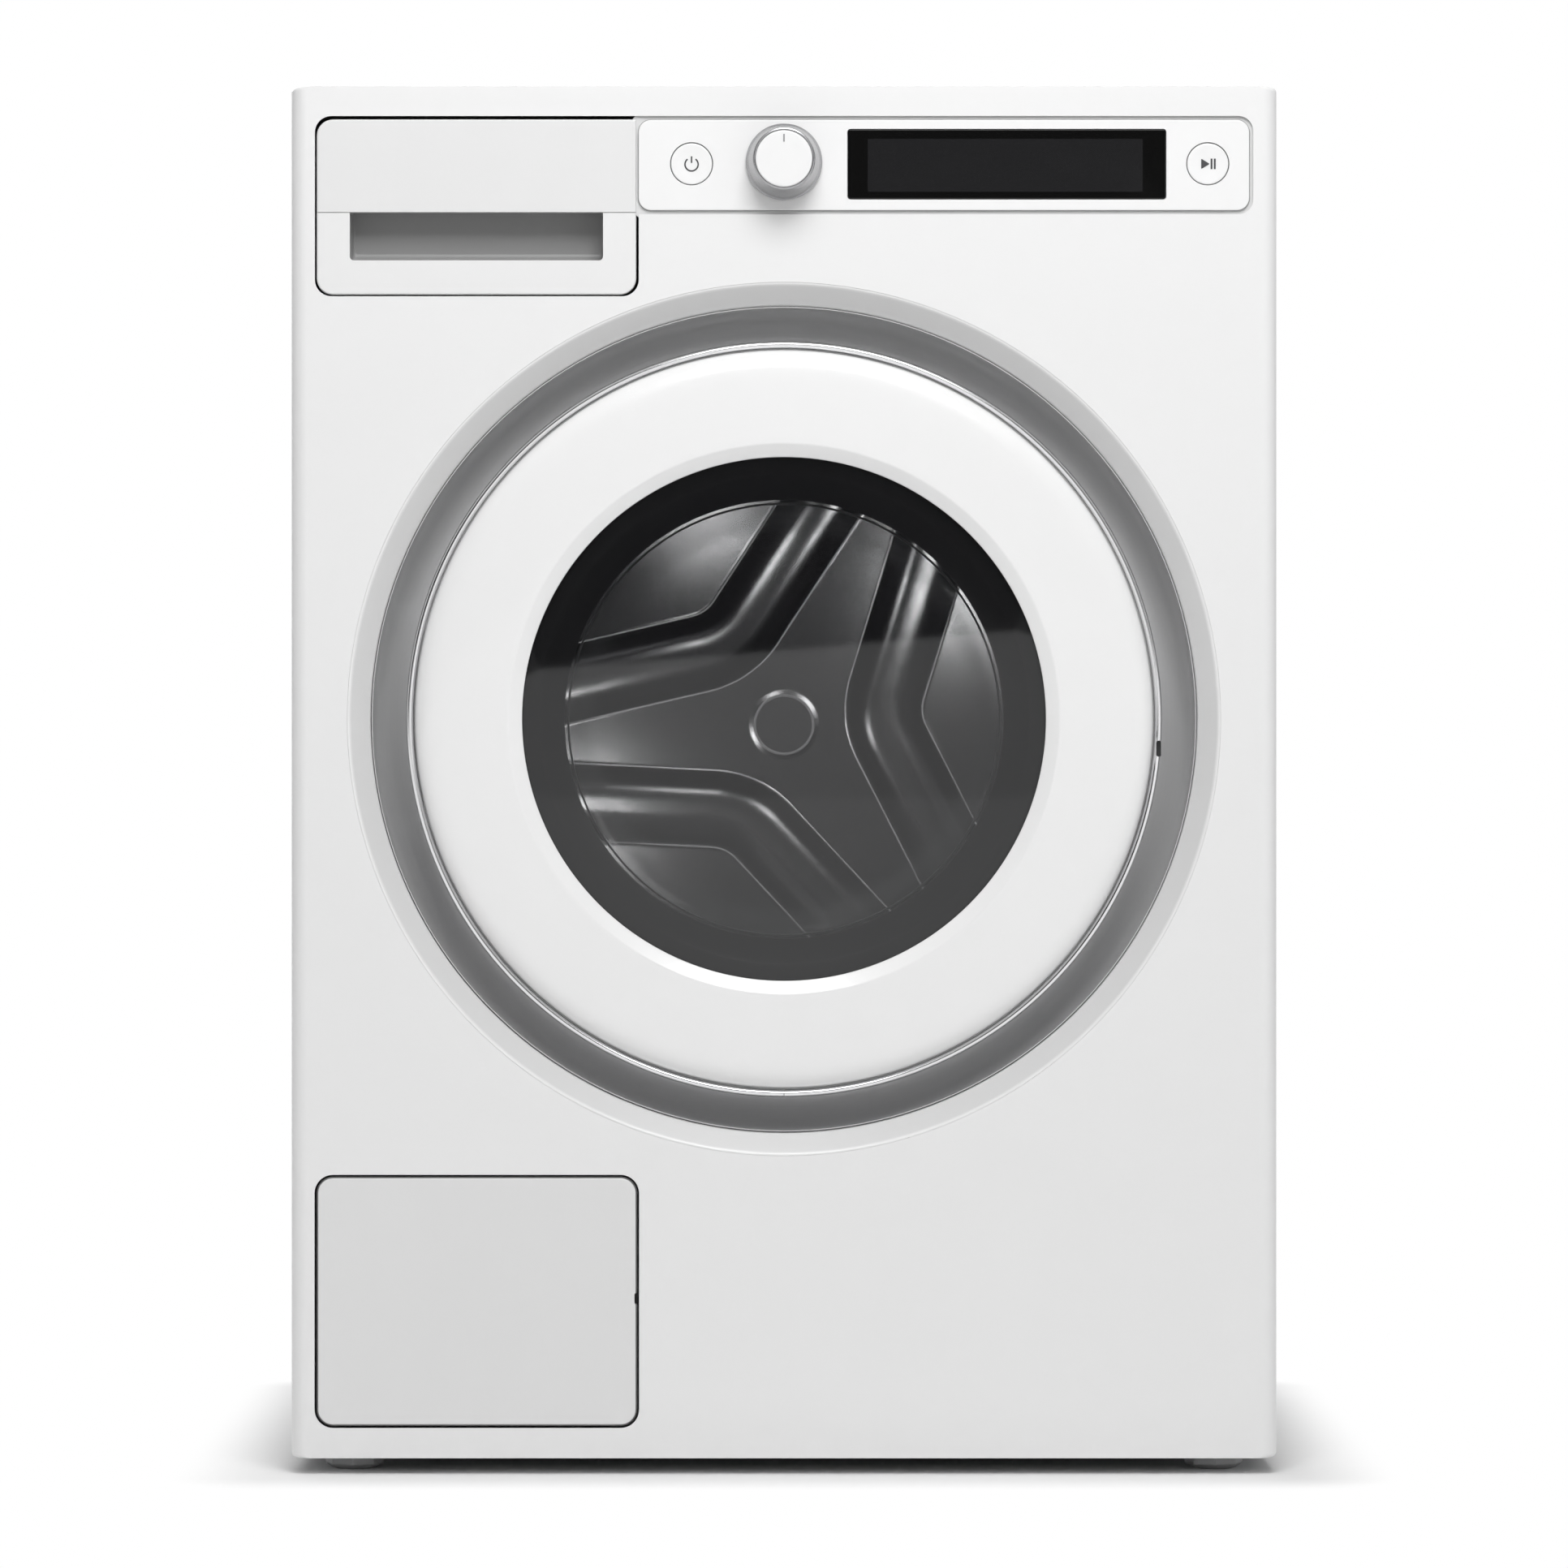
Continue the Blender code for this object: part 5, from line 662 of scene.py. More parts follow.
@dataclass(frozen=True)
class DisplayGlass(Finish):
    """Black glass with a slightly lighter screen behind it.

    Attributes:
        screen: Left, right, low and high edges of the screen.
        screen_colour: Colour of the unlit screen.
    """

    screen: tuple[float, float, float, float] = (0.051, 0.218, 0.780, 0.812)
    screen_colour: Triple = (0.014, 0.014, 0.015)

    def sockets(self, shader: Shader) -> dict[str, Any]:
        """Adds the screen, with its fine cell lines, and finger smears in the gloss.

        Args:
            shader: The material being written.

        Returns:
            Values or signals by socket name.
        """
        sockets = super().sockets(shader)
        x, _, z = shader.axes(shader.place)
        left, right, low, high = self.screen
        area = x.within(left, right, 0.0006) * z.within(low, high, 0.0006)
        cell = (x * 5200.0).sine() * (z * 5200.0).sine() * 0.08 + 0.92
        sockets["Base Color"] = shader.blend(area * cell, sockets["Base Color"], opaque(self.screen_colour))
        smear = shader.noise(1.0, 4.0, shader.stretched((26.0, 26.0, 60.0))).eased(0.5, 0.8)
        sockets["Roughness"] = self.roughness + smear * self.gloss_drift
        return sockets


WHITE_STEEL = Enamel("white_enamel", (0.84, 0.84, 0.84), 0.34, drift=0.008, relief=0.00004,
                     gloss_drift=0.04, coat=0.15)
# Front enamel with painted shade in the door's dish and at the side seams.
FRONT_STEEL = DishShaded("front_enamel", (0.84, 0.84, 0.84), 0.34, drift=0.008, relief=0.00004,
                     gloss_drift=0.04, coat=0.15)
WHITE_PLASTIC = Moulded("white_plastic", (0.86, 0.86, 0.86), 0.38, drift=0.008, grain=2400.0,
                        relief=0.000012, gloss_drift=0.012)
DOOR_WHITE = Moulded("door_white", (0.87, 0.87, 0.87), 0.27, drift=0.006, grain=1800.0, relief=0.000008,
                     coat=0.3, gloss_drift=0.012)
LAMINATE = Finish("worktop_laminate", (0.83, 0.83, 0.83), 0.45, drift=0.012, grain=1500.0, relief=0.00004)
COVE_SILVER = Brushed("cove_silver", (0.67, 0.67, 0.675), 0.38, metallic=0.45, drift=0.05, relief=0.000006,
                      lines=(900.0, 0.0, 0.0), centre=(0.0, 0.0, AXIS_Z), turned=True, gloss_drift=0.06)
BRIGHT_TRIM = Brushed("bright_trim", (0.78, 0.78, 0.79), 0.16, metallic=1.0, drift=0.03, relief=0.000003,
                      lines=(1500.0, 0.0, 0.0), centre=(0.0, 0.0, AXIS_Z), turned=True, gloss_drift=0.04)
KNOB_SILVER = Brushed("knob_silver", (0.42, 0.42, 0.43), 0.26, metallic=0.9, drift=0.04, relief=0.000003,
                      lines=(2600.0, 0.0, 0.0), centre=(0.0, 0.0, KNOB_Z), turned=True, gloss_drift=0.05)
BLACK_GLASS = DisplayGlass("display_glass", (0.004, 0.004, 0.004), 0.05, drift=0.05, relief=0.0,
                           gloss_drift=0.05)
TINTED_GLASS = Glass("tinted_glass", (0.006, 0.006, 0.007), 0.03, drift=0.02, relief=0.0, gloss_drift=0.03,
                     cover=0.50, edge_cover=0.95, index=1.8)
BOWL_GLASS = Glass("bowl_glass", (0.35, 0.37, 0.37), 0.03, drift=0.02, relief=0.0, gloss_drift=0.03,
                   cover=0.07, edge_cover=0.85, index=1.5)
STAINLESS = Brushed("stainless", (0.50, 0.50, 0.51), 0.24, metallic=1.0, drift=0.05, relief=0.0000004,
                    lines=(700.0, 0.0, 0.0), centre=(0.0, 0.0, AXIS_Z), turned=True, gloss_drift=0.08)
ZINC_STEEL = Spangled("zinc_steel", (0.56, 0.57, 0.58), 0.42, metallic=1.0, drift=0.10, gloss_drift=0.12)
CAST_ALUMINIUM = Cast("cast_aluminium", (0.53, 0.53, 0.54), 0.50, metallic=1.0, grain=700.0, relief=0.0001)
CAST_IRON = Cast("cast_iron", (0.16, 0.16, 0.17), 0.68, metallic=0.6, grain=420.0, relief=0.0003, drift=0.15)
DARK_PLASTIC = Moulded("dark_plastic", (0.022, 0.022, 0.023), 0.46, drift=0.12, grain=1600.0, relief=0.00003)
FUNNEL_PLASTIC = Moulded("funnel_plastic", (0.065, 0.065, 0.067), 0.38, drift=0.08, grain=2200.0,
                         relief=0.0000012)
FOOT_PLASTIC = Moulded("foot_plastic", (0.42, 0.42, 0.425), 0.50, drift=0.20, grain=900.0, relief=0.00005)
GREY_PLASTIC = Moulded("grey_plastic", (0.42, 0.42, 0.43), 0.48, drift=0.04, grain=1500.0, relief=0.00002)
TUB_PLASTIC = Moulded("tub_plastic", (0.60, 0.61, 0.60), 0.55, drift=0.06, grain=1100.0, relief=0.00005)
SEAL_RUBBER = Rubber("seal_rubber", (0.15, 0.15, 0.155), 0.58, drift=0.08, grain=1300.0, relief=0.00002)
BLACK_RUBBER = Rubber("black_rubber", (0.015, 0.015, 0.015), 0.68, drift=0.15, grain=1300.0, relief=0.00003)
ICON_INK = Moulded("icon_ink", (0.055, 0.055, 0.058), 0.50, drift=0.10, grain=3000.0, relief=0.000004)
ICON_GREY = Moulded("icon_grey", (0.30, 0.30, 0.31), 0.50, drift=0.05, grain=3000.0, relief=0.000004)
HOLE_SHADE = Finish("hole_shade", (0.012, 0.012, 0.012), 0.60, metallic=0.4, drift=0.30)
# These three paint shade where their surfaces lie deep in a recess or gap.
DRAWER_WHITE = RecessShaded("drawer_white", (0.81, 0.81, 0.81), 0.38, drift=0.008, grain=2400.0, relief=0.000012,
                        area=(-0.2645, -0.1095, 0.7377, 0.7770))
FLAP_WHITE = RecessShaded("flap_white", (0.76, 0.76, 0.76), 0.38, drift=0.008, grain=2400.0, relief=0.000012,
                      recess=0.16, near=0.0001, far=0.0006, end=0.0014, line=CABINET_TOP)
FASCIA_WHITE = RecessShaded("fascia_white", (0.86, 0.86, 0.86), 0.38, drift=0.008, grain=2400.0, relief=0.000012,
                        recess=0.24, near=0.00002, far=0.0004, end=0.0016, line=CABINET_TOP)
DISPLAY_FIELD = DisplayGlass("display_field", (0.011, 0.011, 0.012), 0.10, drift=0.05, relief=0.0,
                             gloss_drift=0.02)
# Grey of the bowl's rim ring, a painted highlight on the glass edge.
RIM_PAINTED_HIGHLIGHT = Moulded("rim_grey", (0.30, 0.31, 0.31), 0.30, drift=0.05, grain=2000.0, relief=0.000006)
HUB_CAP = Moulded("hub_cap", (0.095, 0.095, 0.097), 0.50, drift=0.05, grain=2200.0, relief=0.0000012)
HUB_RIM = Moulded("hub_rim", (0.62, 0.62, 0.63), 0.30, drift=0.05, grain=2200.0, relief=0.0000012)


# Outlines and meshes


def rounded(corners: Sequence[Corner], steps: int = 10) -> list[Pair]:
    """Closed outline with rounded corners.

    Args:
        corners: (u, v, radius) for each corner, in order.
        steps: Segments in each rounded corner.

    Returns:
        The points of the outline.
    """
    points: list[Pair] = []
    for index, (u, v, radius) in enumerate(corners):
        here = Vector((u, v))
        if radius <= 0:
            points.append((u, v))
            continue
        before = (Vector(corners[index - 1][:2]) - here).normalized()
        after = (Vector(corners[(index + 1) % len(corners)][:2]) - here).normalized()
        half = before.angle(after) / 2
        centre = here + (before + after).normalized() * (radius / math.sin(half))
        first = here + before * (radius / math.tan(half)) - centre
        last = here + after * (radius / math.tan(half)) - centre
        turn = math.atan2(first.x * last.y - first.y * last.x, first.dot(last))
        for step in range(steps + 1):
            spot = centre + Matrix.Rotation(turn * step / steps, 2) @ first
            points.append((spot.x, spot.y))
    return points


def strip(points: Sequence[Pair], half: float) -> list[Pair]:
    """Closed outline of a band along points.

    Args:
        points: The middle of the band.
        half: Half its width.

    Returns:
        The points of the outline.
    """
    left, right = [], []
    for index, point in enumerate(points):
        before, after = Vector(points[max(index - 1, 0)]), Vector(points[min(index + 1, len(points) - 1)])
        along = (after - before).normalized()
        across = Vector((-along.y, along.x)) * half
        left.append((point[0] + across.x, point[1] + across.y))
        right.append((point[0] - across.x, point[1] - across.y))
    return left + right[::-1]


@dataclass(frozen=True)
class Panel:
    """A rounded rectangle on the front or back of the machine.

    Attributes:
        left: Lowest x.
        right: Highest x.
        low: Lowest z.
        high: Highest z.
        radius: Radius of the corners.
    """

    left: float
    right: float
    low: float
    high: float
    radius: float

    def grown(self, amount: float) -> "Panel":
        """The panel with each edge moved outward."""
        return Panel(self.left - amount, self.right + amount, self.low - amount, self.high + amount,
                     max(self.radius + amount, 0.0))

    def outline(self, steps: int) -> list[Pair]:
        """The panel's outline, anticlockwise from its lower left corner."""
        return rounded([(self.left, self.low, self.radius), (self.right, self.low, self.radius),
                        (self.right, self.high, self.radius), (self.left, self.high, self.radius)], steps)

    def block(self, name: str, near: float, far: float, steps: int = 10) -> bpy.types.Object:
        """Straight block of the panel, which faces the front.

        Args:
            name: The name of the object.
            near: Depth where it starts.
            far: Depth where it ends.
            steps: Segments in each rounded corner.

        Returns:
            The block.
        """
        return Form(name).prism(self.outline(steps), near, far).object()

    def sloped(self, width: float, rise: float, steps: int) -> list[tuple["Panel", float]]:
        """Panels that shrink along a smooth slope.

        Args:
            width: How far the last one lies inside this one.
            rise: How high the last one lies.
            steps: Steps along the slope.

        Returns:
            Each panel with its height.
        """
        shares = [step / steps for step in range(steps + 1)]
        return [(self.grown(-width * share), rise * (1 - math.cos(math.pi * share)) / 2) for share in shares]


class Form:
    """A mesh under construction, in world coordinates."""

    def __init__(self, name: str) -> None:
        """Starts an empty mesh.

        Args:
            name: The name of the object it becomes.
        """
        self.name = name
        self.mesh = bmesh.new()

    def ring(self, points: Sequence[Triple]) -> list[bmesh.types.BMVert]:
        """Vertices at the points."""
        return [self.mesh.verts.new(point) for point in points]

    def bridge(self, first: Sequence[bmesh.types.BMVert], second: Sequence[bmesh.types.BMVert],
               looped: bool = True) -> None:
        """Faces between two rings, of which either may be a single vertex.

        Args:
            first: One ring.
            second: The other ring.
            looped: Whether the rings close on themselves.
        """
        count = max(len(first), len(second))
        if count < 2:
            return
        for step in range(count if looped else count - 1):
            after = (step + 1) % count
            corners = [first[step % len(first)], first[after % len(first)], second[after % len(second)],
                       second[step % len(second)]]
            self.mesh.faces.new(list(dict.fromkeys(corners)))

    def loft(self, rings: Sequence[Sequence[Triple]], capped: bool = True, looped: bool = True) -> "Form":
        """Skin over rings of points.

        Args:
            rings: The rings, in order, each of as many points.
            capped: Whether the first and last ring get a face.
            looped: Whether the rings close on themselves.

        Returns:
            The form itself.
        """
        made = [self.ring(points) for points in rings]
        for first, second in zip(made, made[1:]):
            self.bridge(first, second, looped)
        if capped:
            self.mesh.faces.new(made[0])
            self.mesh.faces.new(made[-1])
        return self

    def levels(self, levels: Sequence[tuple[Sequence[Pair], float]]) -> "Form":
        """Skin over (outline, depth) pairs that face the front."""
        return self.loft([[(x, depth_y(depth), z) for x, z in outline] for outline, depth in levels])

    def prism(self, outline: Sequence[Pair], near: float, far: float) -> "Form":
        """Straight block of an outline between two depths."""
        return self.levels([(outline, near), (outline, far)])

    def turned(self, profile: Sequence[Pair], origin: Triple, axis: str, steps: int, closed: bool) -> "Form":
        """Turned body about an axis through a point.

        Args:
            profile: (radius, place along the axis) pairs.
            origin: A point of the axis.
            axis: X, Y or Z.
            steps: Segments round the axis.
            closed: Whether the last point joins the first.

        Returns:
            The form itself.
        """
        order = {"X": (1, 2, 0), "Y": (0, 2, 1), "Z": (0, 1, 2)}[axis]
        rings = []
        for radius, along in profile:
            points = []
            for step in range(steps if radius > MERGE else 1):
                angle = math.tau * step / steps
                spot = list(origin)
                for place, offset in zip(order, (radius * math.cos(angle), radius * math.sin(angle), along)):
                    spot[place] += offset
                points.append(tuple(spot))
            rings.append(self.ring(points))
        for first, second in zip(rings, rings[1:] + rings[:1] if closed else rings[1:]):
            self.bridge(first, second)
        return self

    def object(self, angle: float = SMOOTH_ANGLE) -> bpy.types.Object:
        """The finished object, with normals outward and sharp edges by angle.

        Args:
            angle: Faces that meet at more than this keep a sharp edge.

        Returns:
            The object, at the origin.
        """
        bmesh.ops.remove_doubles(self.mesh, verts=self.mesh.verts, dist=MERGE)
        bmesh.ops.recalc_face_normals(self.mesh, faces=self.mesh.faces)
        data = bpy.data.meshes.new(self.name)
        self.mesh.to_mesh(data)
        self.mesh.free()
        made = bpy.data.objects.new(self.name, data)
        bpy.context.scene.collection.objects.link(made)
        return shaded(made, angle)


def revolved(name: str, profile: Sequence[Pair], steps: int = ROUND_STEPS, centre: Pair = (0.0, AXIS_Z),
             closed: bool = True, angle: float = SMOOTH_ANGLE) -> bpy.types.Object:
    """Body turned about a line along Y, the door's axis by default.

    Args:
        name: The name of the object.
        profile: (radius, depth) pairs.
        steps: Segments round the line.
        centre: x and z of the line.
        closed: Whether the last point joins the first.
        angle: Faces that meet at more than this keep a sharp edge.

    Returns:
        The body.
    """
    x, z = centre
    return Form(name).turned(profile, (x, FRONT_Y, z), "Y", steps, closed).object(angle)


def stacked(name: str, levels: Sequence[tuple[Panel, float]], steps: int) -> bpy.types.Object:
    """Block whose outline changes from depth to depth.

    Args:
        name: The name of the object.
        levels: (panel, depth) pairs, in order.
        steps: Segments in each rounded corner.

    Returns:
        The block.
    """
    return Form(name).levels([(shape.outline(steps), depth) for shape, depth in levels]).object()


def shaded(made: bpy.types.Object, angle: float = SMOOTH_ANGLE) -> bpy.types.Object:
    """Smooth shading with sharp edges above an angle.

    Args:
        made: The object.
        angle: The angle, in radians.

    Returns:
        The object itself.
    """
    made.data.shade_smooth()
    made.data.set_sharp_from_angle(angle=angle)
    if made.data.polygons:
        weight = made.modifiers.new("flat_faces_stay_flat", "WEIGHTED_NORMAL")
        weight.keep_sharp, weight.weight = True, 90
        baked(made)
    return made


def faced(made: bpy.types.Object, direction: Triple) -> None:
    """Turns an open sheet's faces towards a direction.

    Args:
        made: The sheet.
        direction: The direction.
    """
    mesh = bmesh.new()
    mesh.from_mesh(made.data)
    if sum(face.normal.dot(Vector(direction)) * face.calc_area() for face in mesh.faces) < 0:
        bmesh.ops.reverse_faces(mesh, faces=mesh.faces)
    mesh.to_mesh(made.data)
    mesh.free()


def outward(made: bpy.types.Object) -> None:
    """Turns a closed mesh's faces outward.

    Args:
        made: The object.
    """
    mesh = bmesh.new()
    mesh.from_mesh(made.data)
    bmesh.ops.recalc_face_normals(mesh, faces=mesh.faces)
    mesh.to_mesh(made.data)
    mesh.free()


def baked(made: bpy.types.Object) -> bpy.types.Object:
    """Puts an object's modifiers into its mesh.

    Args:
        made: The object.

    Returns:
        The object itself, with no modifiers.
    """
    bpy.context.view_layer.update()
    graph = bpy.context.evaluated_depsgraph_get()
    data = bpy.data.meshes.new_from_object(made.evaluated_get(graph), preserve_all_data_layers=True,
                                           depsgraph=graph)
    made.modifiers.clear()
    old, made.data = made.data, data
    bpy.data.meshes.remove(old)
    return made


def cut(made: bpy.types.Object, tools: Sequence[bpy.types.Object],
        operation: str = "DIFFERENCE") -> bpy.types.Object:
    """Cuts tools out of an object, or joins them to it, and removes them.

    Args:
        made: The object.
        tools: Closed meshes.
        operation: DIFFERENCE, UNION or INTERSECT.

    Returns:
        The object itself.
    """
    for tool in tools:
        modifier = made.modifiers.new("cut", "BOOLEAN")
        modifier.object, modifier.operation, modifier.solver = tool, operation, "EXACT"
    baked(made)
    for tool in tools:
        bpy.data.objects.remove(tool)
    return shaded(made)


def bevelled(made: bpy.types.Object, width: float, segments: int, limit: float = 30.0) -> bpy.types.Object:
    """Rounds the sharp edges of an object.

    Args:
        made: The object.
        width: Width of the round.
        segments: Segments across it.
        limit: Edges sharper than this, in degrees, are rounded.

    Returns:
        The object itself.
    """
    modifier = made.modifiers.new("round", "BEVEL")
    modifier.width, modifier.segments, modifier.limit_method = width, segments, "ANGLE"
    modifier.angle_limit, modifier.use_clamp_overlap = math.radians(limit), True
    return shaded(baked(made))


def softened(node: str, name: str, width: float, segments: int) -> bpy.types.Object:
    """Copy of a CAD node with rounded edges.

    Args:
        node: The CAD node.
        name: The copy's name.
        width: Width of the rounds.
        segments: Segments across each.

    Returns:
        The copy.
    """
    source = frame["nodes"][node]
    form = Form(name)
    form.mesh.from_mesh(source.data)
    bmesh.ops.transform(form.mesh, matrix=source.matrix_world, verts=form.mesh.verts)
    bmesh.ops.remove_doubles(form.mesh, verts=form.mesh.verts, dist=MERGE)
    bmesh.ops.dissolve_limit(form.mesh, angle_limit=math.radians(0.6), verts=form.mesh.verts,
                             edges=form.mesh.edges)
    return bevelled(form.object(), width, segments)


class Palette:
    """Materials made from finishes, each once."""

    def __init__(self) -> None:
        """Starts with no material."""
        self.made: dict[Finish, bpy.types.Material] = {}

    def of(self, finish: Finish) -> bpy.types.Material:
        """The material of a finish.

        Args:
            finish: The finish.

        Returns:
            Its material, made when it is first asked for.
        """
        if finish not in self.made:
            self.made[finish] = finish.material()
        return self.made[finish]


PALETTE = Palette()


def dress(made: bpy.types.Object, finish: Finish, body: str, replaces: Sequence[str] = ()) -> bpy.types.Object:
    """Gives a piece its material, its body and the nodes it stands for.

    Args:
        made: The piece.
        finish: Its finish.
        body: The CAD body it rides on.
        replaces: The CAD nodes it stands for.

    Returns:
        The piece itself.
    """
    made.data.materials.clear()
    made.data.materials.append(PALETTE.of(finish))
    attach(made, body)
    if replaces:
        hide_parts(*replaces)
    LOG.info("%s on %s, %s, %d faces", made.name, body, finish.name, len(made.data.polygons))
    return made


def dress_softened(node: str, name: str, width: float, finish: Finish, body: str,
                   segments: int = 2) -> bpy.types.Object:
    """Copy of a CAD node with rounded edges, dressed to stand for that node."""
    return dress(softened(node, name, width, segments), finish, body, [node])


class Rule(Graph):
    """A Geometry Nodes tree with named inputs, baked into a mesh."""

    def __init__(self, name: str, inputs: dict[str, tuple[str, Any]]) -> None:
        """Starts a tree and its inputs.

        Args:
            name: The tree's name.
            inputs: Socket type and value by input name.
        """
        tree = bpy.data.node_groups.new(name, "GeometryNodeTree")
        tree.interface.new_socket("Geometry", in_out="INPUT", socket_type="NodeSocketGeometry")
        self.values = {}
        for label, (kind, value) in inputs.items():
            socket = tree.interface.new_socket(label, in_out="INPUT", socket_type=kind)
            self.values[socket.identifier] = value
        tree.interface.new_socket("Geometry", in_out="OUTPUT", socket_type="NodeSocketGeometry")
        super().__init__(tree)
        self.source = tree.nodes.new("NodeGroupInput")

    def value(self, name: str) -> Signal:
        """One of the tree's inputs."""
        return Signal(self, self.source.outputs[name])

    def bake(self, geometry: Signal, host: bpy.types.Object, finish: Finish) -> bpy.types.Object:
        """Ends the tree, runs it on a host and keeps the mesh.

        Args:
            geometry: What the tree makes.
            host: The object that the tree runs on.
            finish: The finish set by the tree.

        Returns:
            The host, holding the made mesh.
        """
        whole = self.node("GeometryNodeRealizeInstances", {}, {"Geometry": geometry})
        whole = self.node("GeometryNodeSetMaterial", {}, {"Geometry": whole, "Material": PALETTE.of(finish)})
        self.node("NodeGroupOutput", {}, {0: whole}, None)
        modifier = host.modifiers.new(self.tree.name, "NODES")
        modifier.node_group = self.tree
        for identifier, value in self.values.items():
            modifier[identifier] = value
        return shaded(baked(host))


def scattered(name: str, places: Sequence[Triple], tool: bpy.types.Object, finish: Finish,
              seed: int) -> bpy.types.Object:
    """Copies of a small shape at points, each turned about its own Y by a seeded angle.

    Args:
        name: The name of the piece.
        places: Where the copies go.
        tool: The shape, at the origin. It is removed.
        finish: The finish of the copies.
        seed: Seed of the turns.

    Returns:
        One object with every copy.
    """
    form = Form(name)
    form.ring(places)
    host = form.object()
    rule = Rule(name + "_rule", {"Seed": ("NodeSocketInt", seed), "Turn": ("NodeSocketFloat", math.pi)})
    turn = rule.node("FunctionNodeRandomValue", {"data_type": "FLOAT"},
                     {2: 0.0, 3: rule.value("Turn"), "Seed": rule.value("Seed")}, 1)
    shape = rule.node("GeometryNodeObjectInfo", {}, {"Object": tool}, "Geometry")
    copies = rule.node("GeometryNodeInstanceOnPoints", {},
                       {"Points": rule.value("Geometry"), "Instance": shape,
                        "Rotation": rule.vector(0.0, turn, 0.0)})
    made = rule.bake(copies, host, finish)
    bpy.data.objects.remove(tool)
    return made


@dataclass(frozen=True)
class Screw:
    """A pan head with a cross recess, which points along -Y or +Y.

    Attributes:
        radius: Radius of the head.
        height: Height of the head.
        way: -1 where the head faces the front, 1 where it faces the back.
    """

    radius: float = 0.0040
    height: float = 0.0020
    way: float = 1.0

    def shape(self) -> bpy.types.Object:
        """The head at the origin, its seat at y 0.

        Returns:
            The head.
        """
        profile = [(0.0, 0.0), (self.radius, 0.0), (self.radius, self.height * 0.3)]
        profile += [(self.radius * math.cos(turn), self.height * (0.3 + 0.7 * math.sin(turn)))
                    for turn in (0.3, 0.6, 0.9, 1.2)] + [(0.0, self.height)]
        turned = [(r, self.way * y) for r, y in profile]
        head = Form("screw_head").turned(turned, (0.0, 0.0, 0.0), "Y", 20, False).object()
        arm, half = self.radius * 0.62, self.radius * 0.13
        low, high = sorted((self.way * self.height * 0.35, self.way * self.height * 1.2))
        tools = []
        for wide, tall in ((arm, half), (half, arm)):
            outline = [(-wide, -tall), (wide, -tall), (wide, tall), (-wide, tall)]
            slot = Form("screw_slot").loft([[(x, y, z) for x, z in outline] for y in (low, high)])
            tools.append(slot.object())
        return cut(head, tools)


# Cabinet


def quarter(radius: float, steps: int = 8) -> list[Pair]:
    """(inset, depth) pairs of a rounded edge, from the face to the side."""
    turns = [math.pi / 2 * step / steps for step in range(steps + 1)]
    return [(radius * (1 - math.sin(turn)), radius * (1 - math.cos(turn))) for turn in turns]


def drill(near: float, far: float, radius: float, centre: Pair, steps: int = ROUND_STEPS) -> bpy.types.Object:
    """A round cutter between two depths.

    Args:
        near: Depth where it starts.
        far: Depth where it ends.
        radius: Its radius.
        centre: x and z of its axis.
        steps: Segments round it.

    Returns:
        The cutter.
    """
    profile = [(0.0, near), (radius, near), (radius, far), (0.0, far)]
    return revolved("hole", profile, steps, centre, False)


@dataclass(frozen=True)
class Openings:
    """Openings of the steel cabinet, and what fills them.

    Attributes:
        drawer: The drawer front.
        fascia: The control fascia.
        flap: The service flap.
        rear: The opening of the back sheet, behind the rear cover.
        gap: Clearance round each of them.
        lap: How far the fascia reaches over the step between the two.
    """

    drawer: Panel = Panel(-0.2842, -0.0898, 0.7174, 0.8250, 0.010)
    fascia: Panel = Panel(-0.0888, 0.2842, 0.7673, 0.8250, 0.009)
    flap: Panel = Panel(-0.2842, -0.0893, 0.0296, 0.1811, 0.010)
    rear: Panel = Panel(-0.185, 0.185, 0.235, 0.660, 0.060)
    gap: float = 0.0010
    lap: float = 0.0005

    def control_outline(self) -> list[Pair]:
        """The one opening that drawer and fascia share.

        Returns:
            The points of its outline.
        """
        wide, narrow = self.drawer.radius, self.fascia.radius
        left, right = self.drawer.left - self.gap, self.fascia.right + self.gap
        low, top = self.drawer.low - self.gap, self.drawer.high + self.gap
        step, split = self.fascia.low - self.gap, self.drawer.right + 2 * self.gap - self.lap
        return rounded([(left, low, wide), (split, low, wide), (split, step, 0.0), (right, step, narrow),
                        (right, top, narrow), (left, top, wide)])


OPENINGS = Openings()


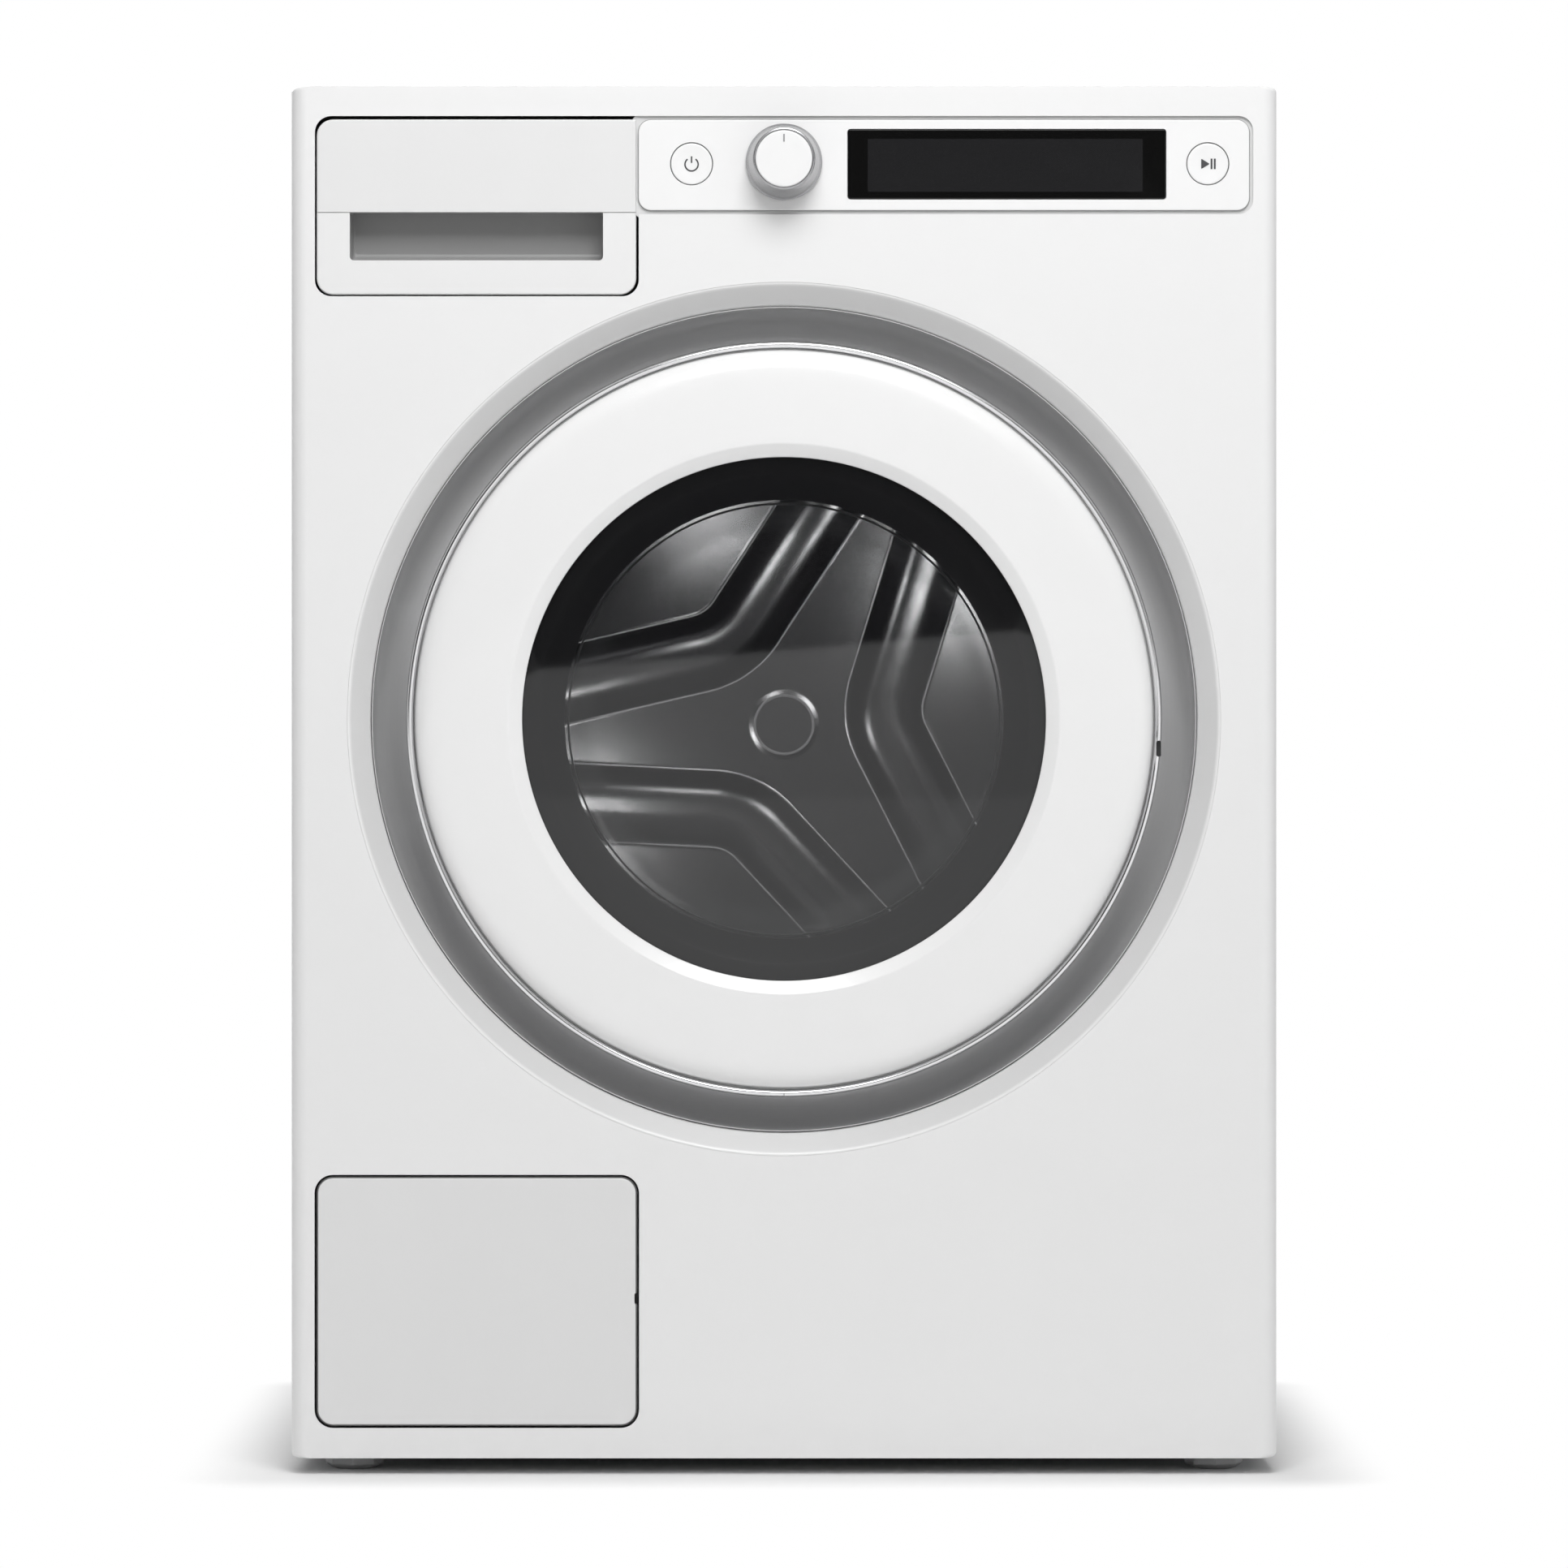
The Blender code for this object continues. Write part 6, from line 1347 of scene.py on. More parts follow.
@dataclass(frozen=True)
class Cabinet:
    """Steel cabinet: rolled front, door recess, pressed sides, worktop and back.

    Attributes:
        roll: Radius of the rolled side edges.
        corner: Radius of the front's corners, seen from the front.
        flange: Depth of the front's returns.
        mouth: Radius where the recess pressing meets the front.
        hook_slot: Centre and half size of the hook's slot, in x and then in z from the axis.
        lug_slot: The same for the upper lug of the hinge, whose slot the lower one mirrors.
        press: Depth of the field pressed into each side.
        press_margin: Flat border round that field.
        press_corner: Radius of its corners.
        press_slope: Width of its slope.
        top_low: Underside of the worktop.
        top_edge: Radius of the worktop's edges.
        cover_rise: Rise of the rear cover's dome.
        cover_slope: Width of the dome's slope.
        back_holes: x, z and radius of the holes for inlet valve, drain outlet and mains cord.
        bolts: x and z of the transit bolt holes.
    """

    roll: float = 0.010
    corner: float = 0.003
    flange: float = 0.024
    mouth: float = 0.2656
    hook_slot: tuple[float, float, float, float] = (0.205, 0.010, 0.0, 0.0105)
    lug_slot: tuple[float, float, float, float] = (-0.203, 0.006, 0.060, 0.0055)
    press: float = 0.0025
    press_margin: float = 0.075
    press_corner: float = 0.030
    press_slope: float = 0.006
    top_low: float = 0.8285
    top_edge: float = 0.0025
    cover_rise: float = 0.009
    cover_slope: float = 0.0108
    back_holes: tuple[Triple, ...] = ((0.200, 0.770, 0.0134), (-0.205, 0.735, 0.0119),
                                      (-0.120, 0.770, 0.0099))
    bolts: tuple[Pair, ...] = ((0.238, 0.330), (-0.238, 0.330), (0.238, 0.640), (-0.238, 0.640))

    def pan(self, inset: float, back: float) -> bpy.types.Object:
        """Block with rolled side edges.

        Args:
            inset: How far every face lies inside the front's outside.
            back: Depth where it ends.

        Returns:
            The block.
        """
        low, high, half = FLOOR_GAP + inset, CABINET_TOP - inset, HALF_WIDTH - inset
        levels = []
        for side, depth in quarter(self.roll - inset, 12):
            levels.append((Panel(side - half, half - side, low, high, self.corner).outline(5), inset + depth))
        levels.append((Panel(-half, half, low, high, self.corner).outline(5), back))
        return Form("steel_front").levels(levels).object()

    def front(self) -> bpy.types.Object:
        """The steel front with its openings."""
        hole = drill(-OVERRUN, self.flange, self.mouth, (0.0, AXIS_Z))
        gap = Form("gap").prism(OPENINGS.control_outline(), -OVERRUN, 2 * SHEET).object()
        door = OPENINGS.flap.grown(OPENINGS.gap + 0.0002).block("gap", -OVERRUN, 2 * SHEET)
        outside, inside = self.pan(0.0, self.flange), self.pan(SHEET, self.flange + OVERRUN)
        made = cut(outside, [inside, hole, gap, door])
        return dress(bevelled(made, 0.0004, 2, 50.0), FRONT_STEEL, "cabinet", ["front_panel"])

    def recess(self) -> bpy.types.Object:
        """The pressing that the door closes into, with slots for latch and hinge.

        Returns:
            The pressing.
        """
        edge, wall, floor, lip = self.mouth - 0.0001, 0.2516, 0.040, 0.050
        profile = [(edge, 0.0002), (edge - 0.0009, 0.00045), (edge - 0.0020, 0.0011), (wall + 0.0014, 0.0088),
                   (wall + 0.0005, 0.0096), (wall, 0.0106), (wall, floor - 0.004),
                   (wall - 0.0012, floor - 0.0012), (wall - 0.004, floor), (0.1760, floor),
                   (0.1732, floor + 0.0008), (0.1722, floor + 0.0030), (0.172, lip), (0.1732, lip),
                   (0.1734, floor + 0.0034), (0.1742, floor + SHEET + 0.0004), (0.1762, floor + SHEET),
                   (wall + SHEET, floor + SHEET), (wall + SHEET, 0.0108), (edge, SHEET + 0.0006)]
        made = revolved("door_recess", profile)
        tools = []
        x, half_x, z, half_z = self.lug_slot
        for x, half_x, z, half_z in (self.hook_slot, self.lug_slot, (x, half_x, -z, half_z)):
            slot = Panel(x - half_x, x + half_x, AXIS_Z + z - half_z, AXIS_Z + z + half_z, 0.001)
            tools.append(slot.block("slot", floor - OVERRUN, floor + 2 * OVERRUN, 3))
        return dress(cut(made, tools), FRONT_STEEL, "cabinet")

    def side(self, way: int) -> bpy.types.Object:
        """One side with its pressed field.

        Args:
            way: -1 for the left side, 1 for the right.

        Returns:
            The side.
        """
        whole = Panel(depth_y(SHELL_FRONT), depth_y(0.5585), FLOOR_GAP, SHELL_TOP, 0.0015)
        margin = self.press_margin
        field = Panel(whole.left + margin, whole.right - margin, whole.low + margin, whole.high - margin,
                      self.press_corner)
        slope = field.sloped(self.press_slope, self.press, 10)
        outer = [(whole, 0.009), (whole, 0.0010), (whole.grown(-0.0003), 0.0003),
                 (whole.grown(-0.0010), 0.0)] + slope
        inner = [(whole.grown(-SHEET), 0.009), (whole.grown(-SHEET), SHEET)]
        inner += [(shape, inset + SHEET) for shape, inset in slope]
        rings = [[(way * (HALF_WIDTH - inset), y, z) for y, z in shape.outline(8)]
                 for shape, inset in list(reversed(inner)) + outer]
        side = "right" if way > 0 else "left"
        made = Form("side_steel_" + side).loft(rings).object()
        return dress(made, WHITE_STEEL, "cabinet", ["side_panel_" + side])

    def top(self) -> bpy.types.Object:
        """The worktop with rounded edges and a shadow lip underneath."""
        whole = Panel(-HALF_WIDTH, HALF_WIDTH, depth_y(SHELL_FRONT), depth_y(CABINET_DEPTH), 0.004)
        levels = [(whole.grown(-0.0010), self.top_low), (whole.grown(-0.0003), self.top_low + 0.0003),
                  (whole, self.top_low + 0.0010)]
        levels += [(whole.grown(-inset), CABINET_TOP - depth)
                   for inset, depth in reversed(quarter(self.top_edge))]
        rings = [[(x, y, z) for x, y in shape.outline(6)] for shape, z in levels]
        return dress(Form("worktop").loft(rings).object(), LAMINATE, "cabinet", ["top_panel"])

    def back(self) -> bpy.types.Object:
        """The back sheet with its opening and its holes.

        Returns:
            The back sheet.
        """
        near, far = 0.5588, CABINET_DEPTH
        whole = Panel(-HALF_WIDTH, HALF_WIDTH, FLOOR_GAP, SHELL_TOP, 0.003)
        made = whole.block("back_steel", near, far)
        tools = [OPENINGS.rear.block("hole", near - OVERRUN, far + OVERRUN)]
        for x, z, radius in self.back_holes:
            tools.append(drill(near - OVERRUN, far + OVERRUN, radius, (x, z), 40))
        return dress(bevelled(cut(made, tools), 0.0003, 2, 50.0), WHITE_STEEL, "cabinet", ["rear_panel"])

    def caps(self) -> None:
        """The plugs over the four transit bolt holes."""
        base = CABINET_DEPTH
        profile = [(0.0, base + 0.0016), (0.0070, base + 0.0016), (0.0082, base + 0.0026),
                   (0.0110, base + 0.0030), (0.0145, base + 0.0026), (0.0162, base + 0.0012),
                   (0.0165, base + 0.0001), (0.0, base + 0.0001)]
        for number, centre in enumerate(self.bolts):
            cap = revolved(f"transit_cap_{number + 1}", profile, 48, centre, False)
            dress(cap, GREY_PLASTIC, "cabinet")

    def cover(self) -> bpy.types.Object:
        """The rear cover, with a dome that clears the pulley."""
        base, hole = COVER_BASE, OPENINGS.rear
        plate, dome = hole.grown(0.012), hole.grown(-0.0012).sloped(self.cover_slope, self.cover_rise, 12)
        inner = [(shape, base + rise) for shape, rise in dome]
        outer = [(plate, base), (plate, base + SHEET - 0.0003), (plate.grown(-0.0003), base + SHEET)]
        outer += [(shape.grown(SHEET / 2), base + SHEET + rise) for shape, rise in dome]
        made = stacked("cover_steel", list(reversed(inner)) + outer, 12)
        return dress(made, WHITE_STEEL, "cabinet", ["rear_cover"])

    def screws(self) -> None:
        """The screws of the rear cover, of the back sheet and of the worktop."""
        around = [(x, z) for x in (-0.191, 0.191) for z in (0.289, 0.4475, 0.606)]
        around += [(0.0, 0.229), (0.0, 0.666)]
        edge = [(x, z) for x in (-0.2900, 0.2900) for z in (0.045, 0.230, 0.420, 0.610, 0.790)]
        edge += [(x, 0.8190) for x in (-0.215, -0.040, 0.120)]
        for name, spots, depth, screw, seed, node in (
                ("cover_screws", around, COVER_BASE + SHEET, Screw(), 5, "rear_cover"),
                ("back_screws", edge, CABINET_DEPTH, Screw(0.0038, 0.0018), 8, "rear_panel")):
            places = [(x, depth_y(depth), z) for x, z in spots]
            made = scattered(name, places, screw.shape(), ZINC_STEEL, seed)
            dress(made, ZINC_STEEL, "cabinet")

    def build(self) -> None:
        """Builds the cabinet."""
        self.front()
        self.recess()
        self.side(-1)
        self.side(1)
        self.top()
        self.back()
        self.caps()
        self.cover()
        self.screws()


# Controls


def line_on_front(name: str, points: Sequence[Pair], half: float, depth: float,
                  thick: float) -> bpy.types.Object:
    """A flat stroke laid along points on the front.

    Args:
        name: The stroke's name.
        points: (x, z) along its middle.
        half: Half its width.
        depth: Depth of its face.
        thick: Its thickness.

    Returns:
        The stroke.
    """
    return Form(name).prism(strip(points, half), depth, depth + thick).object()


class Mark(Enum):
    """What is printed on a button."""

    POWER = "power"
    PLAY = "play"


@dataclass(frozen=True)
class Button:
    """A round push button with a dished face and a generic mark.

    Attributes:
        name: The CAD node.
        body: The body it rides on.
        x: Its centre.
        mark: The mark on its face.
        z: Height of its centre.
        radius: Radius of its face.
        ink: Thickness of the printed mark.
    """

    name: str
    body: str
    x: float
    mark: Mark
    z: float = BUTTON_Z
    radius: float = 0.0126
    ink: float = 0.0002

    def face(self) -> bpy.types.Object:
        """The cap with its stem."""
        edge = self.radius
        profile = [(0.0, 0.00060), (0.0030, 0.00056), (0.0064, 0.00044), (0.0095, 0.00022),
                   (edge - 0.0011, 0.00008), (edge - 0.0005, 0.00016), (edge - 0.00012, 0.00045),
                   (edge, 0.0009), (edge, 0.006), (0.003, 0.006), (0.003, 0.0105), (0.0, 0.0105)]
        made = revolved(self.name + "_cap", profile, 96, (self.x, self.z), False)
        return dress(made, WHITE_PLASTIC, self.body, [self.name])

    def strokes(self) -> list[bpy.types.Object]:
        """The printed mark, as thin inlaid strokes.

        Returns:
            The strokes.
        """
        depth = 0.00035
        if self.mark is Mark.POWER:
            turns = [math.radians(128 + 284 * step / 40) for step in range(41)]
            arc = [(self.x + 0.0040 * math.cos(turn), self.z - 0.0003 + 0.0040 * math.sin(turn))
                   for turn in turns]
            bar = [(self.x, self.z + 0.0006), (self.x, self.z + 0.0046)]
            return [line_on_front("power_arc", arc, 0.00045, depth, self.ink),
                    line_on_front("power_bar", bar, 0.00045, depth, self.ink)]
        centre = self.x - 0.0012
        triangle = rounded([(centre - 0.0028, self.z - 0.0032, 0.0003), (centre + 0.0024, self.z, 0.0003),
                            (centre - 0.0028, self.z + 0.0032, 0.0003)], 3)
        bars = []
        for offset in (0.0023, 0.0043):
            bar = [(self.x + offset, self.z - 0.0032), (self.x + offset, self.z + 0.0032)]
            bars.append(line_on_front("pause_bar", bar, 0.00055, depth, self.ink))
        return [Form("play_mark").prism(triangle, depth, depth + self.ink).object(), *bars]

    def build(self) -> None:
        """Builds the button."""
        self.face()
        for number, stroke in enumerate(self.strokes()):
            stroke.name = f"{self.name}_mark_{number + 1}"
            dress(stroke, ICON_INK, self.body)


@dataclass(frozen=True)
class Knob:
    """The programme knob: silver skirt, white face and a plain pointer line.

    Attributes:
        z: Height of its axis.
        face: Radius of the white face.
        skirt: Largest radius of the skirt.
        proud: How far its face stands before the front.
    """

    z: float = KNOB_Z
    face: float = 0.0172
    skirt: float = 0.0232
    proud: float = 0.0240

    def body(self) -> bpy.types.Object:
        """The tapered silver skirt with the groove at its foot, and the shaft.

        Returns:
            The skirt.
        """
        profile = [(self.face + 0.0001, -0.0228), (self.face + 0.0003, -0.0236),
                   (self.face + 0.0008, -self.proud), (0.0185, -0.0238), (0.0189, -0.0230), (0.0192, -0.0215),
                   (0.0204, -0.0150), (0.02155, -0.0085), (0.02195, -0.0058), (0.0222, -0.0046),
                   (0.0227, -0.0038), (self.skirt, -0.0031), (self.skirt, -0.0009), (0.0229, -0.0006),
                   (0.0202, -0.0006), (0.0163, -0.0170), (0.0030, -0.0170), (0.0030, 0.0150), (0.0, 0.0150)]
        profile += [(0.0, -0.0222), (self.face, -0.0222)]
        made = revolved("knob_skirt", profile, 144, (0.0, self.z))
        return dress(made, KNOB_SILVER, "knob", ["program_knob"])

    def cap(self) -> bpy.types.Object:
        """The white face, slightly dished."""
        profile = [(0.0, -0.02340), (0.0080, -0.02342), (0.0140, -0.02352), (0.0163, -0.02364),
                   (self.face - 0.0004, -0.0235), (self.face - 0.00005, -0.0231),
                   (self.face - 0.00005, -0.0223), (0.0, -0.0223)]
        made = revolved("knob_face", profile, 144, (0.0, self.z), False)
        return dress(made, DOOR_WHITE, "knob")

    def pointer(self) -> bpy.types.Object:
        """A short raised line that shows where the knob points."""
        line = [(0.0, self.z + 0.0102), (0.0, self.z + 0.0148)]
        made = line_on_front("knob_pointer", line, 0.00045, -0.02372, 0.0004)
        return dress(made, ICON_GREY, "knob")

    def build(self) -> None:
        """Builds the knob."""
        self.body()
        self.cap()
        self.pointer()


@dataclass(frozen=True)
class Fascia:
    """The control fascia with its display.

    Attributes:
        plate: The fascia's outline.
        glass: The display's outline.
        lit: The part of the display behind which the segments lie.
        buttons: x of each button's hole.
        hole: Radius of those holes.
        knob_hole: Radius of the hole for the knob's shaft.
    """

    plate: Panel = Panel(-0.0888, 0.2832, 0.7683, 0.8240, 0.008)
    glass: Panel = Panel(0.0388, 0.2321, 0.7755, 0.8178, 0.0017)
    lit: Panel = Panel(0.0510, 0.2180, 0.7800, 0.8120, 0.0008)
    buttons: tuple[float, float] = (-0.0562, 0.2576)
    hole: float = 0.0131
    knob_hole: float = 0.0084

    def panel(self) -> bpy.types.Object:
        """The white plate with its pocket and holes."""
        levels = [(self.plate.grown(-0.0011), 0.0), (self.plate.grown(-0.0004), 0.00015),
                  (self.plate, 0.0007), (self.plate, 0.0018), (self.plate.grown(0.006), 0.0018),
                  (self.plate.grown(0.006), 0.0040)]
        made = stacked("fascia_plate", levels, 8)
        tools = [self.glass.grown(0.0003).block("pocket", -OVERRUN, 0.0025, 5)]
        for x, z, radius in ((self.buttons[0], BUTTON_Z, self.hole), (self.buttons[1], BUTTON_Z, self.hole),
                             (0.0, KNOB_Z, self.knob_hole)):
            tools.append(drill(-OVERRUN, 2 * OVERRUN + 0.002, radius, (x, z), 96))
        return dress(bevelled(cut(made, tools), 0.00025, 2, 50.0), FASCIA_WHITE, "cabinet",
                     ["control_fascia"])

    def rings(self) -> None:
        """The shallow grey ring round each button."""
        profile = [(0.01305, 0.0012), (0.01305, 0.0008), (0.01285, 0.0007), (0.01285, 0.0012)]
        for number, x in enumerate(self.buttons):
            ring = revolved(f"button_ring_{number + 1}", profile, 96, (x, BUTTON_Z))
            dress(ring, GREY_PLASTIC, "cabinet")

    def display(self) -> None:
        """The black glass and the faintly lighter field of its segments."""
        shapes = [(self.glass.grown(-0.0007), 0.00020), (self.glass.grown(-0.0002), 0.00032),
                  (self.glass, 0.0008), (self.glass, 0.0022)]
        dress(stacked("display_pane", shapes, 5), BLACK_GLASS, "cabinet", ["display_window"])
        field = self.lit.block("display_field", 0.00016, 0.00021, 3)
        dress(field, DISPLAY_FIELD, "cabinet")

    def build(self) -> None:
        """Builds the fascia."""
        self.panel()
        self.rings()
        self.display()
        for button in (Button("power_button", "power", self.buttons[0], Mark.POWER),
                       Button("start_button", "start", self.buttons[1], Mark.PLAY)):
            button.build()
        Knob().build()


@dataclass(frozen=True)
class Drawer:
    """The detergent drawer: front with a grip recess, and its tray.

    Attributes:
        left: Left edge of the front.
        right: Right edge of the front.
        low: Lower edge.
        high: Upper edge.
        radius: Radius of its corners.
        thick: Depth of the front.
        groove: Height of the thin line across it.
        grip: The grip recess.
        grip_depth: Depth of that recess.
    """

    left: float = OPENINGS.drawer.left
    right: float = OPENINGS.drawer.right
    low: float = OPENINGS.drawer.low
    high: float = 0.8240
    radius: float = OPENINGS.drawer.radius
    thick: float = 0.026
    groove: float = OPENINGS.fascia.low
    grip: Panel = Panel(-0.2640, -0.1100, 0.7382, 0.7673, 0.006)
    grip_depth: float = 0.0215

    def outline(self, inset: float) -> list[Pair]:
        """Outline of the front, moved inward.

        Args:
            inset: How far.

        Returns:
            The points of the outline.
        """
        bend, square = self.radius - inset, 0.0008
        left, right, low, high = self.left + inset, self.right - inset, self.low + inset, self.high - inset
        corners = [(left, low, bend), (right, low, bend), (right, high, square), (left, high, bend)]
        return rounded(corners, 8)

    def scoop(self) -> bpy.types.Object:
        """What the grip takes out: a pocket with a sloped floor that runs up behind the lip.

        Returns:
            The cutter.
        """
        grip, back, behind = self.grip, self.grip_depth, 0.7753
        low = rounded([(grip.left, grip.low, 0.0024), (grip.right, grip.low, 0.0024),
                       (grip.right, grip.high, 0.0005), (grip.left, grip.high, 0.0005)], 6)
        inner = rounded([(grip.left + 0.002, grip.low + 0.006, 0.002),
                         (grip.right - 0.002, grip.low + 0.006, 0.002),
                         (grip.right - 0.002, grip.high, 0.0005), (grip.left + 0.002, grip.high, 0.0005)], 6)
        levels = [(low, -OVERRUN), (low, 0.0012)]
        for step in range(1, 9):
            share = step / 8
            mixed = [(a[0] + (b[0] - a[0]) * share ** 3, a[1] + (b[1] - a[1]) * share ** 3)
                     for a, b in zip(low, inner)]
            levels.append((mixed, 0.0012 + (back - 0.0012) * math.sin(share * math.pi / 2)))
        pocket = Form("scoop").levels(levels).object()
        room = Panel(grip.left + 0.001, grip.right - 0.001, grip.low + 0.009, behind, 0.003)
        return cut(pocket, [room.block("scoop_top", 0.0040, back - 0.0005, 5)], "UNION")

    def front(self) -> bpy.types.Object:
        """The drawer front, hollow from behind."""
        levels = [(self.outline(0.0011), 0.0), (self.outline(0.0004), 0.00025), (self.outline(0.0), 0.0011),
                  (self.outline(0.0), self.thick)]
        made = Form("drawer_face").levels(levels).object()
        line = Panel(self.left - 0.002, self.right + 0.002, self.groove - 0.00028, self.groove + 0.00028, 0.0)
        mark = line.block("groove", -OVERRUN, 0.00045, 1)
        hollow = Form("hollow").prism(self.outline(0.0028), 0.0235, self.thick + OVERRUN).object()
        made = cut(made, [self.scoop(), hollow, mark])
        return dress(bevelled(made, 0.00022, 2, 50.0), DRAWER_WHITE, "drawer", ["drawer_front"])

    def build(self) -> None:
        """Builds the drawer."""
        self.front()
        dress_softened("drawer_tray", "tray", 0.0007, GREY_PLASTIC, "drawer")


@dataclass(frozen=True)
class Flap:
    """The service flap with its small finger notch.

    Attributes:
        plate: The flap's outline.
        thick: Its thickness.
        notch: Height of the notch in its right edge.
    """

    plate: Panel = OPENINGS.flap
    thick: float = 0.0025
    notch: float = 0.107

    def build(self) -> None:
        """Builds the flap, its frame and the filter behind it."""
        shapes = [(self.plate.grown(-0.0017), 0.0), (self.plate.grown(-0.0013), 0.0001),
                  (self.plate.grown(-0.0007), 0.0005), (self.plate, 0.0012), (self.plate, self.thick)]
        made = stacked("flap_plate", shapes, 10)
        edge = self.plate.right
        notch = Panel(edge - 0.0016, edge + 0.002, self.notch - 0.0035, self.notch + 0.0035, 0.0012)
        tool = notch.block("notch", -OVERRUN, self.thick + OVERRUN, 4)
        dress(bevelled(cut(made, [tool]), 0.0002, 2, 50.0), FLAP_WHITE, "flap", ["service_flap"])
        dress_softened("flap_frame", "flap_well", 0.0005, GREY_PLASTIC, "cabinet")
        dress_softened("pump_filter", "filter_cap", 0.0008, DARK_PLASTIC, "filter")


# Door


@dataclass(frozen=True)
class Door:
    """The round door and the cove ring that it closes against.

    Attributes:
        cove_centre: (radius, depth) of the cove's centre.
        cove: Radius of the cove's section.
        window: Radius of the window's seat.
        pane: Thickness of the window.
        dome: Rise of the window's middle over its edge.
        dome_edge: Depth of the dome's edge.
        notch: Heights of the notch in the bead, from the axis.
        split: Half width of the bead's joint at the bottom.
        lug_x: Right edge of the rooms for the hinge's lugs.
        lug_z: Heights of the lugs, from the axis.
        lug_half: Half height of those rooms.
    """

    cove_centre: Pair = (0.2300, 0.0172)
    cove: float = 0.0205
    window: float = 0.1628
    pane: float = 0.0028
    dome: float = 0.0061
    dome_edge: float = -0.0034
    notch: Pair = (-0.023, -0.013)
    split: float = 0.0003
    lug_x: float = -0.2060
    lug_z: float = 0.060
    lug_half: float = 0.0060

    def surround(self) -> bpy.types.Object:
        """The concave silver ring fixed in the recess."""
        x, depth = self.cove_centre
        arc = [(x + self.cove * math.cos(turn), depth + self.cove * math.sin(turn))
               for turn in (math.pi / 2 * step / 24 for step in range(25))]
        profile = [(0.2513, 0.0090), (0.2511, 0.0086), (0.2507, 0.0086)] + arc
        profile += [(0.2222, 0.0377), (0.2220, 0.0379), (0.2220, 0.0397), (0.2513, 0.0397)]
        made = revolved("cove_ring", profile)
        return dress(made, COVE_SILVER, "cabinet", ["door_surround"])

    def lug_rooms(self, near: float, far: float) -> list[bpy.types.Object]:
        """Cutters for the hinge's lugs.

        Args:
            near: Depth where they start.
            far: Depth where they end.

        Returns:
            One block for each lug.
        """
        tools = []
        for point in (self.lug_z, -self.lug_z):
            room = Panel(-0.240, self.lug_x, AXIS_Z + point - self.lug_half, AXIS_Z + point + self.lug_half,
                         0.0003)
            tools.append(room.block("lug_room", near, far, 2))
        return tools

    def ring(self) -> bpy.types.Object:
        """The white ring round the window, with rounded shoulders."""
        profile = [(0.1590, -0.00500), (0.15915, -0.00545), (0.15965, -0.00575), (0.1630, -0.00760),
                   (0.1664, -0.00935), (0.1672, -0.00968), (0.1681, -0.00980), (0.1750, -0.00962),
                   (0.1900, -0.00900), (0.2050, -0.00800), (0.2120, -0.00725), (0.2155, -0.00655),
                   (0.2185, -0.00550), (0.2210, -0.00395), (0.2229, -0.00190), (0.2241, 0.00040),
                   (0.22478, 0.00290), (0.2250, 0.00560), (0.2250, 0.00900), (0.2225, 0.00900),
                   (0.2225, 0.0034), (0.21275, -0.0033), (0.16925, -0.0073), (0.1656, 0.0060),
                   (0.1631, 0.0060), (0.1631, -0.0037), (0.1590, -0.0037)]
        made = revolved("door_front_ring", profile)
        return dress(cut(made, self.lug_rooms(0.0060, 0.012)), DOOR_WHITE, "door", ["door_ring"])

    def bead(self) -> bpy.types.Object:
        """The bright bead, with its joint at the bottom and its notch at the latch side, where a dark block
        paints the shade in the gap.

        Returns:
            The bead.
        """
        section = [(0.22545, 0.0016), (0.2257, 0.0004), (0.2262, -0.0007), (0.2270, -0.00135),
                   (0.2279, -0.00142), (0.2287, -0.00105), (0.2294, -0.0001), (0.2298, 0.0012),
                   (0.2300, 0.0028), (0.2300, 0.0070), (0.2297, 0.0079), (0.22862, 0.0090), (0.22545, 0.0090)]
        made = revolved("door_trim_bead", section)
        split = Panel(-self.split, self.split, AXIS_Z - 0.232, AXIS_Z - 0.2248, 0.0)
        notch = Panel(0.2262, 0.2330, AXIS_Z + self.notch[0], AXIS_Z + self.notch[1], 0.0016)
        tools = [split.block("split", -0.004, 0.012, 1), notch.block("notch", -0.004, 0.012, 5),
                 *self.lug_rooms(0.0056, 0.012)]
        # Painted shade: a dark block fills the notch's gap.
        inlay = Panel(notch.left + 0.0002, notch.right - 0.0036, notch.low + 0.0002, notch.high - 0.0002,
                      0.0008)
        dark = bevelled(inlay.block("release_notch", 0.0034, 0.0086, 4), 0.0002, 2, 50.0)
        dress(dark, DARK_PLASTIC, "door")
        return dress(cut(made, tools), BRIGHT_TRIM, "door", ["door_bead"])

    def glass(self) -> bpy.types.Object:
        """The domed tinted window.

        Returns:
            The window.
        """
        radius, thick = self.window, self.pane
        shares = [step / 16 for step in range(17)]
        dome = [(share, self.dome_edge - self.dome * (1 - share ** 2)) for share in shares]
        front = [(radius * share * 0.994, depth) for share, depth in dome]
        front += [(radius - 0.0003, -0.0032), (radius, -0.0028)]
        back = [(radius, thick - 0.0036)]
        back += [(radius * share * 0.99, depth + thick) for share, depth in reversed(dome)]
        made = revolved("window_pane", front + back, closed=False)
        return dress(made, TINTED_GLASS, "door", ["door_window"])

    def inner(self) -> bpy.types.Object:
        """The inner frame with the ears of the hook's pin, its edges softened."""
        return dress_softened("door_inner_frame", "inner_frame", 0.0006, WHITE_PLASTIC, "door")

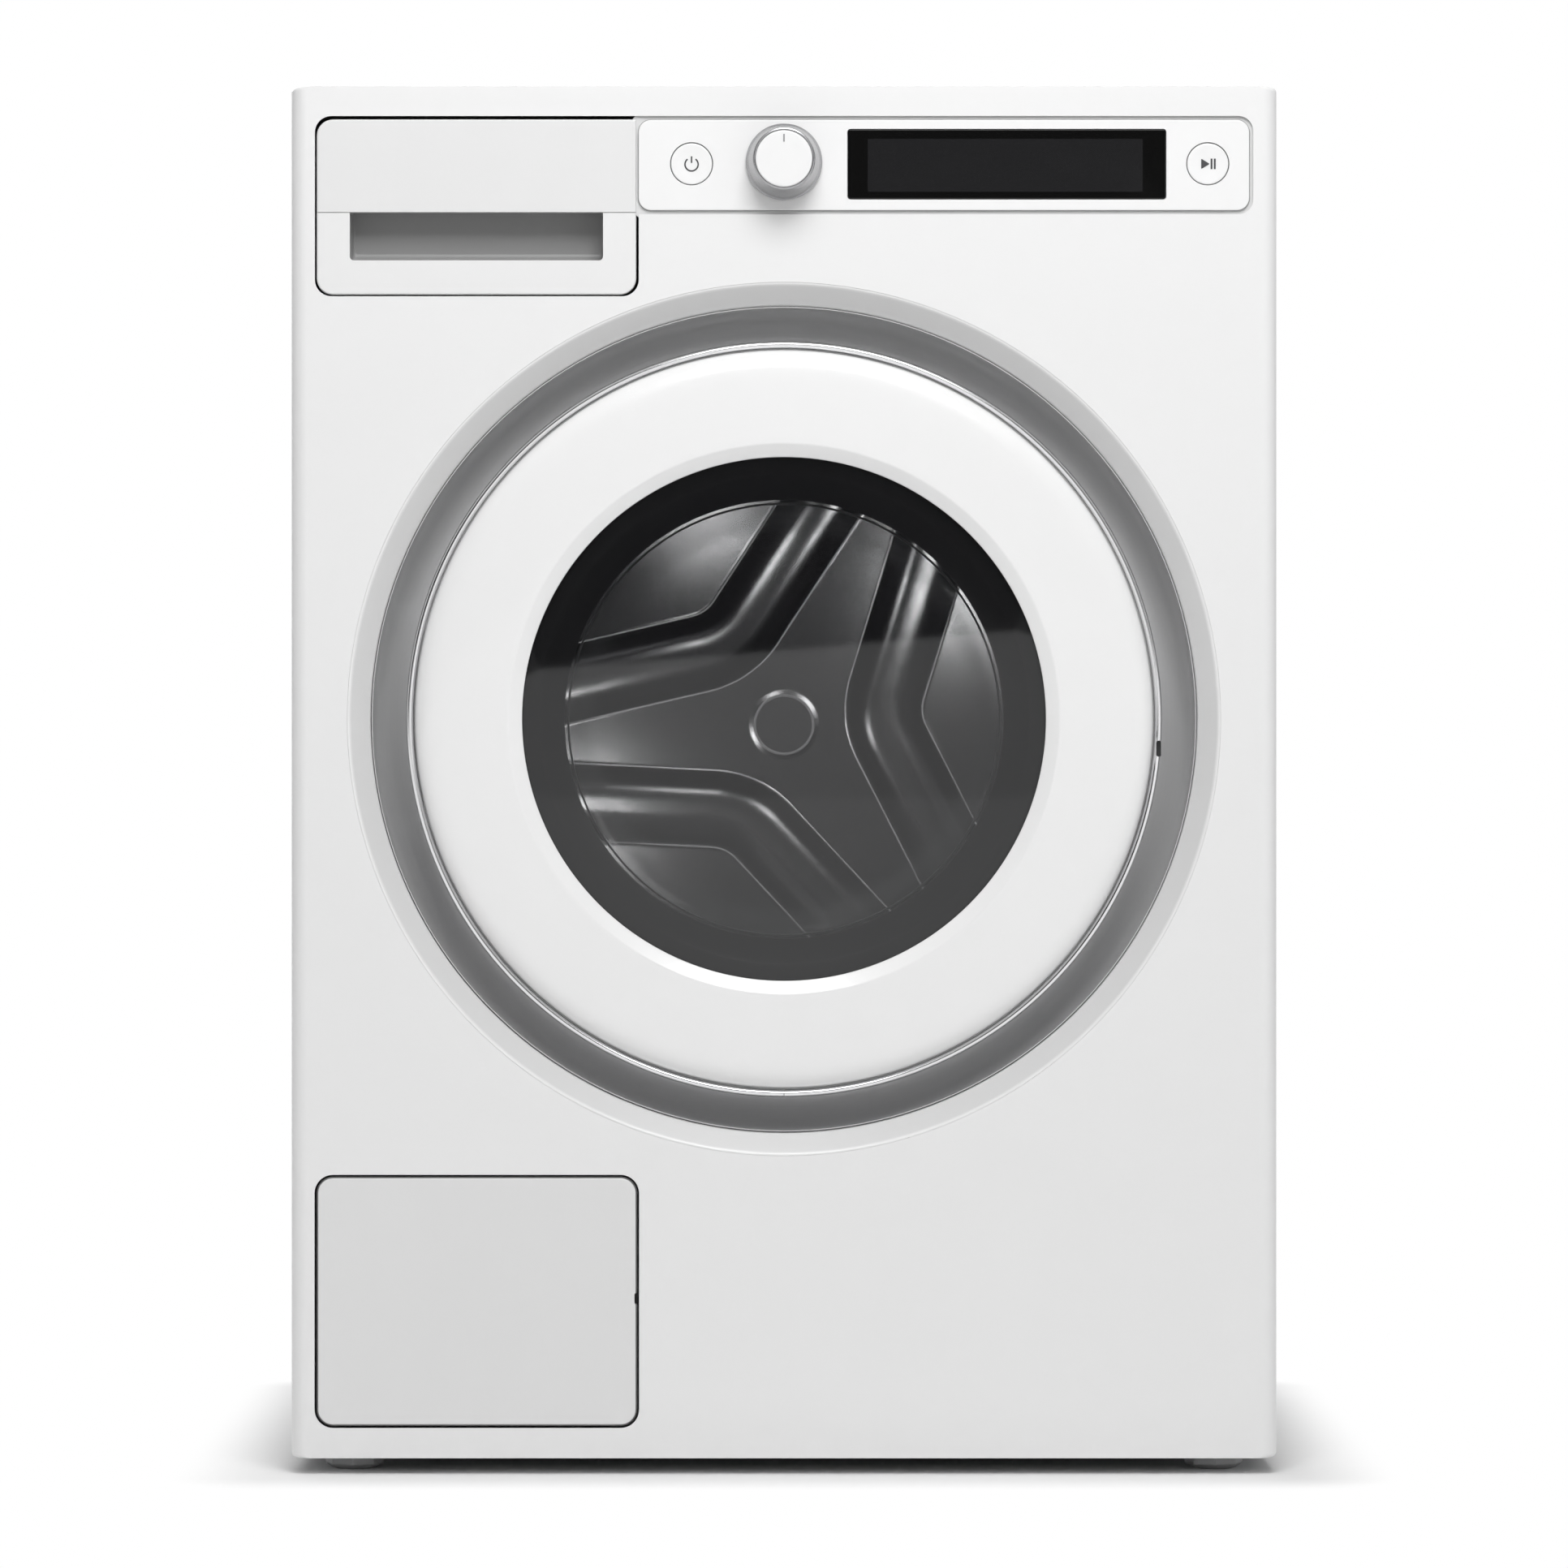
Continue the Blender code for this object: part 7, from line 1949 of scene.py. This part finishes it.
    def funnel(self) -> bpy.types.Object:
        """The dark funnel between the window and the bowl."""
        shares = [step / 12 for step in range(13)]
        curve = [(0.1500 - 0.01575 * share, 0.0032 + 0.0150 * share ** 1.25) for share in shares]
        profile = [(0.1628, 0.0009), (0.1620, 0.0008), (0.1608, 0.0009), (0.1560, 0.0019), *curve,
                   (0.1340, 0.0188), (0.13425, 0.0202), (0.152, 0.0202), (0.1628, 0.0064)]
        return dress(revolved("funnel", profile), FUNNEL_PLASTIC, "door", ["door_retainer"])

    def bowl(self) -> bpy.types.Object:
        """The clear bowl: rim, throat, flank and rounded nose."""
        corners = [(0.0, 0.1310, 0.0), (0.0904, 0.1255, 0.030), (0.1206, 0.1023, 0.030),
                   (0.1315, 0.0448, 0.030), (0.1370, 0.0235, 0.004), (0.1520, 0.0235, 0.0008),
                   (0.1520, 0.0205, 0.0008), (0.1330, 0.0205, 0.004), (0.1275, 0.0440, 0.030),
                   (0.1168, 0.0990, 0.026), (0.0880, 0.1215, 0.026), (0.0, 0.1270, 0.0)]
        made = revolved("glass_bowl", rounded(corners, 6), closed=False)
        return dress(made, BOWL_GLASS, "door", ["door_bowl"])

    def rim(self) -> bpy.types.Object:
        """The ground edge of the bowl's mouth, as a grey ring that paints the highlight this edge catches."""
        turns = [math.tau * step / 12 for step in range(12)]
        section = [(0.1318 + 0.0007 * math.cos(turn), 0.0216 + 0.0007 * math.sin(turn)) for turn in turns]
        return dress(revolved("bowl_rim", section), RIM_PAINTED_HIGHLIGHT, "door")

    def fittings(self) -> None:
        """The hinge, the hook and the lock, with softened edges."""
        dress_softened("hinge_bracket", "hinge_plate", 0.0006, ZINC_STEEL, "cabinet")
        dress_softened("hinge_arm", "hinge_leaf", 0.0006, ZINC_STEEL, "door")
        dress_softened("latch_hook", "hook", 0.0004, ZINC_STEEL, "hook")
        dress_softened("door_lock", "lock_case", 0.0008, DARK_PLASTIC, "cabinet")

    def screws(self) -> None:
        """The screws that hold the inner frame."""
        places = [about_axis(0.2035, math.radians(turn), 0.0087)
                  for turn in (24, 66, 114, 156, 204, 246, 294, 336)]
        made = scattered("frame_screws", places, Screw(0.0034, 0.0016).shape(), ZINC_STEEL, 2)
        dress(made, ZINC_STEEL, "door")

    def build(self) -> None:
        """Builds the door."""
        self.surround()
        self.ring()
        self.bead()
        self.glass()
        self.inner()
        self.funnel()
        self.bowl()
        self.rim()
        self.fittings()
        self.screws()


# Drum


@dataclass(frozen=True)
class Ridge:
    """The V-shaped ridges pressed into the drum's back, each with a rounded point.

    Attributes:
        vertex: Radius where the two arms of a V would meet.
        spread: Angle between an arm and the outward direction, in degrees.
        bend: Radius of the rounded point.
        half: Half width of a ridge.
        rise: Height of its rounded top.
        crown: Exponent of its section, which is flatter on top where it is higher.
        ease: Exponent that softens its foot.
        start: Angle of the first ridge, in degrees.
        count: Number of ridges.
    """

    vertex: float = 0.063
    spread: float = 68.0
    bend: float = 0.050
    half: float = 0.0255
    rise: float = 0.013
    crown: float = 2.6
    ease: float = 1.1
    start: float = 5.0
    count: int = 3

    def axes(self) -> list[Pair]:
        """The outward direction of each ridge."""
        turns = [math.radians(self.start + 360 * number / self.count) for number in range(self.count)]
        return [(math.cos(turn), math.sin(turn)) for turn in turns]

    def parts(self, x: Any, z: Any) -> list[tuple[Any, Any, Any]]:
        """How far a point lies from each ridge, for numbers and for a shader's signals alike.

        Args:
            x: Distance right of the drum's axis.
            z: Distance above it.

        Returns:
            For each ridge the distance from its arms, that from its rounded point, and how far along an
            arm the point lies beyond the rounded part.
        """
        turn = math.radians(self.spread)
        cosine, sine = math.cos(turn), math.sin(turn)
        centre = self.vertex + self.bend / sine
        parts = []
        for east, north in self.axes():
            out, side = x * east + z * north, abs(z * east - x * north)
            arm = abs((out - self.vertex) * sine - side * cosine)
            tip = abs(((out - centre) ** 2.0 + side ** 2.0) ** 0.5 - self.bend)
            along = (out - self.vertex) * cosine + side * sine
            parts.append((arm, tip, along - (centre - self.vertex) * cosine))
        return parts

    def away(self, x: float, z: float) -> float:
        """Distance of a point from the middle of the nearest ridge.

        Args:
            x: Distance right of the drum's axis.
            z: Distance above it.

        Returns:
            The distance, as a share of the half width.
        """
        return min(arm if beyond > 0 else tip for arm, tip, beyond in self.parts(x, z)) / self.half

    def signal(self, x: Signal, z: Signal) -> Signal:
        """The same distance as away gives, for a shader.

        Args:
            x: Distance right of the drum's axis.
            z: Distance above it.

        Returns:
            The distance, as a share of the half width.
        """
        nearest = None
        for arm, tip, beyond in self.parts(x, z):
            straight = beyond.eased(-0.0001, 0.0001)
            distance = arm * straight + tip * (1 - straight)
            nearest = distance if nearest is None else nearest.least(distance)
        return nearest / self.half

    def height(self, x: float, z: float) -> float:
        """Height of the pressing at a point.

        Args:
            x: Distance right of the drum's axis.
            z: Distance above it.

        Returns:
            The height above the flat of the back.
        """
        return self.rise * max(0.0, 1 - self.away(x, z) ** self.crown) ** self.ease


@dataclass(frozen=True)
class PressedPaintedLight(Brushed):
    """Stainless steel pressed into ridges, with a painted dark reflection on their flanks and a painted
    highlight along their feet.

    Attributes:
        flank: Share of the colour left on the flanks, as a painted dark reflection.
        foot: Colour of the painted highlight along the foot of a ridge.
    """

    flank: float = 0.05
    foot: Triple = (0.95, 0.95, 0.96)

    def sockets(self, shader: Shader) -> dict[str, Any]:
        """Paints a dark reflection on the flanks and a highlight along their feet.

        Args:
            shader: The material being written.

        Returns:
            Values or signals by socket name.
        """
        made = super().sockets(shader)
        x, _, z = shader.axes(shader.place)
        away = Ridge().signal(x, z - AXIS_Z)
        # Painted dark reflection on the flanks of each ridge.
        dark = away.eased(0.30, 0.62) * (1 - away.eased(0.90, 1.02))
        # Painted highlight: a pale, less metallic line along each ridge's foot.
        foot = away.within(0.985, 1.025, 0.012)
        shade = shader.blend(dark, made["Base Color"], scaled(self.colour, self.flank))
        return {**made, "Base Color": shader.blend(foot, shade, opaque(self.foot)),
                "Metallic": 1 - foot * 0.8}


@dataclass(frozen=True)
class Drum:
    """The stainless drum: mouth, dimpled wall, lifters and ridged back.

    Attributes:
        wall: Inner radius of the wall.
        front: Depth where the wall starts.
        back: Depth where it ends.
        floor: Depth of the flat of the back.
        flat: Radius out to which the back is pressed.
        hub_rise: Height of the hub.
        hub_flat: Radius of the hub's flat.
        rows: Rows of drain holes.
        row_start: Distance of the first row behind the start of the wall.
        row_pitch: Distance between two rows.
        around: Holes in a row, before the lifters take some of them.
        lifters: Angles of the lifters, in degrees.
        lifter_front: Depth where a lifter starts.
        lifter_length: Length of a lifter.
        lifter_tip: Radius of a lifter's crest.
        lifter_foot: Half the angle that a lifter's foot covers, in degrees.
    """

    wall: float = 0.2385
    front: float = 0.112
    back: float = 0.390
    floor: float = 0.370
    flat: float = 0.2310
    hub_rise: float = 0.0012
    hub_flat: float = 0.0200
    rows: int = 15
    row_start: float = 0.020
    row_pitch: float = 0.0165
    around: int = 72
    lifters: tuple[float, float, float] = (70.0, 190.0, 310.0)
    lifter_front: float = 0.122
    lifter_length: float = 0.230
    lifter_tip: float = 0.1935
    lifter_foot: float = 10.0

    def mouth(self) -> bpy.types.Object:
        """The front of the drum, with its rolled mouth."""
        profile = [(0.1590, 0.1178), (0.1590, 0.1105), (0.1594, 0.1086), (0.1604, 0.1071), (0.1620, 0.1062),
                   (0.1645, 0.1060), (0.2310, 0.1060), (0.2350, 0.1064), (0.2378, 0.1078), (0.2394, 0.1098),
                   (0.2400, 0.1124), (self.wall + 0.0002, 0.1128), (0.2380, 0.1112), (0.2362, 0.1092),
                   (0.2333, 0.1075), (0.1650, 0.1075), (0.1628, 0.1077), (0.1613, 0.1086), (0.1605, 0.1102),
                   (0.1605, 0.1178)]
        return dress(revolved("drum_mouth", profile), STAINLESS, "drum", ["drum_shell"])

    def side(self) -> bpy.types.Object:
        """The wall, whose dimples follow a rule in Geometry Nodes.

        Returns:
            The wall.
        """
        rule = Rule("drum_wall_rule", {
            "Radius": ("NodeSocketFloat", self.wall), "Front": ("NodeSocketFloat", depth_y(self.front)),
            "Length": ("NodeSocketFloat", self.back - self.front), "Around": ("NodeSocketFloat", 48.0),
            "Rows": ("NodeSocketFloat", 14.0), "Relief": ("NodeSocketFloat", 0.0011),
            "Height": ("NodeSocketFloat", AXIS_Z)})
        grid = rule.node("GeometryNodeMeshGrid", {},
                         {"Size X": 1.0, "Size Y": 1.0, "Vertices X": 577, "Vertices Y": 85})
        u, v, _ = rule.axes(rule.node("GeometryNodeInputPosition"))
        angle, share = (u + 0.5) * math.tau, v + 0.5
        lattice = (angle * rule.value("Around")).sine() * (share * rule.value("Rows") * math.pi).sine()
        fade = (share * math.pi).sine().most(0.0)
        radius = rule.value("Radius") - rule.value("Relief") * lattice.most(0.0) * fade
        place = rule.vector(radius * angle.cosine(), rule.value("Front") + share * rule.value("Length"),
                            radius * angle.sine() + rule.value("Height"))
        bent = rule.node("GeometryNodeSetPosition", {}, {"Geometry": grid, "Position": place})
        whole = rule.node("GeometryNodeMergeByDistance", {}, {"Geometry": bent, "Distance": MERGE})
        host = Form("drum_wall").object()
        made = rule.bake(whole, host, STAINLESS)
        skin = made.modifiers.new("sheet", "SOLIDIFY")
        skin.thickness, skin.offset = 0.0010, -1.0
        made = shaded(baked(made))
        outward(made)
        return dress(made, STAINLESS, "drum")

    def holes(self) -> bpy.types.Object:
        """The small drain holes, as dark cups between the lifters.

        Returns:
            All the cups, as one object.
        """
        form = Form("drum_holes")
        for row in range(self.rows):
            depth = self.front + self.row_start + row * self.row_pitch
            for step in range(self.around):
                turn = 360 / self.around * (step + 0.5 * (row % 2))
                if all(abs((turn - lifter + 180) % 360 - 180) > self.lifter_foot + 2
                       for lifter in self.lifters):
                    form.mesh.verts.new(about_axis(self.wall - 0.0002, math.radians(turn), depth))
        host = form.object()
        cup = Form("cup").turned([(0.0, -0.00030), (0.0013, -0.00030), (0.0015, -0.00055), (0.0019, -0.00040),
                                  (0.0021, 0.00030), (0.0, 0.00030)], (0.0, 0.0, 0.0), "X", 8, False).object()
        rule = Rule("drum_holes_rule",
                    {"Height": ("NodeSocketFloat", AXIS_Z), "Size": ("NodeSocketFloat", 1.0)})
        x, _, z = rule.axes(rule.node("GeometryNodeInputPosition"))
        turn = rule.node("ShaderNodeMath", {"operation": "ARCTAN2"}, {0: z - rule.value("Height"), 1: x})
        shape = rule.node("GeometryNodeObjectInfo", {}, {"Object": cup}, "Geometry")
        copies = rule.node("GeometryNodeInstanceOnPoints", {},
                           {"Points": rule.value("Geometry"), "Instance": shape,
                            "Rotation": rule.vector(0.0, turn * -1.0, 0.0), "Scale": rule.value("Size")})
        made = rule.bake(copies, host, HOLE_SHADE)
        bpy.data.objects.remove(cup)
        return dress(made, HOLE_SHADE, "drum")

    def lifter(self, number: int, centre: float) -> bpy.types.Object:
        """One hollow lifter with tapered ends.

        Args:
            number: Its number, for its name.
            centre: Its angle, in degrees.

        Returns:
            The lifter.
        """
        rings, sections = [], 36
        for section in range(sections + 1):
            share = section / sections
            ends = min(1.0, min(share, 1 - share) / 0.12)
            full = math.sin(ends * math.pi / 2) ** 0.7 if ends < 1 else 1.0
            depth = self.lifter_front + self.lifter_length * share
            ring = []
            for step in range(33):
                place = step / 16 - 1
                rise = full * (1 - smooth((abs(place) - 0.30) / 0.70)) * (1 - 0.03 * place * place)
                radius = self.wall - 0.0003 - (self.wall - self.lifter_tip) * rise
                ring.append((radius, math.radians(centre + place * self.lifter_foot)))
            ring += [(self.wall + 0.0002, math.radians(centre + place * self.lifter_foot / 4))
                     for place in (4, 2, 0, -2, -4)]
            rings.append([about_axis(radius, angle, depth) for radius, angle in ring])
        return dress(Form(f"lifter_{number}").loft(rings).object(math.radians(50)), STAINLESS, "drum")

    def disc(self) -> bpy.types.Object:
        """The back as one pressed sheet: hub, V ridges and turned-in rim.

        Returns:
            The back.
        """
        ridge, around, rows = Ridge(), 600, 118
        turns = [math.tau * step / around for step in range(around)]
        rings = []
        for row in range(rows + 1):
            radius = 0.0010 + self.flat * row / rows
            fade = smooth((self.flat - radius) / 0.0120)
            hub = self.hub_rise * smooth(1 - (radius - self.hub_flat) / 0.0028)
            ring = []
            for turn in turns:
                high = max(ridge.height(radius * math.cos(turn), radius * math.sin(turn)) * fade, hub)
                ring.append(about_axis(radius, turn, self.floor - high))
            rings.append(ring)
        for radius, depth in ((0.2340, 0.3701), (0.2362, 0.3708), (0.2376, 0.3726), (0.2381, 0.3752),
                              (0.2381, 0.3855)):
            rings.append([about_axis(radius, turn, depth) for turn in turns])
        form = Form("drum_disc")
        form.loft(rings, capped=False)
        form.mesh.verts.ensure_lookup_table()
        form.mesh.faces.new(form.mesh.verts[:around])
        made = form.object(math.radians(60))
        faced(made, (0.0, -1.0, 0.0))
        return dress(made, STAINLESS_PAINTED_SHADE, "drum", ["drum_back"])

    def hub(self) -> None:
        """The hub's cap with its bright rim."""
        base = self.floor - self.hub_rise
        rim = [(0.0184, base + 0.0002), (0.0187, base - 0.0007), (0.0194, base - 0.0011),
               (0.0201, base - 0.0008), (0.0204, base + 0.0002)]
        dress(revolved("hub_rim", rim, 96), HUB_RIM, "drum")
        cap = [(0.0, base - 0.0006), (0.0176, base - 0.0006), (0.0184, base - 0.0004),
               (0.0186, base + 0.0003), (0.0, base + 0.0003)]
        dress(revolved("hub_cap", cap, 96, closed=False), HUB_CAP, "drum")

    def build(self) -> None:
        """Builds the drum."""
        self.mouth()
        self.side()
        self.holes()
        for number, centre in enumerate(self.lifters):
            self.lifter(number + 1, centre)
        self.disc()
        self.hub()


# Darker than the drum's other stainless, as painted shade inside the drum, with painted marks on its ridges.
STAINLESS_PAINTED_SHADE = PressedPaintedLight("stainless_pressed", (0.36, 0.36, 0.365), 0.24, metallic=1.0, drift=0.05,
                         relief=0.0000002)


@dataclass(frozen=True)
class Seal:
    """The door seal: a thin rubber wall with one fold and a lip.

    Attributes:
        half: Half the wall's thickness.
        path: (radius, depth) along the middle of the wall.
    """

    half: float = 0.0012
    path: tuple[Pair, ...] = ((0.1594, 0.0364), (0.1650, 0.0363), (0.1695, 0.0368), (0.1703, 0.0400),
                              (0.1703, 0.0500), (0.1692, 0.0530), (0.1650, 0.0556), (0.1560, 0.0580),
                              (0.1475, 0.0608), (0.1448, 0.0632), (0.1452, 0.0655), (0.1490, 0.0668),
                              (0.1580, 0.0672), (0.1635, 0.0690), (0.1655, 0.0725), (0.1655, 0.0770),
                              (0.1630, 0.0783), (0.1540, 0.0784))

    def build(self) -> None:
        """Builds the seal."""
        made = revolved("seal_ring", strip(self.path, self.half), angle=math.radians(50))
        dress(made, SEAL_RUBBER, "tub", ["door_seal"])


# What is carried over from the CAD


CARRIED: dict[Finish, tuple[str, ...]] = {
    ZINC_STEEL: ("base_tray", "spring_rail", "damper_tube_left", "damper_tube_right", "bearing_cartridge",
                 "spring_left", "spring_right", "motor_pulley"),
    GREY_PLASTIC: ("inlet_valve", "dispenser_housing"),
    DARK_PLASTIC: ("drain_outlet", "cord_gland", "control_board", "drain_pump", "damper_rod_left",
                   "damper_rod_right"),
    TUB_PLASTIC: ("tub_front", "tub_rear"),
    STAINLESS: ("heating_element",),
    CAST_IRON: ("counterweight",),
    CAST_ALUMINIUM: ("motor", "drum_spider", "drum_pulley"),
    BLACK_RUBBER: ("drive_belt", "sump_hose", "dispenser_hose"),
}


def carry() -> None:
    """Gives every CAD node that stays its finish."""
    for finish, names in CARRIED.items():
        for name in names:
            data = frame["nodes"][name].data
            data.materials.clear()
            data.materials.append(PALETTE.of(finish))
            LOG.info("%s keeps its solid, %s", name, finish.name)


@dataclass(frozen=True)
class Foot:
    """A levelling foot: fluted pad, lock nut and threaded stem.

    Attributes:
        node: The CAD node.
        body: The body it rides on.
    """

    node: str
    body: str

    def build(self) -> None:
        """Builds the foot from its node, with softened edges."""
        name = self.node.replace("foot", "levelling_foot")
        dress_softened(self.node, name, 0.0008, FOOT_PLASTIC, self.body, 3)


# Studio


@dataclass(frozen=True)
class Lamp:
    """A square area lamp.

    Attributes:
        name: Its name.
        place: Where it stands.
        target: What it points at.
        size: Its side.
        power: Its power in watts.
    """

    name: str
    place: Triple
    target: Triple
    size: float
    power: float

    def build(self) -> None:
        """Hangs the lamp up."""
        data = bpy.data.lights.new(self.name, "AREA")
        data.shape, data.size, data.energy = "SQUARE", self.size, self.power
        made = bpy.data.objects.new(self.name, data)
        made.location = self.place
        made.rotation_euler = (Vector(self.target) - Vector(self.place)).to_track_quat("-Z", "Y").to_euler()
        bpy.context.scene.collection.objects.link(made)


LAMPS: tuple[Lamp, ...] = (
    Lamp("key", (0.15, -1.7, 2.10), (0.02, -0.2, 0.85), 1.1, 32.0),
    Lamp("fill", (2.4, -2.6, 1.1), (0.1, -0.2, 0.4), 2.2, 5.0),
    Lamp("back", (-1.2, 2.6, 2.2), (0.0, 0.2, 0.5), 2.0, 30.0),
    Lamp("drum_right", (0.125, depth_y(0.150), AXIS_Z + 0.110), (-0.02, depth_y(0.37), AXIS_Z), 0.09, 0.36),
    Lamp("drum_left", (-0.150, depth_y(0.150), AXIS_Z - 0.060), (0.03, depth_y(0.37), AXIS_Z), 0.07, 0.26),
    Lamp("drum_top", (-0.055, depth_y(0.150), AXIS_Z + 0.150), (-0.06, depth_y(0.37), AXIS_Z), 0.06, 0.14),
)


@dataclass(frozen=True)
class Studio:
    """Floor, light and camera.

    Attributes:
        eye: Height of the camera and of what it looks at.
        away: Distance from the front to the camera.
        lens: Focal length for a 36 mm sensor.
        floor: Half the floor's size.
        rows: Rows of faces in the floor.
        base: Half the depth of the floor that the object covers.
        ambient: Light from all round.
        zenith: How much brighter that light is from above.
        walls: Brightness of the room that glass and metal reflect.
        shade: How much darker that room is before the object.
        ceiling: How much of that is given back higher up.
        skirting: Slope up to which the room before the object is as pale as the floor.
        skirting_tilt: How far that line rises to the right.
        near: Distance from the object where the floor starts to turn into backdrop.
        far: Distance where it is backdrop.
    """

    eye: float = 0.4199
    away: float = 3.900
    lens: float = 147.3
    floor: float = 9.0
    rows: int = 24
    base: float = 0.29
    ambient: float = 0.31
    zenith: float = 0.16
    walls: float = 0.85
    shade: float = 0.81
    ceiling: float = 0.45
    skirting: float = 0.060
    skirting_tilt: float = 0.081
    near: float = 0.002
    far: float = 0.075

    def camera(self) -> None:
        """The camera, level and square to the front."""
        data = bpy.data.cameras.new("camera")
        data.lens, data.sensor_width, data.clip_end = self.lens, 36.0, 100.0
        eye = bpy.data.objects.new("camera", data)
        eye.location = (0.0, FRONT_Y - self.away, self.eye)
        eye.rotation_euler = (math.pi / 2, 0.0, 0.0)
        bpy.context.scene.collection.objects.link(eye)
        bpy.context.scene.camera = eye

    def ground(self) -> None:
        """The floor, which keeps the shadow near the object and is white further out.

        What lies near the object takes light and shadow, and the rest glows white for camera and glass.
        """
        size, count = self.floor, self.rows
        form = Form("floor")
        rings = []
        for row in range(count + 1):
            y = -size + 2 * size * row / count
            rings.append([(-size + 2 * size * step / count, y, 0.0) for step in range(count + 1)])
        made = form.loft(rings, capped=False, looped=False).object()
        faced(made, (0.0, 0.0, 1.0))
        shader = Shader("floor_white")
        x, y, _ = shader.axes(shader.place)
        out_x = (abs(x) - HALF_WIDTH).most(0.0)
        out_y = (abs(y) - self.base).most(0.0)
        away = (out_x * out_x + out_y * out_y) ** 0.5
        grain = shader.noise(90.0, 3.0)
        pale = shader.blend(grain, (0.84, 0.84, 0.84, 1.0), (0.87, 0.87, 0.87, 1.0))
        paint = shader.node("ShaderNodeBsdfDiffuse", {}, {"Color": pale})
        glow = shader.node("ShaderNodeEmission", {}, {"Color": (1.0, 1.0, 1.0, 1.0), "Strength": 1.0})
        camera, glossy, clear = shader.rays()
        seen = camera.most(glossy).most(clear)
        share = away.eased(self.near, self.far) * seen
        mixed = shader.node("ShaderNodeMixShader", {}, {0: share, 1: paint, 2: glow})
        shader.node("ShaderNodeOutputMaterial", {}, {"Surface": mixed}, None)
        made.data.materials.append(shader.material)

    def sky(self) -> None:
        """White behind the object, soft grey for its light, darker in front for what glass reflects."""
        world = bpy.data.worlds.new("studio")
        world.use_nodes = True
        bpy.context.scene.world = world
        graph = Graph(world.node_tree)
        graph.tree.nodes.clear()
        direction = graph.node("ShaderNodeTexCoord", output="Generated")
        x, y, z = graph.axes(direction)
        camera, glossy, clear = graph.rays()
        seen = glossy.most(clear)
        front = (y * -1.0).eased(-0.10, 0.45)
        skirting = z - (self.skirting_tilt * x + self.skirting)
        above = skirting.eased(-0.002, 0.002)
        room = self.walls - front * above * (self.shade - z.eased(0.30, 0.80) * self.ceiling)
        ambient = self.ambient + z.eased(-0.1, 0.9) * self.zenith
        level = camera + (1 - camera) * (seen * room + (1 - seen) * ambient)
        shade = graph.node("ShaderNodeBackground", {}, {"Color": (1.0, 1.0, 1.0, 1.0), "Strength": level})
        graph.node("ShaderNodeOutputWorld", {}, {"Surface": shade}, None)

    def build(self) -> None:
        """Sets the studio up."""
        self.camera()
        self.ground()
        self.sky()
        for lamp in LAMPS:
            lamp.build()
        bpy.context.scene.view_settings.view_transform = "Standard"


def main() -> None:
    """Builds every sub-assembly, then the studio."""
    logging.basicConfig(level=logging.INFO, format="%(name)s: %(message)s")
    for assembly in (Cabinet(), Fascia(), Drawer(), Flap(), Door(), Drum(), Seal()):
        LOG.info("building %s", type(assembly).__name__)
        assembly.build()
    for side, body in (("front_left", "fl"), ("front_right", "fr"), ("rear_left", "rl"),
                       ("rear_right", "rr")):
        Foot("foot_" + side, "foot_" + body).build()
    carry()
    Studio().build()


if __name__ == "__main__":
    main()
